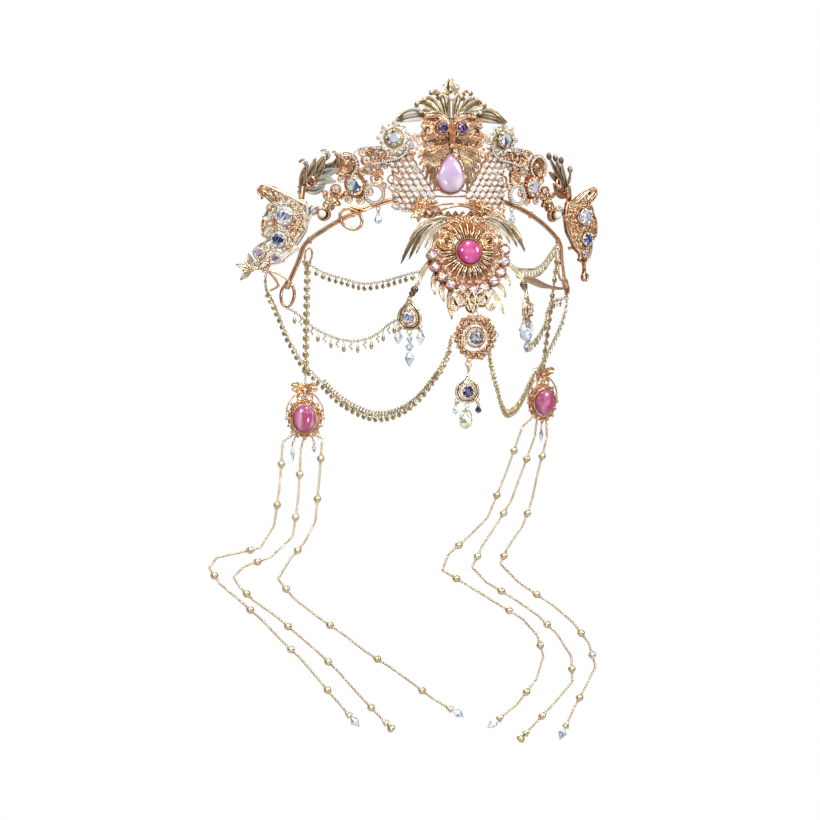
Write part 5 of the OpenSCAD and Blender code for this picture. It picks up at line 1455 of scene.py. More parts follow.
@dataclass
class Lattice:
    """What stands on the band: a shell, an oval stone, a beaded ring, rings, a knot and a pearl."""

    shell: Pair = (49.0, 13.4)
    oval: Pair = (45.0, 3.6)
    ring: Pair = (36.4, -0.6)
    cluster: Pair = (35.2, 14.4)
    knot: Pair = (55.4, -3.6)
    pearl: Pair = (58.6, -10.6)
    rings: Path = ((0, 0, 2.6), (5.4, 1.6, 2.5), (-1, -4.8, 2), (4.4, -3.2, 2), (-2.4, 4.6, 2.2), (3, 5.4, 2),
        (7.2, 5.4, 1.9), (-4.2, -1.6, 1.2), (2.6, -0.4, 1.1), (0.2, 3.2, 1), (5.2, -0.4, 1), (1.8, -5.2, 1.4),
        (-4.6, 1.8, 1.2))

    def make_shell(self, bench: Bench, metal: Piece, light: Piece, beads: Piece, side: int) -> None:
        """Builds the shell with its fan of ribs and beaded rims."""
        panel = on_front(*self.shell).sided(side)
        for i in range(11):
            angle = 20 + 14 * i
            metal.put(bench.kit.petal, panel, 0, -1.2, 0.7, (0.72, 5.2, 1.3), angle - 90)
        for i in range(4):
            light.wire(panel.line(round_line(0, -0.4, 1.2 + 0.8 * i, 18), 1.3 - 0.12 * i), 0.22, THIN, True)
        beads.bead_ring(panel, 0, 0, 5.6, 0.7, 0.8, -50, 280)
        metal.bead_ring(panel, 0, 0, 6.5, 0.36, 0.2, -40, 260)
        metal.hoop(panel, 0, 0, 4.9, 0.6, 0.5, 24)
        light.cluster(panel, 0.4, -3.4, 1.6, 1.2)

    def make(self, bench: Bench) -> None:
        """Builds the lattice on both sides."""
        kit = bench.kit
        metal = bench.open("lattice_copper", COPPER)
        light = bench.open("lattice_gold", BRASS)
        beads = bench.open("lattice_seed_beads", PEARL)
        stones = bench.open("lattice_rhinestones", CLEAR, "band_stones_left", "band_stones_right")
        blue = bench.open("lattice_drops", MIST)
        for side in SIDES:
            self.make_shell(bench, metal, light, beads, side)
            panel = on_front(*self.oval, PLATE_OUT, -20).sided(side)
            light.stone(stones, panel, 0, 0, 7.6, 0.9, 9.6)
            light.stone(stones, panel, 0, 0, 7.4, 0.8, 9.4, 4, 0.4, 0)
            metal.hoop(panel, 0, 0, 4.6, 0.5, 0.5, 28, 1.22)
            light.rope(panel.line(round_line(0, 0, 5.2, 28, 1.2), 0.6), 0.42, 1.6, True)
            for x, y, radius in ((-5.6, 5.2, 1.4), (5.4, 5.6, 1.4), (5.6, -5.2, 1.3), (-5.4, -5.4, 1.3),
                    (0, -7.6, 1.5)):
                light.cluster(panel, x, y, radius)
                metal.ring(panel, x, y, radius + 0.5, 0.4)
            panel = on_front(*self.ring).sided(side)
            for radius, grain in ((4.6, 0.62), (3.6, 0.42), (5.5, 0.36)):
                (beads if grain > 0.4 else light).bead_ring(panel, 0, 0, radius, grain, 0.8)
            metal.hoop(panel, 0, 0, 4.2, 0.35, 0.42, 26)
            for x, y, radius in ((-1.2, 7.4, 2.8), (5.2, 4.6, 2.2), (-4.4, 4, 1.7)):
                metal.ring(panel, x, y, radius)
                light.bead_ring(panel, x, y, radius, 0.32, 1.0)
                metal.cluster(panel, x, y, radius * 0.55)
            self.make_rings(bench, metal, light, beads, stones, side)
            self.make_knot(metal, light, side)
            panel = on_front(*self.pearl).sided(side)
            beads.put(kit.round, panel, 0, 0, FACE_OUT - PLATE_OUT + 2.2, 2.2)
            light.bead_ring(panel, 0, 0, 2.9, 0.36, 1.2)
            metal.put(kit.ring, panel, 0, 0, 0.7, (2.9, 2.9, 2))
            light.stone(stones, panel, 5.4, 2.2, 4, 0.7)
            light.ring(panel, 5.4, 2.2, 2.4)
            metal.wire(panel.curve([(0, 0, 0.4), (-2.6, 3, 0.5), (-4.2, 7, 0.5)], steps=4), 0.6)
            drop = Panel(Matrix.Translation((35, front_depth(35) - 1, -12.4))).sided(side)
            blue.put(kit.briolette, drop, 0, 0, 0.2, (2.0, 2.0, 3.2))
            light.put(kit.cone, drop, 0, 0, 2.6, (0.9, 0.9, 1))
            light.add(kit.link, drop.base @ Matrix.Translation((0, 0, 4.6)) @ spun(90, "X"))

    def make_rings(self, bench: Bench, metal: Piece, light: Piece, beads: Piece, stones: Piece,
            side: int) -> None:
        """Builds the cluster of rings between the star and the shell."""
        panel = on_front(*self.cluster).sided(side)
        metal.lace(panel, self.rings)
        for i, (x, y, radius) in enumerate(self.rings):
            light.bead_ring(panel, x, y, radius, 0.3, 0.95)
            if i in (0, 3, 7):
                light.stone(stones, panel, x, y, 2.4, 0.6)
        arc = smooth_line([(-9, 6.6, 1), (-4, 8.2, 1), (2, 8.2, 1), (8.6, 7.4, 1), (12, 4.4, 1)], 5)
        beads.beads(bench.kit.bead, panel.line(arc, -0.2), 1.1, 0.5)
        metal.wire(panel.line(arc, -0.8), 0.4)

    def make_knot(self, metal: Piece, light: Piece, side: int) -> None:
        """Builds the knot of petals beside the pearl."""
        panel = on_front(*self.knot).sided(side)
        metal.flower(panel, 0, 0, 4.9, 6, 0.5)
        light.flower(panel, 0, 0, 3, 5, 1.1, 30)
        for x, y, radius in ((-2, 5.2, 2.3), (-5, 2.2, 1.7), (2.8, -3.6, 1.5), (-8.2, 3.6, 1.4),
                (3.4, 3.2, 1.4)):
            metal.scroll(panel, x, y, radius, 60 * x, side, 0.42, 0.8)
            light.bead_ring(panel, x, y, radius + 0.2, 0.3, 0.6, 30, 240)
        metal.wire(panel.curve([(-9, 4, 0.5), (-4, 3, 0.7), (0, 0, 0.6), (4, -5, 0.5)], steps=4), 0.6)


@dataclass
class LeafSpray:
    """The sprays of curled leaves between the lattice and the wings."""

    leaves: tuple[Leaves, ...] = (((COPPER, 2.1, ((1.8, 1.4), (1.4, 6), (0.2, 10.4), (-0.9, 13.4))),
        (BRASS, 2.4, ((0, 3.6), (-2.6, 8.6), (-4.8, 12.6), (-6.6, 17.5))),
        (BRASS, 2.9, ((-2.6, 4), (-6.4, 9.6), (-9.6, 14.4), (-11.6, 18.2))),
        (COPPER, 1.7, ((-6, 9.4), (-12, 12.2), (-16.4, 14), (-18.4, 17))),
        (SILVERY, 2.4, ((-4.6, 6.6), (-10, 9.2), (-14.6, 10.4), (-19.4, 11.4))),
        (SILVERY, 2.4, ((-4, 5.4), (-9, 6.2), (-13.4, 6.4), (-18, 5.4))),
        (SILVERY, 1.9, ((-0.6, 1.6), (-5.4, 1), (-9, 2.2), (-11.8, 4.8))),
        (SILVERY, 1.2, ((-0.3, 11.2), (-0.9, 13.9), (0.8, 16), (3.3, 15.2))),
        (SILVERY, 1.3, ((-10.8, 16.2), (-13.2, 18.2), (-11.8, 20.4), (-9, 20.6))),
        (SILVERY, 1.1, ((-17.2, 14.4), (-18.9, 17), (-17.6, 19.4), (-15.6, 20)))),
        ((PALE_GOLD, 1.7, ((1, 3), (-6, 9), (-12.4, 14), (-18, 18.6))),
        (BRASS, 2.3, ((1.4, 4), (-4, 10), (-8.4, 14.6), (-11.2, 18))),
        (SILVERY, 1.9, ((2.2, 4), (-0.6, 9), (-3.4, 13.4), (-5, 17))),
        (SILVERY, 1.5, ((3, 4), (4.2, 7), (4.8, 10), (4.8, 12.6))),
        (COPPER, 2.3, ((0, 4), (-6, 7.4), (-12.6, 9), (-18.4, 11))),
        (COPPER, 2.8, ((3.4, 1.4), (-3, 0.6), (-9.6, 2), (-14, 5.6)))))

    stems: tuple[Path, Path] = (((1.9, -5, 0.6), (1.9, -1, 1), (1.4, 3.6, 0.9)),
        ((5, -5.4, 0.6), (4, -1, 1), (2.4, 4.4, 0.9)))

    def make(self, bench: Bench) -> None:
        """Builds the left spray with flame-like leaves and the right one with dark buds."""
        kit = bench.kit
        pieces = {COPPER: bench.open("spray_copper", COPPER),
            PALE_GOLD: bench.open("spray_leaves", PALE_GOLD, "leaf_spray_left", "leaf_spray_right"),
            SILVERY: bench.open("spray_edges", SILVERY), BRASS: bench.open("spray_flames", BRASS)}
        copper = pieces[COPPER]
        dark = bench.open("spray_bud_tips", BRONZE_AND_SHADE)
        for side in SIDES:
            panel = on_front(66, 0, 3.4).sided(side)
            for i, (finish, width, path) in enumerate(self.leaves[side > 0]):
                pieces[finish].blade(kit.blade, panel, path, width, 0.7, 0.7, 0.5 + 0.1 * (i % 3))
                middle = smooth_line(path, 5)
                for edge in (-1, 1):
                    rim = []
                    for k, point in enumerate(middle):
                        share = k / (len(middle) - 1)
                        ahead = middle[min(k + 1, len(middle) - 1)] - middle[max(k - 1, 0)]
                        across = Vector((-ahead.y, ahead.x, 0)).normalized()
                        swell = width * 0.95 * math.sin(math.pi * min(1.0, 0.12 + 0.88 * share)) ** 0.8
                        rim.append(point + across * swell * edge + Vector((0, 0, 0.9 + 0.9 * share * share)))
                    rim_piece = pieces[SILVERY] if side < 0 and i < 3 else pieces[PALE_GOLD]
                    rim_piece.wire(panel.line(rim), (0.2, 0.24, 0.22, 0.14), THIN)
                dark.wire(panel.line(lifted(middle, 0.3, 0, 1.3)), (0.3, 0.26, 0.12), THIN)
                if side > 0 and i < 4:
                    tip = path[-1]
                    dark.put(kit.round, panel, tip[0], tip[1] + 0.6, 1.4, (1.3, 2.0, 1.4), 20)
            stem = self.stems[side > 0]
            copper.wire(panel.curve(stem), (0.9, 1.7, 2.0), STOUT)
            hoop = panel.line(round_line(-3.8 if side < 0 else -8.4, 5.4, 2.3, 20, 1.15), 1.9)
            copper.wire(hoop, 0.6, closed=True)
            copper.flower(panel, 1.6, 1.8, 2.8, 6, 1.1)
            copper.cluster(panel, stem[0][0], -4.6, 1.5)


@dataclass
class Wing:
    """The filigree wings at both temples, with their stones and wires."""

    at: Triple = (78.0, 22.5, 0.0)
    yaw: float = 28.0
    seats: tuple[Path, ...] = (((0, -11.6, 8), (3.2, -23.3, 6.4), (13.2, -29.8, 4), (4.6, -32.2, 4)),
        ((1.2, -11.2, 8), (3.2, -22.8, 6.4), (2.6, -30.4, 4)))
    ribs: tuple[Path, ...] = (((-12, -11.5), (-10.4, -4.4), (-4.8, -3), (3, 1.4), (10.8, 3.8), (12.2, 1)),
        ((12.2, 1), (8.6, -2.4), (5.6, -5.4), (9.6, -9.4)), ((9.6, -9.4), (11.8, -14.4), (11.6, -20),
        (8.6, -23.4)), ((1, -31), (-4, -27.6), (-10.4, -18.8), (-12, -11.5)),
        ((-11.4, -11), (-8, -8), (-3, -5.6), (2.6, -2.6), (9, 1.6)),
        ((-11.4, -14), (-9.4, -10), (-6.4, -9), (-4.4, -11)),
        ((-9.8, -19), (-7, -17.4), (-4.4, -15.4), (-1, -16.6)))
    lace: Path = ((-7.2, -8, 2.9), (2.2, -3.9, 2.5), (7.8, -1, 2.1), (7.2, -7.6, 2.4), (-4, -17.2, 2.0),
        (-8, -14.8, 2.9), (7.6, -13.8, 2.7), (8.4, -19.4, 2.4), (-5, -21, 2.8), (-0.6, -27, 2.2),
        (-2.4, -5.4, 1.6), (5, -5.4, 1.3), (-9.6, -11.2, 1.4), (4.6, -17.2, 1.6), (-7.6, -18.6, 1.2),
        (-2.8, -24.4, 1.4), (10.4, -16.6, 1.2), (0, -17.6, 1.4), (10.4, 1.8, 1.3), (-5.6, -11.8, 1.3),
        (8, -22.4, 1.3))
    outline: Path = ((-12, -11.5), (-10.4, -4.4), (-4.8, -3), (3, 1.4), (10.8, 3.6), (8.6, -2.4), (6, -5.4),
        (9.6, -9.4), (12, -14.4), (11.6, -20), (8.6, -23.4), (4, -28), (-2, -29), (-8, -22.4), (-10.8, -18))

    def make(self, bench: Bench) -> None:
        """Builds both wings."""
        kit = bench.kit
        copper = bench.open("wing_copper", COPPER)
        pale = bench.open("wing_gold", BRASS)
        silver = bench.open("wing_edges", SILVERY)
        beads = bench.open("wing_seed_beads", PEARL)
        light = bench.open("wing_pale_stones", ICE, "wing_stones_left", "wing_stones_right")
        dark = bench.open("wing_dark_stones", NIGHT)
        violet = bench.open("wing_violet_stones", AMETHYST)
        shade = bench.open("wing_shade", BRONZE_AND_SHADE)
        for side in SIDES:
            panel = facing(self.at, self.yaw).sided(side).moved(0, 0, OVERLAY)
            main = pale if side < 0 else copper
            for i, rib in enumerate(self.ribs):
                line = panel.curve(rib, 0.7)
                (silver if side < 0 else copper).wire(line, 0.5 if i < 4 else 0.36)
                if i in (0, 3):
                    beads.beads(kit.bead, panel.curve(rib, 1.1), 1.15, 0.3)
                if i in (1, 2):
                    main.rope(panel.curve(rib, 1.3), 0.4, 1.5)
                if i != 2:
                    shade.wire([q + Vector((0, 0, -0.95)) for q in line], 0.34, THIN)
            main.lace(panel, self.lace, 0.36)
            clear = [(q[0], q[1], q[2] / 2 + 1.4) for q in self.seats[side > 0]]
            copper.fill(silver if side < 0 else pale, panel, self.outline, 2.9, 0.9, clear)
            for x, y, radius in self.lace[:10]:
                (silver if side < 0 else pale).bead_ring(panel, x, y, radius + 0.1, 0.32, 0.8)
            seats = self.seats[side > 0]
            for seat, stones in zip(seats, (light, dark, violet, violet)):
                silver.stone(stones, panel, seat[0], seat[1], seat[2], 1.0, 0, 6)
                pale.bead_ring(panel, seat[0], seat[1], seat[2] / 2 + 0.9, 0.38, 0.9)
                copper.hoop(panel, seat[0], seat[1], seat[2] / 2 + 0.9, 0.4, 0.45, 24)
            for path, width in ((((-9.6, -5), (-4, -2.6), (1.6, 1), (6, 3)), 1.2),
                    (((-10.6, -17.6), (-11, -13), (-9.4, -9.4)), 1.1),
                    (((11.6, -12), (9, -12.6), (6.6, -11)), 0.9), (((10.6, -21), (8.4, -18), (5.6, -17.4)),
                    0.9)):
                (silver if side < 0 else pale).blade(kit.blade, panel, path, width, 1.0, 0.4, 1.2)
            if side < 0:
                self.make_star(bench, panel, copper, pale, silver)
            else:
                self.make_hook(bench, panel, copper, pale)
            stub = ROOT.sided(side)
            copper.wire(stub.line([(74.6, 20.2, -26.8), (72.3, 22.4, -27.4)]), 0.9, STOUT)

    def make_star(self, bench: Bench, panel: Panel, copper: Piece, pale: Piece, silver: Piece) -> None:
        """Builds the left wing's long leaf, its wires and the star at its end."""
        kit = bench.kit
        gold = bench.open("wing_end_star", PALE_GOLD)
        hook = [(5.4, -2.6, 0.9), (8.2, 0.6, 1.2), (11.8, 2.6, 1.2), (12.9, 0.6, 1), (11.4, -1.2, 0.8),
            (12, -3.2, 0.8)]
        copper.blade(kit.blade, panel, hook, 1.5, 0.9, 0.4)
        pale.wire(panel.curve([(-11, -6, 1.4), (-5, -3, 1.6), (2, 0.6, 1.6), (9, 3.6, 1.4)]), (0.5, 0.9, 0.7),
            STOUT)
        for line in (((8.6, -23.4), (13, -25.8), (16.4, -29.2), (14.6, -33), (9.4, -35), (4.6, -35), (1, -31)),
                ((10.4, -38), (3, -40.6), (-1.4, -43.4)), ((10.4, -38), (5.6, -42.6), (3.6, -46.4),
                (7.6, -48.6)), ((8, -35), (10.4, -38), (18, -37.6))):
            copper.wire(panel.curve(line, 0.6), 0.5)
        pale.lace(panel, ((9.4, -27.4, 2.0), (8.8, -32.2, 2.0), (12.4, -34, 1.1), (5.6, -28.6, 1.3),
            (1.4, -33.2, 1.2)))
        leaf = [(-6.4, -26.4), (-0.6, -30.4), (4.6, -33.8), (8.2, -34.4)]
        silver.blade(kit.blade, panel, leaf, 1.3, 0.8, 0.4, 1.0)
        silver.wire(panel.curve(lifted(leaf, -0.8, -1.4, 0.6), steps=4), 0.4)
        for turn in (-10, -75, -135, 55):
            gold.put(kit.blade, panel, 17.6, -37.8, 0.6, (1.5, 7.6, 1.6), turn)
            gold.put(kit.petal, panel, 17.6, -37.8, 1.0, (0.9, 4.6, 1.3), turn + 30)
        pale.cluster(panel, 17.6, -37.8, 1.6, 1.2)
        copper.flower(panel, 10.4, -38, 2.2, 5, 0.9)
        copper.wire(panel.curve([(9, -36, 1.2), (11.6, -37.4, 1.4), (10, -39.6, 1.2), (8.6, -38, 1)], steps=4),
            0.45)

    def make_hook(self, bench: Bench, panel: Panel, copper: Piece, pale: Piece) -> None:
        """Builds the right wing's hook and the ring that hangs from it."""
        horn = [(4, -3, 1), (7.6, 0, 1.4), (10, 1.8, 1.2), (11.2, 1.8, 0.6)]
        copper.blade(bench.kit.toothed, panel, horn, 2.0, 1.0, 0.6)
        pale.bead_ring(panel, 10.2, 0.8, 1.1, 0.36, 1.0)
        for line in (((8.6, -23.4), (8.4, -28), (6.6, -32.4), (3, -34.8), (-0.6, -33.4), (1, -31)),
                ((3, -34.8), (3.6, -38), (3.2, -40.6))):
            copper.wire(panel.curve(line, 0.6), 0.55)
        pale.ring(panel, 4, -42.4, 2.0)
        copper.lace(panel, ((6.6, -27.4, 1.4), (5.8, -31, 1.2), (-0.8, -30, 1.2)))


@dataclass
class Bridge:
    """The beaded bar and the struts that carry the forehead piece."""

    half: float = 20.0
    depth: float = -18.0
    level: float = -11.6

    def make(self, bench: Bench) -> None:
        """Builds the bridge."""
        kit = bench.kit
        metal = bench.open("bridge_copper", COPPER, "forehead_bridge")
        light = bench.open("bridge_gold", BRASS)
        bar = [Vector((-self.half, self.depth, self.level)), Vector((self.half, self.depth, self.level))]
        dark = bench.open("bridge_teeth", BRONZE_AND_SHADE)
        metal.wire(bar, 0.8)
        for i, (point, _) in enumerate(spaced(bar, 1.9)):
            lean = spun(28 if i % 2 else -28, "Y")
            dark.add(kit.bead, Matrix.Translation(point + Vector((0, -0.7, 0.5))) @ lean
                @ sized(0.62, 0.8, 2.1))
        for i, (point, _) in enumerate(spaced(bar, 1.25)):
            lean = spun(35 if i % 2 else -35, "Y")
            (metal if i % 3 else light).add(kit.bead, Matrix.Translation(point) @ lean @ sized(0.62, 1.25, 1.5))
        for side in SIDES:
            root = ROOT.sided(side)
            for line, wire in ((((16, -4.2, -6.2), (17.4, -11, -8), (18.2, -18, -11.6)), 0.8),
                    (((9, -3.2, -5.4), (8.4, -10, -7.6), (8.2, -18, -11.6)), 0.7),
                    (((18.2, -18, -11.6), (16.4, -23.4, -13.4), (14, -27.5, -16.6)), 0.75),
                    (((5.7, -18, -11.6), (5, -23.6, -13.6), (4.4, -27.6, -16.8)), 0.75),
                    (((13.4, -18, -11.2), (6.6, -18.6, -8), (0, -18.6, -6.6)), 0.55),
                    (((18, -12, -8.4), (10, -13.4, -6.4), (1, -13, -5.6)), 0.5)):
                metal.wire(root.curve(line, steps=6), wire, STOUT)
            metal.fill(light, facing((0, -11, -8)).sided(side),
                ((10, 1.6), (19, 2.6), (21, -3), (12, -4.4), (8, -2)), 2.5)
            metal.fill(light, facing((0, -24, -14)).sided(side),
                ((0, 1.4), (6, 0.6), (7, -4), (4, -7), (0, -8)), 2.4)
            outer = facing((self.half + 0.6, self.depth - 0.3, self.level + 1), 20).sided(side)
            metal.flower(outer, 0, 0, 4.1, 6, 0.4)
            light.flower(outer, 0, 0, 2.6, 5, 1.0, 20)
            inner = facing((15.6, -3.9, -5.4), 12).sided(side)
            metal.flower(inner, 0, 0, 3.5, 5, 0.3)
            for x, y, radius in ((-4.4, 1.2, 1.7), (-3, -3, 1.6), (3.6, -2, 1.5), (0.4, -4.6, 1.3),
                    (-7.4, 0.6, 1.3)):
                metal.scroll(inner, x, y, radius, 50 * x, side, 0.36, 0.5)
                light.cluster(inner, x, y, 0.9, 0.8)


@dataclass
class Forehead:
    """The sunburst disc on the forehead with its cabochon, rim stones and feathered leaves."""

    rays: int = 24
    cab_d: float = 12.0
    rim_r: float = 18.6
    rim_stone: float = 4.5
    barbs: tuple[tuple[Span, ...], ...] = ((((5, 13.4), (16.5, 6.6)), ((8, 15.2), (21, 3.6)),
        ((11, 16.2), (25.6, 0.6)), ((14, 16.2), (29.4, -2.2)), ((17, 15.4), (33.6, -4.4)),
        ((17.6, 15.8), (31, 1))), (((4, 14.2), (14.4, 8.6)), ((6.4, 16), (18.2, 7.4)), ((9.4, 17.2), (22, 5.8)),
        ((12.4, 17.4), (25.6, 3.8)), ((15, 16.8), (29.4, 1.6)), ((16, 17.2), (28.4, 6.6))))
    curls: tuple[Span, ...] = (((13, 16.4), (26.6, 9)), ((11, 17.6), (19.4, 18.6)))
    spikes: tuple[tuple[Span, ...], ...] = ((((15.8, -8.6), (17.8, -20.4)), ((12.6, -13), (13.4, -23.8)),
        ((8.6, -16), (10, -32.6)), ((18, -3), (26, -15.8))),
        (((9, -16), (16.6, -30)), ((12.6, -13), (18, -22)), ((15.8, -8.6), (20.6, -16.2)),
        ((18, -3), (28.6, -14.6))))

    def make_disc(self, bench: Bench) -> None:
        """Builds the sunburst of wires with its rings, scrolls and lower lace."""
        kit = bench.kit
        metal = bench.open("forehead_sunburst", COPPER)
        light = bench.open("forehead_granules", BRASS)
        pale = bench.open("forehead_scrollwork", PALE_GOLD)
        panel = on_forehead()
        for i in range(self.rays * 2):
            angle = math.pi * i / self.rays
            near, far = (7.2, 12.6) if i % 2 else (6.8, 14)
            ray = [(*polar(r, angle), z) for r, z in ((near, 1.6), ((near + far) / 2, 2.1), (far, 0.7))]
            (metal if i % 2 else light).wire(panel.curve(ray, 0.5, steps=3), 0.3 if i % 2 else 0.44, THIN)
        for radius, z, wire in ((6.5, 0.6, 0.45), (13.4, 0.5, 0.5), (10.2, 0.7, 0.3), (17.2, 0.4, 0.45)):
            metal.hoop(panel, 0, 0, radius, z, wire, 60)
        metal.rope(panel.line(round_line(0, 0, 6.5, 48), 1.9), 0.3, 1.4, True)
        light.bead_ring(panel, 0, 0, 7.3, 0.3, 1.6)
        for i in range(self.rays):
            angle = FULL_TURN * i / self.rays
            x, y = polar(14.9, angle)
            metal.put(kit.ring, panel, x, y, 0.7, (1.5, 1.5, 2))
            (light if i % 2 else metal).cluster(panel, x, y, 1.0, 1.1, 5)
        metal.fill(light, panel, round_line(0, 0, 17.6, 24), 2.3, 1.2, ((0, 0, 15.6), (0, 18, 4)))
        for side in SIDES:
            face = panel.handed(side)
            for radius in (4.0, 2.9, 1.9, 0.9):
                metal.put(kit.fine_ring, face, 10.6, 5.4, 2.5, (radius, radius, 2.4))
            light.bead_ring(face, 10.6, 5.4, 4.6, 0.32, 2.2)
            light.bead_ring(face, 10.6, 5.4, 2.4, 0.26, 2.8)
            for x, y, radius in ((4.4, 15.8, 2.1), (8.8, 11.6, 2), (12.6, 10.2, 1.7), (14.6, 3.8, 1.9),
                    (7.8, 16, 1.5), (15.4, -0.6, 1.5)):
                metal.ring(face, x, y, radius, 0.8)
                light.cluster(face, x, y, radius * 0.6, 1.3)
            for line in (((5.4, -19.2), (2.6, -21), (3, -24), (6.4, -25), (8.4, -22.8), (7, -20.8)),
                    ((0.4, -20), (1.8, -22.6), (1.4, -26), (0, -29.4)),
                    ((0, -24), (2.6, -26.4), (1.4, -28.6), (0, -27)),
                    ((8.6, -23), (7, -27), (9.4, -28.8), (11.2, -26.6), (9.6, -25.4)),
                    ((3, -19), (6.6, -18.8), (9.6, -20.6), (9, -23))):
                pale.wire(face.curve(line, 2.2), 0.46)
            pale.scroll(face, 10.2, -27.2, 1.7, 0, 1, 0.4, 1.9)
            light.cluster(face, 5.4, -22.6, 1.2, 1.9)
            metal.fill(light, face, ((0, -19.4), (8.6, -18.6), (8, -22), (4, -26), (0, -28)), 2.2, 1.6)
        pale.ring(panel, 0, -26.8, 2.6)
        light.cluster(panel, 0, -22.2, 1.3)
        light.cluster(panel, 0, 16.4, 1.8, 1.2)
        metal.ring(panel, 0, 16.6, 2.2, 0.8)

    def make_stones(self, bench: Bench) -> None:
        """Builds the cabochon and the half circle of rim stones."""
        metal = bench.open("forehead_settings", COPPER)
        stones = bench.open("rim_stones", ROSE_ICE, "forehead_rim_stones")
        cabochon = bench.open("pink_cabochon", PINK, "forehead_cabochon")
        panel = on_forehead()
        for i in range(11):
            angle = math.radians(184 + 18 * i)
            metal.stone(stones, panel, *polar(self.rim_r, angle), self.rim_stone - 0.5, 0.8, 0, 4, 0.4, 45,
                10 * i)
            for turn in (-9, 9):
                edge = angle + math.radians(turn)
                metal.put(bench.kit.bead, panel, *polar(18.9, edge), 1.2, 0.55)
                metal.put(bench.kit.bead, panel, *polar(20.6, edge), 0.7, 0.4)
        dome = turned([(0.97, 0), (1, 0.2), (0.985, 0.42), (0.93, 0.6), (0.82, 0.76), (0.66, 0.89),
            (0.44, 0.97), (0.2, 1.0)], 40)
        cabochon.put(dome, panel, 0, 0, CAB_SEAT, (self.cab_d / 2, self.cab_d / 2, 4.1))

    def make_leaves(self, bench: Bench) -> None:
        """Builds the feathered leaves, their curls and the spikes below."""
        kit = bench.kit
        pale = bench.open("feathered_leaves", PALE_GOLD, "forehead_leaf_left", "forehead_leaf_right")
        bright = bench.open("feather_veins", SILVERY)
        dark = bench.open("feather_shade_and_dark_barbs", BRONZE_AND_SHADE)
        for side in SIDES:
            panel = on_forehead(-1.6).handed(side)
            barbs = self.barbs[side > 0]
            for i, (root, tip) in enumerate(barbs):
                bow = (0.5 * (root[0] + tip[0]) + 1.6, 0.5 * (root[1] + tip[1]) + 1.8)
                path = [(root[0], root[1], 0.6), (bow[0], bow[1], 1.1), (tip[0], tip[1], 0.6)]
                (dark if i in (3, 4) else pale).blade(kit.blade, panel, path, 1.25 if i in (3, 4) else 1.0, 1.0,
                    0.5)
                # painted shadow: a dark blade below and behind each barb
                below = lifted(path, 0.35, -0.75, -0.35)
                dark.blade(kit.blade, panel, below, 0.75, 0.9, 0.3)
                rim = lifted(path, 0.5, 0.9, 0.6)
                (pale if i in (3, 4) else bright).wire(panel.curve(rim), (0.3, 0.28, 0.2, 0.12), THIN)
            spine = [(1.6, 13.6, 1.2), (8, 17, 1.6), (14, 17.6, 1.6), (20, 15.4, 1)]
            pale.wire(panel.curve(spine), (0.5, 0.9, 0.8, 0.4), STOUT)
            root, tip = self.curls[side > 0]
            pale.blade(kit.blade, panel, [(*root, 0.8), (0.5 * (root[0] + tip[0]) + 1.4,
                0.5 * (root[1] + tip[1]) + 2, 1.3), (*tip, 0.8)], 1.5, 1.0, 0.6)
            for root, tip in self.spikes[side > 0]:
                bow = (0.5 * (root[0] + tip[0]) + 1.2, 0.5 * (root[1] + tip[1]) + 0.2)
                pale.blade(kit.blade, panel, [(*root, 0.6), (*bow, 1), (*tip, 0.5)], 1.25, 0.9, 0.4)
                # painted shade: a dark blade beside each spike
                dark.blade(kit.blade, panel, [(root[0] + 0.9, root[1], 0.4), (bow[0] + 0.8, bow[1], 0.7),
                    (*tip, 0.3)], 0.8, 0.9, 0.3)
            arc = [polar(18.4, math.radians(a)) for a in range(-78, 53, 10)]
            pale.wire(panel.line(arc, 0.5), 0.7, STOUT)
            pale.put(kit.petal, panel, 11.6, 15.2, 1, (2.2, 3.4, 2), 40)

    def make(self, bench: Bench) -> None:
        """Builds the whole forehead piece."""
        self.make_disc(bench)
        self.make_stones(bench)
        self.make_leaves(bench)


def ogee_line(width: float, length: float, grow: float) -> list[Vector]:
    """Draws an ogee frame: a round foot, swelling shoulders and a pointed top."""
    half = width / 2 + grow
    top = length - width / 2 + 1.6 * grow
    side = [(0.0, -half), (0.58 * half, -0.9 * half), (0.96 * half, -0.46 * half), (half, 0.06 * half),
        (0.84 * half, 0.52 * half), (0.6 * half, 0.48 * top), (0.33 * half, 0.64 * top),
        (0.13 * half, 0.82 * top), (0.02, top)]
    right = smooth_line(side, 4)
    return right + [Vector((-p.x, p.y, p.z)) for p in right[-2:0:-1]]


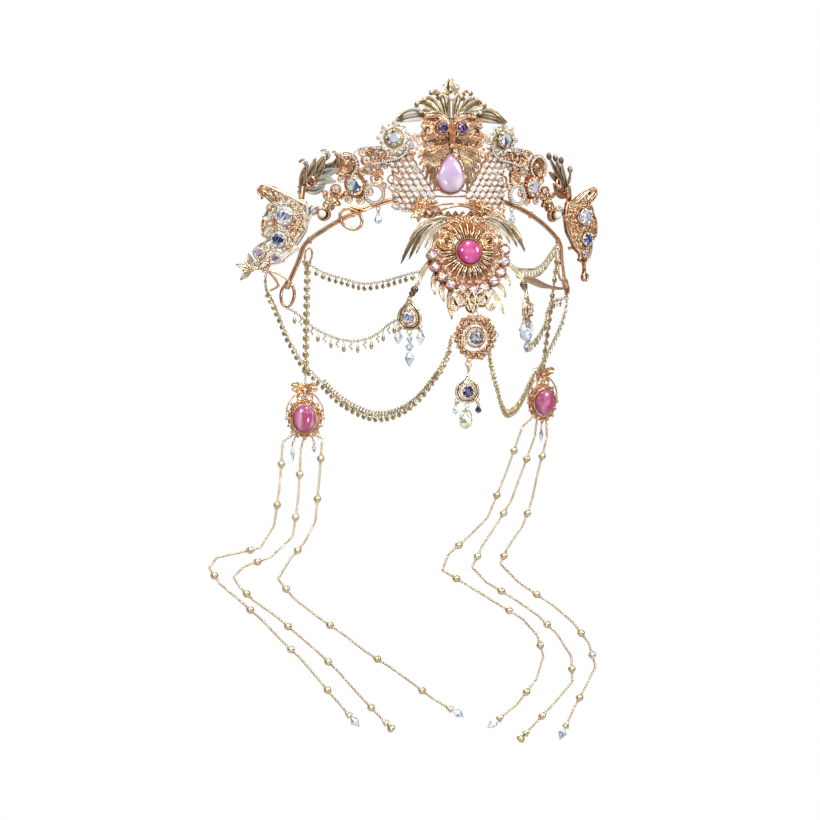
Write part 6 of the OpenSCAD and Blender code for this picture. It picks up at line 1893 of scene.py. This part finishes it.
@dataclass
class NoseRosette:
    """The rosette at the nose, with its stone and the crescent that is open below it."""

    at: Triple = (1.2, -41.0, -70.7)

    def make(self, bench: Bench) -> None:
        """Builds the rosette."""
        kit = bench.kit
        metal = bench.open("rosette_copper", COPPER, "nose_rosette")
        light = bench.open("rosette_gold", BRASS)
        dark = bench.open("rosette_claws", BRONZE_AND_SHADE)
        deep = bench.open("rosette_ground", BACKING)
        pale = bench.open("rosette_grains", SILVERY)
        stones = bench.open("rosette_stone", CLEAR, "nose_stone")
        panel = facing(self.at)
        dark.stone(stones, panel, 0, 0, 6, 1.0, 0, 8, 0.42, 0)
        light.bead_ring(panel, 0, 0, 4.1, 0.5, 1.2)
        deep.hoop(panel, 0, 0, 8.2, -0.5, 1.4)
        metal.hoop(panel, 0, 0, 4.9, 0.7, 0.4, 30)
        metal.hoop(panel, -0.4, -0.4, 7.0, 0.9, 0.4)
        metal.fill(light, panel, round_line(0, 0, 10.2, 24), 2.35, 1.1, ((0, 0, 5.4), (-2.6, -3.6, 3.4)))
        for i in range(20):
            angle = FULL_TURN * (i + 0.5) / 20
            x, y = polar(9.9, angle)
            (light if i % 2 else metal).cluster(panel, x, y, 1.2, 0.5, 5)
            pale.put(kit.grain, panel, 0.86 * x, 0.86 * y, 1.9, 0.5)
        metal.ring(panel, 0, 11.4, 1.3)
        for side in SIDES:
            metal.ring(panel, side * 10.6, 1, 1.1)
            for x, y, radius in ((3.2, 9.6, 1.5), (6.4, 8.4, 1.4), (3, -9.8, 1.4), (8.6, 5, 1.2)):
                metal.scroll(panel, side * x, y, radius, 90 * side, side, 0.34, 1.0)
        neck = Vector(self.at)
        metal.wire([neck + Vector((-2.6, -0.6, -9)), neck + Vector((-3.2, -0.6, -11.6)),
            NOSE_HINGE + Vector((0, -0.3, 2.3))], 0.6)
        light.add(kit.round, put(neck + Vector((-3.2, -0.6, -11.2)), 1.25))
        light.put(kit.ring, facing(NOSE_HINGE + Vector((0, 0, 1.5))), 0, 0, 0, (1.5, 1.5, 1.6))


@dataclass
class NoseDrop:
    """The drop that swings below the rosette."""

    size: Pair = (11.6, 14.6)

    def make(self, bench: Bench) -> None:
        """Builds the drop on its own body."""
        kit = bench.kit
        metal = bench.open("nose_drop_frame", PALE_GOLD, "drop_frame", body="nose_drop")
        dark = bench.open("nose_drop_stone", VIOLET, "drop_stones", body="nose_drop")
        green = bench.open("nose_drop_tip", GREEN, body="nose_drop")
        shade = bench.open("nose_drop_groove_shade", BRONZE_AND_SHADE, body="nose_drop")
        mist = bench.open("nose_drop_beads", MIST, body="nose_drop")
        centre = NOSE_HINGE + Vector((-0.6, 0.1, -11.4))
        eye = Matrix.Translation(NOSE_HINGE + Vector((0, 0, -0.5))) @ spun(90, "Y")
        metal.add(kit.ring, eye @ sized(1.5, 1.5, 1.6))
        metal.wire([NOSE_HINGE + Vector((0, 0, -1.9)), NOSE_HINGE + Vector((-0.5, 0.1, -3.8))], 0.5)
        panel = facing(centre + Vector((0, 0.5, 0)))
        for grow, z, wire in ((-0.3, 0.5, 0.6), (-1.5, 0.8, 0.42)):
            metal.wire(panel.line(ogee_line(*self.size, grow), z), wire, closed=True)
        # painted shade: a dark wire in the groove between the frame's two wires
        shade.wire(panel.line(ogee_line(*self.size, -0.95), 0.4), 0.36, closed=True)
        metal.stone(dark, panel, 0, -0.4, 5.6, 0.9, 0, 6, 0.4)
        metal.bead_ring(panel, 0, -0.4, 3.7, 0.36, 0.9)
        for side in SIDES:
            metal.ring(panel, side * 5.2, -4.2, 1.0)
            metal.cluster(panel, side * 4.8, -5.6, 0.8)
        metal.ring(panel, 0, -7, 1.1)
        metal.hang(mist, centre + Vector((-5.9, 0, -5.1)), kit.briolette, 3.2, 4.4)
        metal.hang(dark, centre + Vector((5.6, 0, -5.2)), kit.briolette, 3.3, 4.2)
        tip = centre + Vector((-0.8, 0, -8.2))
        metal.hang(green, tip, kit.briolette, 6.4, 8.6)
        for shift in (-1, 1):
            hoop = [tip + Vector((shift * 3.0 * math.sin(a), -0.4, -5.2 - 4.2 * math.cos(a)))
                for a in np.linspace(0.35, 2.9, 12)]
            metal.wire(hoop, 0.26, THIN)


@dataclass
class TemplePendant:
    """The pendants that hang beside the eyes from the leaves of the forehead piece."""

    size: Pair = (12.4, 16.6)
    places: tuple[tuple[Point, float, Point], ...] = (((28.4, -30, -61), 42, (25.6, -33.4, -45.2)),
        ((30.6, -30, -57.6), 56, (28.2, -33.2, -43.8)))

    def make(self, bench: Bench) -> None:
        """Builds both pendants with their drops."""
        kit = bench.kit
        pale = bench.open("temple_frames", PALE_GOLD, "temple_pendant_left", "temple_pendant_right")
        copper = bench.open("temple_claws", COPPER)
        stones = bench.open("temple_rhinestones", ICE, "temple_stones_left", "temple_stones_right")
        glass = bench.open("temple_drops", MIST)
        dark = bench.open("temple_knots_and_groove_shade", BRONZE_AND_SHADE)
        for side in SIDES:
            at, yaw, hook = self.places[side > 0]
            panel = facing(at, yaw).sided(side)
            for grow, z, wire in ((-0.4, 0.6, 0.66), (-1.7, 0.9, 0.46)):
                pale.wire(panel.line(ogee_line(*self.size, grow), z), wire, closed=True)
            # painted shade: a dark wire in the groove between the frame's two wires
            dark.wire(panel.line(ogee_line(*self.size, -1.05), 0.5), 0.4, closed=True)
            pale.wire(panel.curve([(-3.9, -2, 0.8), (-3.4, 3, 1.1), (0, 5.6, 1.2), (3.4, 3, 1.1),
                (3.9, -2, 0.8)]), 0.4)
            copper.stone(stones, panel, 0, 0, 6.4, 1.0, 0, 6)
            pale.bead_ring(panel, 0, 0, 4.1, 0.34, 1.1)
            for edge in SIDES:
                pale.ring(panel, edge * 5.7, -4.3, 1.1)
                copper.cluster(panel, edge * 5, -5.4, 1.0)
            pale.ring(panel, 0, -7.2, 1.2)
            self.hang(bench, pale, glass, panel, side)
            root = ROOT.sided(side)
            top, end = Vector(at) + Vector((0, 0, 9.6)), Vector(hook)
            line = root.line([top, end])
            pale.links(line, 1.7, 0.8, 1.2, 0.9)
            for share, size in ((0.3, 1.6), (0.62, 1.9)):
                dark.add(kit.round, put(line[0].lerp(line[1], share), size))
            for shift in (-1.4, 1.4):
                point = line[0].lerp(line[1], 0.45) + (line[1] - line[0]).normalized() * shift
                pale.add(kit.ring, upright(point, Vector((0, 1, 0)), line[1] - line[0]) @ sized(1.2))

    def hang(self, bench: Bench, metal: Piece, glass: Piece, panel: Panel, side: int) -> None:
        """Hangs the glass drops below a pendant."""
        kit = bench.kit
        for edge in SIDES:
            metal.hang(glass, panel.spot(6 * edge, -5.2, 0.6), kit.bicone, 4.4, 6.2)
        beads = ((-10.4, 1.5, 1.5), (-14.2, 2, 2), (-20, 2.4, 3.5)) if side < 0 else ((-12.2, 3.2, 3.2),
            (-18.4, 1.5, 2.5))
        previous = -8.0
        for i, (y, half_w, half_l) in enumerate(beads):
            last = i == len(beads) - 1
            seat = put(panel.spot(0, y, 0.6), half_w, half_w, half_l)
            glass.add(kit.bicone if last else kit.rounded_stone, seat)
            for shift in (-1, 1):
                cap = Matrix.Translation(panel.spot(0, y + shift * half_l, 0.6))
                metal.add(kit.bead, cap @ sized(0.6, 0.6, 0.4))
            link = panel.spot(0, 0.5 * (previous + y + half_l), 0.6)
            metal.add(kit.link, Matrix.Translation(link) @ spun(90, "X") @ sized(0.5))
            previous = y - half_l


@dataclass
class SidePendant:
    """The pendants on the cheeks: a ribbon bow above a magenta cabochon in a beaded frame."""

    places: Path = ((64.5, 39.4, -114.4), (64, 39.4, -108.4))
    yaw: float = 17.0
    cabochon: Pair = (12.0, 14.0)
    dangles: tuple[tuple[Span, ...], ...] = ((((5.4, -8), (10.6, -11.6)), ((0.4, -9.6), (2, -15.2)),
        ((-5, -8.4), (-8.4, -10.2)), ((4.6, -8.6), (6.4, -13.1)), ((-3.6, -9), (-4.6, -12.6))),
        (((-6, -7.6), (-12.8, -12.4)), ((-3.6, -9), (-4.8, -17.4)), ((2.4, -9.4), (3, -18.2)),
        ((-0.4, -9.6), (-0.8, -13.2))))

    def dome(self) -> Shape:
        """Models the cabochon."""
        profile = [(0.95, 0), (1, 0.25), (0.97, 0.48), (0.88, 0.68), (0.74, 0.83), (0.54, 0.94), (0.3, 0.99),
            (0.12, 1)]
        return turned(profile, 36)

    def make(self, bench: Bench) -> None:
        """Builds both pendants."""
        kit = bench.kit
        metal = bench.open("cheek_copper", COPPER, "side_pendant_left", "side_pendant_right")
        light = bench.open("cheek_gold", BRASS)
        deep = bench.open("cheek_ground", BACKING)
        glass = bench.open("cheek_cabochons", ROSE, "side_cabochon_left", "side_cabochon_right")
        mist = bench.open("cheek_beads", MIST, "side_beads")
        dome = self.dome()
        for side in SIDES:
            panel = facing(self.places[side > 0], self.yaw).sided(side)
            half_w, half_l = self.cabochon[0] / 2, self.cabochon[1] / 2
            glass.put(dome, panel, 0, 0, CAB_SEAT, (half_w, half_l, 4.2))
            for grow, z, wire in ((0.55, 0.8, 0.5), (0.5, 1.9, 0.36), (2.0, 0.5, 0.36)):
                metal.hoop(panel, 0, 0, half_w + grow, z, wire, 36, (half_l + grow) / (half_w + grow))
            metal.rope(panel.line(round_line(0, 0, half_w + 1.1, 36, 1.15), 1.3), 0.45, 1.6, True)
            deep.hoop(panel, 0, 0, half_w + 1.7, 0.3, 1.2, 36, 1.12)
            for i in range(16):
                angle = FULL_TURN * i / 16
                x, y = 8.2 * math.cos(angle), 9.0 * math.sin(angle)
                metal.put(kit.round, panel, x, y, 0.8, 1.0 if i % 2 else 0.7)
                light.cluster(panel, 1.14 * x, 1.14 * y, 0.8 if i % 2 else 1.2, 0.7, 5)
            for edge in SIDES:
                hoop = [(edge * 1.2, 13.6, 0.8), (edge * 5.4, 11.6, 0.9), (edge * 9, 6, 0.8),
                    (edge * 9.4, 0, 0.6)]
                metal.wire(panel.curve(hoop), 0.4)
            self.make_bow(bench, metal, light, panel)
            for root, tip in self.dangles[side > 0]:
                metal.links(panel.line([root, tip], 0.6), 1.5, 0.62, 1.0, 0.7)
                light.cluster(panel, root[0], root[1], 1.1, 0.8)
        for side, x, y, half_w, half_l in ((-1, 6.4, -18, 1.2, 4), (-1, -4.6, -15.5, 1.2, 2),
                (1, -0.8, -17.4, 1.3, 3.3)):
            panel = facing(self.places[side > 0], self.yaw).sided(side)
            mist.add(kit.bicone, put(panel.spot(x, y, 0.6), half_w, half_w, half_l))
            metal.add(kit.bead, put(panel.spot(x, y + half_l, 0.6), 0.55))

    def make_bow(self, bench: Bench, metal: Piece, light: Piece, panel: Panel) -> None:
        """Builds the ribbon bow above a pendant."""
        kit = bench.kit
        for side in SIDES:
            face = panel.handed(side)
            metal.blade(kit.petal, face, [(0.4, 14.2, 0.6), (3, 16.6, 1.4), (7, 17.2, 0.8)], 2.0, 0.9, 0.3)
            metal.blade(kit.petal, face, [(0.4, 14.2, 0.5), (3.2, 14.4, 1.2), (6.6, 15, 0.6)], 1.6, 0.9, 0.2)
            metal.blade(kit.blade, face, [(0.4, 13.8, 0.5), (2.4, 12.4, 0.9), (4.2, 10.6, 0.5)], 1.1, 0.9, 0.2)
            metal.ring(face, 2.6, 10.2, 1.2)
            light.wire(face.curve([(0.6, 14.4, 1.4), (3.4, 16.6, 2), (6.6, 17, 1.2)], steps=4), 0.26, THIN)
        metal.put(kit.round, panel, 0, 14.2, 1.2, (1.3, 1.6, 1.0))
        light.cluster(panel, 0, 11.4, 1.4, 0.9)


def hung_frame(point: Vector, along: Vector) -> Matrix:
    """Gives a frame at a chain's point: X along the chain on the level, Z up."""
    level = Vector((along.x, along.y, 0))
    level = level.normalized() if level.length > 0.2 else Vector((1, 0, 0))
    turned_to = Matrix((level, Vector((-level.y, level.x, 0)), Vector((0, 0, 1)))).transposed().to_4x4()
    return Matrix.Translation(point) @ turned_to


class Charm(Enum):
    """What hangs from a chain's links."""

    DISC = 1
    TEAR = 2
    TWIST = 3
    FLOWER = 4
    NONE = 5


@dataclass
class Chains:
    """The swags, the straight disc chains and what hangs from them."""

    upper_left: Path = ((-65.8, 21.8, -35.9), (-59, 17, -40), (-51, 7, -43), (-45, -3, -45), (-38, -13, -44),
        (-32, -23, -41.6), (-28, -29, -40), (-23.8, -32.2, -38.8))
    middle_left: Path = ((-74, 37, -58), (-70, 33, -60.5), (-64, 24, -67), (-58, 16, -71), (-53, 8, -73),
        (-48, 1, -73.5), (-43, -6, -72), (-39, -12, -69), (-36, -18, -65), (-32.1, -25.6, -61.6))
    lower_left: Path = ((-86.8, 28, -38.8), (-87, 30, -44), (-86, 31, -48.4), (-83, 31, -54), (-80, 29, -62),
        (-77, 26, -71), (-74, 22, -78), (-71, 19, -84), (-67, 15, -89), (-62, 9, -95), (-57, 3, -101),
        (-52, -2, -105), (-47, -8, -108), (-41, -15, -109.5), (-35, -22, -108), (-29, -28, -104),
        (-24, -34, -98), (-21, -37, -93), (-17, -41, -86), (-13, -41.8, -78), (-11.4, -41.6, -71.6))
    upper_right: Path = ((65, 18.8, -25.5), (62.4, 16.6, -27.2), (58.5, 11.6, -30), (54, 5.6, -33.4),
        (48, -2.6, -36.4), (41, -12, -38), (34, -21.4, -38), (28, -28.8, -37.8), (24.4, -32.2, -37.2))
    middle_right: Path = ((74.2, 33.2, -53.6), (69.6, 29.2, -54.2), (66, 25, -54.6), (61.6, 19.6, -56.6),
        (58, 15, -60.6), (55.6, 11, -66), (50, 4, -71.5), (42, -6, -76), (37.6, -13, -75), (37.4, -17, -70.6),
        (37.2, -20, -65.4), (33.4, -24.6, -62.4))
    lower_right: Path = ((8.8, -40.2, -75.5), (8.4, -41.4, -81), (9.6, -42.6, -89), (12.4, -42.4, -98),
        (15.6, -39.5, -105.5), (20, -34, -108.5), (26, -27, -107.5), (31, -21, -104.5), (37, -13.5, -99),
        (42, -7, -94), (47, -1, -89.5), (53, 6.5, -85), (58, 13, -80.5), (63, 19.5, -75.5), (68, 25.6, -70.5),
        (73, 31.5, -63.5), (75.6, 34.4, -57.6), (76.2, 34.9, -53.4))
    disc_top: Triple = (66.4, 24.6, -36.4)

    def links(self, metal: Piece, line: Sequence[Vector], size: float) -> None:
        """Lays the links of a chain of one size along a line."""
        metal.links(line, size * 1.75, size * 0.8, size * 1.1, size * 0.9)

    def charm(self, metal: Piece, kind: Charm, frame: Matrix, size: float, swing: float) -> None:
        """Hangs one charm below a chain.

        Args:
            metal: piece that gets it.
            kind: what it is.
            frame: frame of the chain's point.
            size: radius of the charm.
            swing: turn about the vertical in degrees.
        """
        kit = metal.kit
        hang = frame @ spun(swing, "Z")
        face = hang @ spun(90, "X")
        metal.add(kit.link, hang @ Matrix.Translation((0, 0, -0.75)) @ spun(90, "Y") @ sized(0.42))
        if kind is Charm.DISC:
            metal.add(kit.disc, face @ put((0, -1.0 - size, -0.2), size, size, 1.2))
        elif kind is Charm.TEAR:
            metal.add(kit.drop, hang @ put((0, 0, -2.3 - size), size * 0.8, size * 0.6, size * 1.9))
        elif kind is Charm.TWIST:
            line = [hang @ Vector((size * 0.6 * math.cos(a), size * 0.25 * math.sin(a), -1.2 - 0.42 * a))
                for a in np.linspace(0, 8, 16)]
            metal.wire(line, 0.3, THIN)
        elif kind is Charm.FLOWER:
            panel = Panel(face @ Matrix.Translation((0, -1.2 - size, 0)))
            metal.flower(panel, 0, 0, size * 1.25, 5, 0)

    def swag(self, metal: Piece, route: Points, pitch: float, kinds: Sequence[Charm], size: float,
            link: float = 0.72) -> None:
        """Builds one swag with its charms."""
        line = smooth_line(route, 8)
        self.links(metal, line, link)
        for i, (point, along) in enumerate(spaced(line, pitch)[1:-1]):
            self.charm(metal, kinds[i % len(kinds)], hung_frame(point, along), size, 12 * math.sin(1.7 * i))

    def comb(self, metal: Piece, line: Sequence[Vector], pitch: float, spread: float) -> None:
        """Lays short slanting bars with a bead at both ends, like ears of wheat, along a line."""
        for point, along in spaced(line, pitch):
            frame = hung_frame(point, along)
            for hand in (-1, 1):
                lean = Vector((0.35, 0, hand * 0.8)).normalized() * spread
                start, end = frame @ Vector((0, 0, 0)), frame @ lean
                metal.wire([start, end], (0.46, 0.26), THIN)
                metal.add(metal.kit.bead, put(end, 0.62, 0.5, 0.7))

    def make(self, bench: Bench) -> None:
        """Builds all chains."""
        metal = bench.open("swags_left", CHAIN_GOLD, "swag_upper_left", "swag_middle_left", "swag_lower_left")
        self.swag(metal, self.upper_left, 3.9, (Charm.DISC,), 1.35)
        self.swag(metal, self.middle_left, 4.6, (Charm.TEAR, Charm.TWIST), 1.3)
        self.swag(metal, self.lower_left, 3.6, (Charm.DISC,), 1.35, 0.8)
        low = smooth_line(self.lower_left[9:], 8)
        self.comb(metal, low, 1.9, 1.7)
        metal = bench.open("swags_right", CHAIN_GOLD, "swag_upper_right", "swag_middle_right",
            "swag_lower_right")
        self.swag(metal, self.upper_right, 2.4, (Charm.TWIST, Charm.TEAR), 0.9)
        self.swag(metal, self.middle_right, 4.2, (Charm.FLOWER, Charm.DISC), 1.3, 0.95)
        lower = smooth_line(self.lower_right, 8)
        self.links(metal, lower, 0.9)
        self.comb(metal, lower[: len(lower) // 2 + 6], 1.9, 1.9)
        for i, (point, along) in enumerate(spaced(lower[len(lower) // 2 :], 4.2)[1:-1]):
            self.charm(metal, Charm.DISC if i % 2 else Charm.FLOWER, hung_frame(point, along), 1.3, 15)
        self.make_disc_chains(bench)

    def make_disc_chains(self, bench: Bench) -> None:
        """Builds the straight chains of discs from the band to the cheek pendants."""
        kit = bench.kit
        metal = bench.open("disc_chains", CHAIN_GOLD, "disc_chain_left", "disc_chain_right")
        for side, place in zip(SIDES, SidePendant().places):
            root = ROOT.sided(side)
            top = root.spot(*self.disc_top)
            foot = root.spot(place[0], place[1] - 0.6, place[2] + 16.2)
            self.links(metal, [top, foot], 0.62)
            down = (foot - top).normalized()
            for i in range(13):
                point = top + down * (3.4 + 4.3 * i)
                if (point - top).length > (foot - top).length - 2:
                    break
                panel = Panel(root.base @ put(root.base.inverted() @ point, 1) @ spun(24, "Z") @ spun(90, "X"))
                metal.put(kit.disc, panel, 0, 0, -0.2, (1.8, 1.8, 1.4))
                for edge in (-2.1, 2.1):
                    metal.put(kit.bead, panel, 0, edge, 0, 0.42)
            hanger = facing(Vector(self.disc_top) + Vector((0, 0.5, 0.6)), 45).sided(side)
            for edge in SIDES:
                metal.wire(hanger.line([(0, -3.2, 0.5), (edge * 2.3, 1.6, 0.5)]), 0.45)
            metal.wire(hanger.line([(-2.4, 1.6, 0.5), (2.4, 1.6, 0.5)]), 0.6)
            metal.cluster(hanger, 0, 0.2, 1.3)


@dataclass(frozen=True)
class Strand:
    """The route of one hanging strand, the spans that carry a ball, and what ends it."""

    points: Path
    balls: tuple[int, ...]
    glass: bool = True


@dataclass
class Strands:
    """The six long strands of snake chain with gold balls."""

    radius: float = 0.62
    ball_d: float = 4.0
    left: tuple[Strand, ...] = (Strand(((-75.6, 42.2, -127.3), (-78.4, 36.6, -148), (-82.4, 32, -168),
        (-90, 30, -179), (-101, 29, -181), (-113, 28, -183), (-117, 28, -188), (-112, 26, -196),
        (-103, 24, -204), (-91, 22, -215), (-82, 20, -225), (-72, 18, -235), (-63, 16, -246), (-55, 14, -256),
        (-50, 13, -262)), (0, 1, 3, 6, 8, 10, 12)), Strand(((-66.6, 39.4, -131), (-69.2, 35, -155),
        (-73, 31, -174), (-85, 29, -184), (-99, 28, -188), (-105, 26, -193), (-102, 25, -198), (-95, 24, -205),
        (-83, 22, -214), (-73, 20, -223), (-63, 18, -232), (-53, 17, -242), (-42, 15, -255), (-31, 12, -267)),
        (0, 1, 3, 6, 8, 10, 12), False), Strand(((-56.3, 36.5, -126), (-58, 34.8, -144), (-61, 32, -167),
        (-67, 30, -177), (-75, 28, -185), (-82, 26, -195), (-74, 24, -205), (-63, 22, -214), (-49, 21, -224),
        (-38, 19, -233), (-26, 17, -241), (-14, 16, -250), (-4, 14, -258), (3.4, 13, -262.6)),
        (0, 1, 3, 5, 7, 9, 11)))
    right: tuple[Strand, ...] = (Strand(((51.5, 35.2, -121.7), (42.6, 34.6, -145), (32, 33, -168),
        (21, 30, -177), (9, 28, -186), (5.4, 27, -194), (20, 25, -203), (34, 23, -212), (47, 22, -220),
        (55, 20, -229), (58, 18, -240), (53.6, 17, -252), (42, 14, -264), (34, 12.4, -269)),
        (0, 1, 3, 5, 7, 9, 11)), Strand(((59.3, 37.6, -127.2), (50, 35.4, -149), (45, 33.6, -160),
        (36, 31, -172), (28, 29, -182), (21.6, 27, -193), (29, 26, -201), (45, 24, -211), (56, 22, -219),
        (66, 20, -229), (73.4, 18, -241), (73.4, 16, -254), (63, 14, -264), (48, 11.4, -277)),
        (0, 2, 4, 6, 8, 10, 12), False), Strand(((66.9, 39.9, -128.1), (61, 37, -146), (57, 34.6, -160),
        (51, 32, -173), (42, 30, -184), (37.4, 28, -192), (47, 26, -202), (66, 24, -215), (76, 22, -224),
        (84, 20, -235), (87, 18, -247), (80, 15, -257.6), (73.6, 13.4, -267), (69.6, 12, -274)),
        (0, 2, 4, 6, 8, 9, 11)))

    def make(self, bench: Bench) -> None:
        """Builds the strands, their balls, caps and tips."""
        kit = bench.kit
        barrel = turned([(0.7, -0.5), (1, -0.3), (1, 0.3), (0.7, 0.5)], 6)
        glass = bench.open("strand_tips", MIST, "strand_glass")
        for name, strands in (("left", self.left), ("right", self.right)):
            nodes = [f"strand_{k}_{name}" for k in ("outer", "middle", "inner")]
            chain = bench.open(f"strands_{name}", PALE_GOLD, *nodes)
            balls = bench.open(f"strand_bead_{name}", PALE_GOLD, f"strand_balls_{name}")
            for strand in strands:
                points = [Vector(p) for p in strand.points]
                for a, b in zip(points, points[1:]):
                    for point, along in spaced([a, b], 1.15)[:-1]:
                        seat = pointed(point + along * 0.55, along)
                        chain.add(barrel, seat @ sized(self.radius, self.radius, 1.05))
                for i in strand.balls:
                    middle = (points[i] + points[i + 1]) / 2
                    frame = pointed(middle, points[i + 1] - points[i])
                    balls.add(kit.round, put(middle, self.ball_d / 2))
                    for shift in (-1.9, 1.9):
                        balls.add(kit.ring, frame @ put((0, 0, shift), 0.85, 0.85, 1.2))
                end = pointed(points[-1], points[-1] - points[-2])
                balls.add(kit.cone, end @ put((0, 0, 0.2), 1.9, 1.9, 3.4))
                if strand.glass:
                    glass.add(kit.bicone, end @ put((0, 0, 7), 2.2, 2.2, 3.2))
                    balls.add(kit.bead, end @ put((0, 0, 10.2), 0.5))
                else:
                    balls.add(kit.drop, end @ put((0, 0, 5.8), 2.4, 2.4, -2.4))


# ---------------------------------------------------------------- studio and scene


@dataclass
class Studio:
    """The camera, the pale floor and the soft lights."""

    camera_at: Triple = (-0.32281, -1.05685, -0.0315)
    aim: Triple = (-0.02035, -0.00204, -0.10824)
    lens: float = 96.585
    floor_z: float = -0.56
    room: tuple[Pair, ...] = ((0.0, 0.45), (0.3, 0.3), (0.42, 0.08), (0.5, 0.85), (0.57, 0.1), (0.69, 1.8),
        (0.78, 0.2), (0.88, 2.4), (1.0, 0.9))
    lamps: tuple[tuple[Point, float, float, Point], ...] = (((-0.9, -1.0, 0.7), 0.5, 9.0, (1.0, 0.98, 0.95)),
        ((1.0, -0.7, 0.5), 0.4, 6.0, (1.0, 0.97, 0.93)), ((0.1, -0.5, 1.2), 0.4, 7.0, (1.0, 1.0, 1.0)),
        ((-0.2, -1.3, -0.3), 0.3, 2.0, (1.0, 1.0, 1.0)), ((0.0, 1.1, 0.4), 0.6, 4.0, (1.0, 1.0, 1.0)))

    def make_world(self) -> None:
        """Builds a white backdrop and, for what it lights, a room with bright and dark zones."""
        world = bpy.data.worlds.new("studio")
        bpy.context.scene.world = world
        world.use_nodes = True
        graph = Graph(world.node_tree)
        place = graph.add("TexCoord").outputs["Generated"]
        parts = graph.add("SeparateXYZ", {0: place}).outputs
        ramp = graph.add("ValToRGB", {0: graph.span(parts["Z"], -1.0, 1.0)})
        for spot, value in self.room:
            elements = ramp.color_ramp.elements
            element = elements.new(spot) if spot not in (0.0, 1.0) else elements[int(spot)]
            element.color = rgba((value,) * 3)
        stripes = graph.add("TexWave", {"Vector": place, "Scale": 1.3, "Distortion": 2.0}, bands_direction="X")
        soft = graph.level(stripes.outputs["Fac"], 0.3, 1.3)
        ends = graph.level(graph.product(parts["Y"], parts["Y"]), 0.45, 1.15)
        mixed = graph.mix(1.0, ramp.outputs[0], graph.product(soft, ends), blend_type="MULTIPLY")
        room = graph.add("Background", {"Color": mixed, "Strength": 1.0})
        white = graph.add("Background", {"Color": (1, 1, 1, 1), "Strength": 1.0})
        graph.hide_from_camera(room, white, "OutputWorld")

    def make_floor(self) -> None:
        """Builds the pale floor."""
        deselect_all()
        bpy.ops.mesh.primitive_plane_add(size=60)
        floor = bpy.context.object
        floor.name = "pale_floor"
        for vertex in floor.data.vertices:
            vertex.co.z = self.floor_z
        material = bpy.data.materials.new("pale_floor")
        material.use_nodes = True
        graph = Graph(material.node_tree)
        seen = graph.add("Emission", {"Color": (1, 1, 1, 1), "Strength": 1.0})
        lit = graph.add("BsdfPrincipled", {"Base Color": (0.5, 0.5, 0.5, 1), "Roughness": 0.9})
        graph.hide_from_camera(lit, seen, "OutputMaterial")
        floor.data.materials.append(material)

    def aimed(self, data: bpy.types.ID, place: Point) -> bpy.types.Object:
        """Sets up a camera or a lamp that looks at the crown."""
        item = bpy.data.objects.new(data.name, data)
        bpy.context.scene.collection.objects.link(item)
        item.location = place
        item.rotation_euler = (Vector(self.aim) - Vector(place)).to_track_quat("-Z", "Y").to_euler()
        return item

    def make(self) -> None:
        """Builds the studio."""
        data = bpy.data.cameras.new("camera")
        data.lens = self.lens
        data.sensor_width = 36
        data.clip_start = 0.05
        bpy.context.scene.camera = self.aimed(data, self.camera_at)
        for i, (place, size, power, colour) in enumerate(self.lamps):
            light = bpy.data.lights.new(f"softbox_{i}", "AREA")
            light.shape = "DISK"
            light.size = size
            light.energy = power
            light.color = colour
            self.aimed(light, place)
        bpy.context.scene.view_settings.view_transform = "Standard"
        self.make_world()
        self.make_floor()


# The kept backing plates get the deep copper, whose darkness also stands in as painted shade behind the
# filigree.
KEPT_SOLIDS = {BACKING: ("centre_filigree", "stone_net", "band_lattice", "forehead_disc", "wing_right"),
    SILVERY: ("wing_left",)}


def dress_solids(nodes: dict[str, bpy.types.Object], palette: Palette) -> None:
    """Gives the solids that stay in view their finish.

    Args:
        nodes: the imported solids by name.
        palette: the materials.
    """
    for finish, families in KEPT_SOLIDS.items():
        for name, node in nodes.items():
            if name.startswith(families):
                for slot in node.material_slots:
                    slot.material = palette.of(finish)
        LOG.info("%s: solids dressed", finish.name)


def main() -> None:
    """Loads the solids, builds the studio and every piece, and hands the scene back."""
    logging.basicConfig(level=logging.INFO, format="%(message)s")
    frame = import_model()
    Studio().make()
    bench = Bench()
    assemblies = (Band(), Palmette(), Mask(), CopperLeaves(), Teardrop(), StarMount(), StoneNet(), Lattice(),
        LeafSpray(), Wing(), Bridge(), Forehead(), NoseRosette(), NoseDrop(), TemplePendant(), SidePendant(),
        Chains(), Strands())
    dress_solids(frame["nodes"], bench.palette)
    for assembly in assemblies:
        assembly.make(bench)
        bench.close()
        LOG.info("%s is done", type(assembly).__name__)
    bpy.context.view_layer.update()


if __name__ == "__main__":
    main()
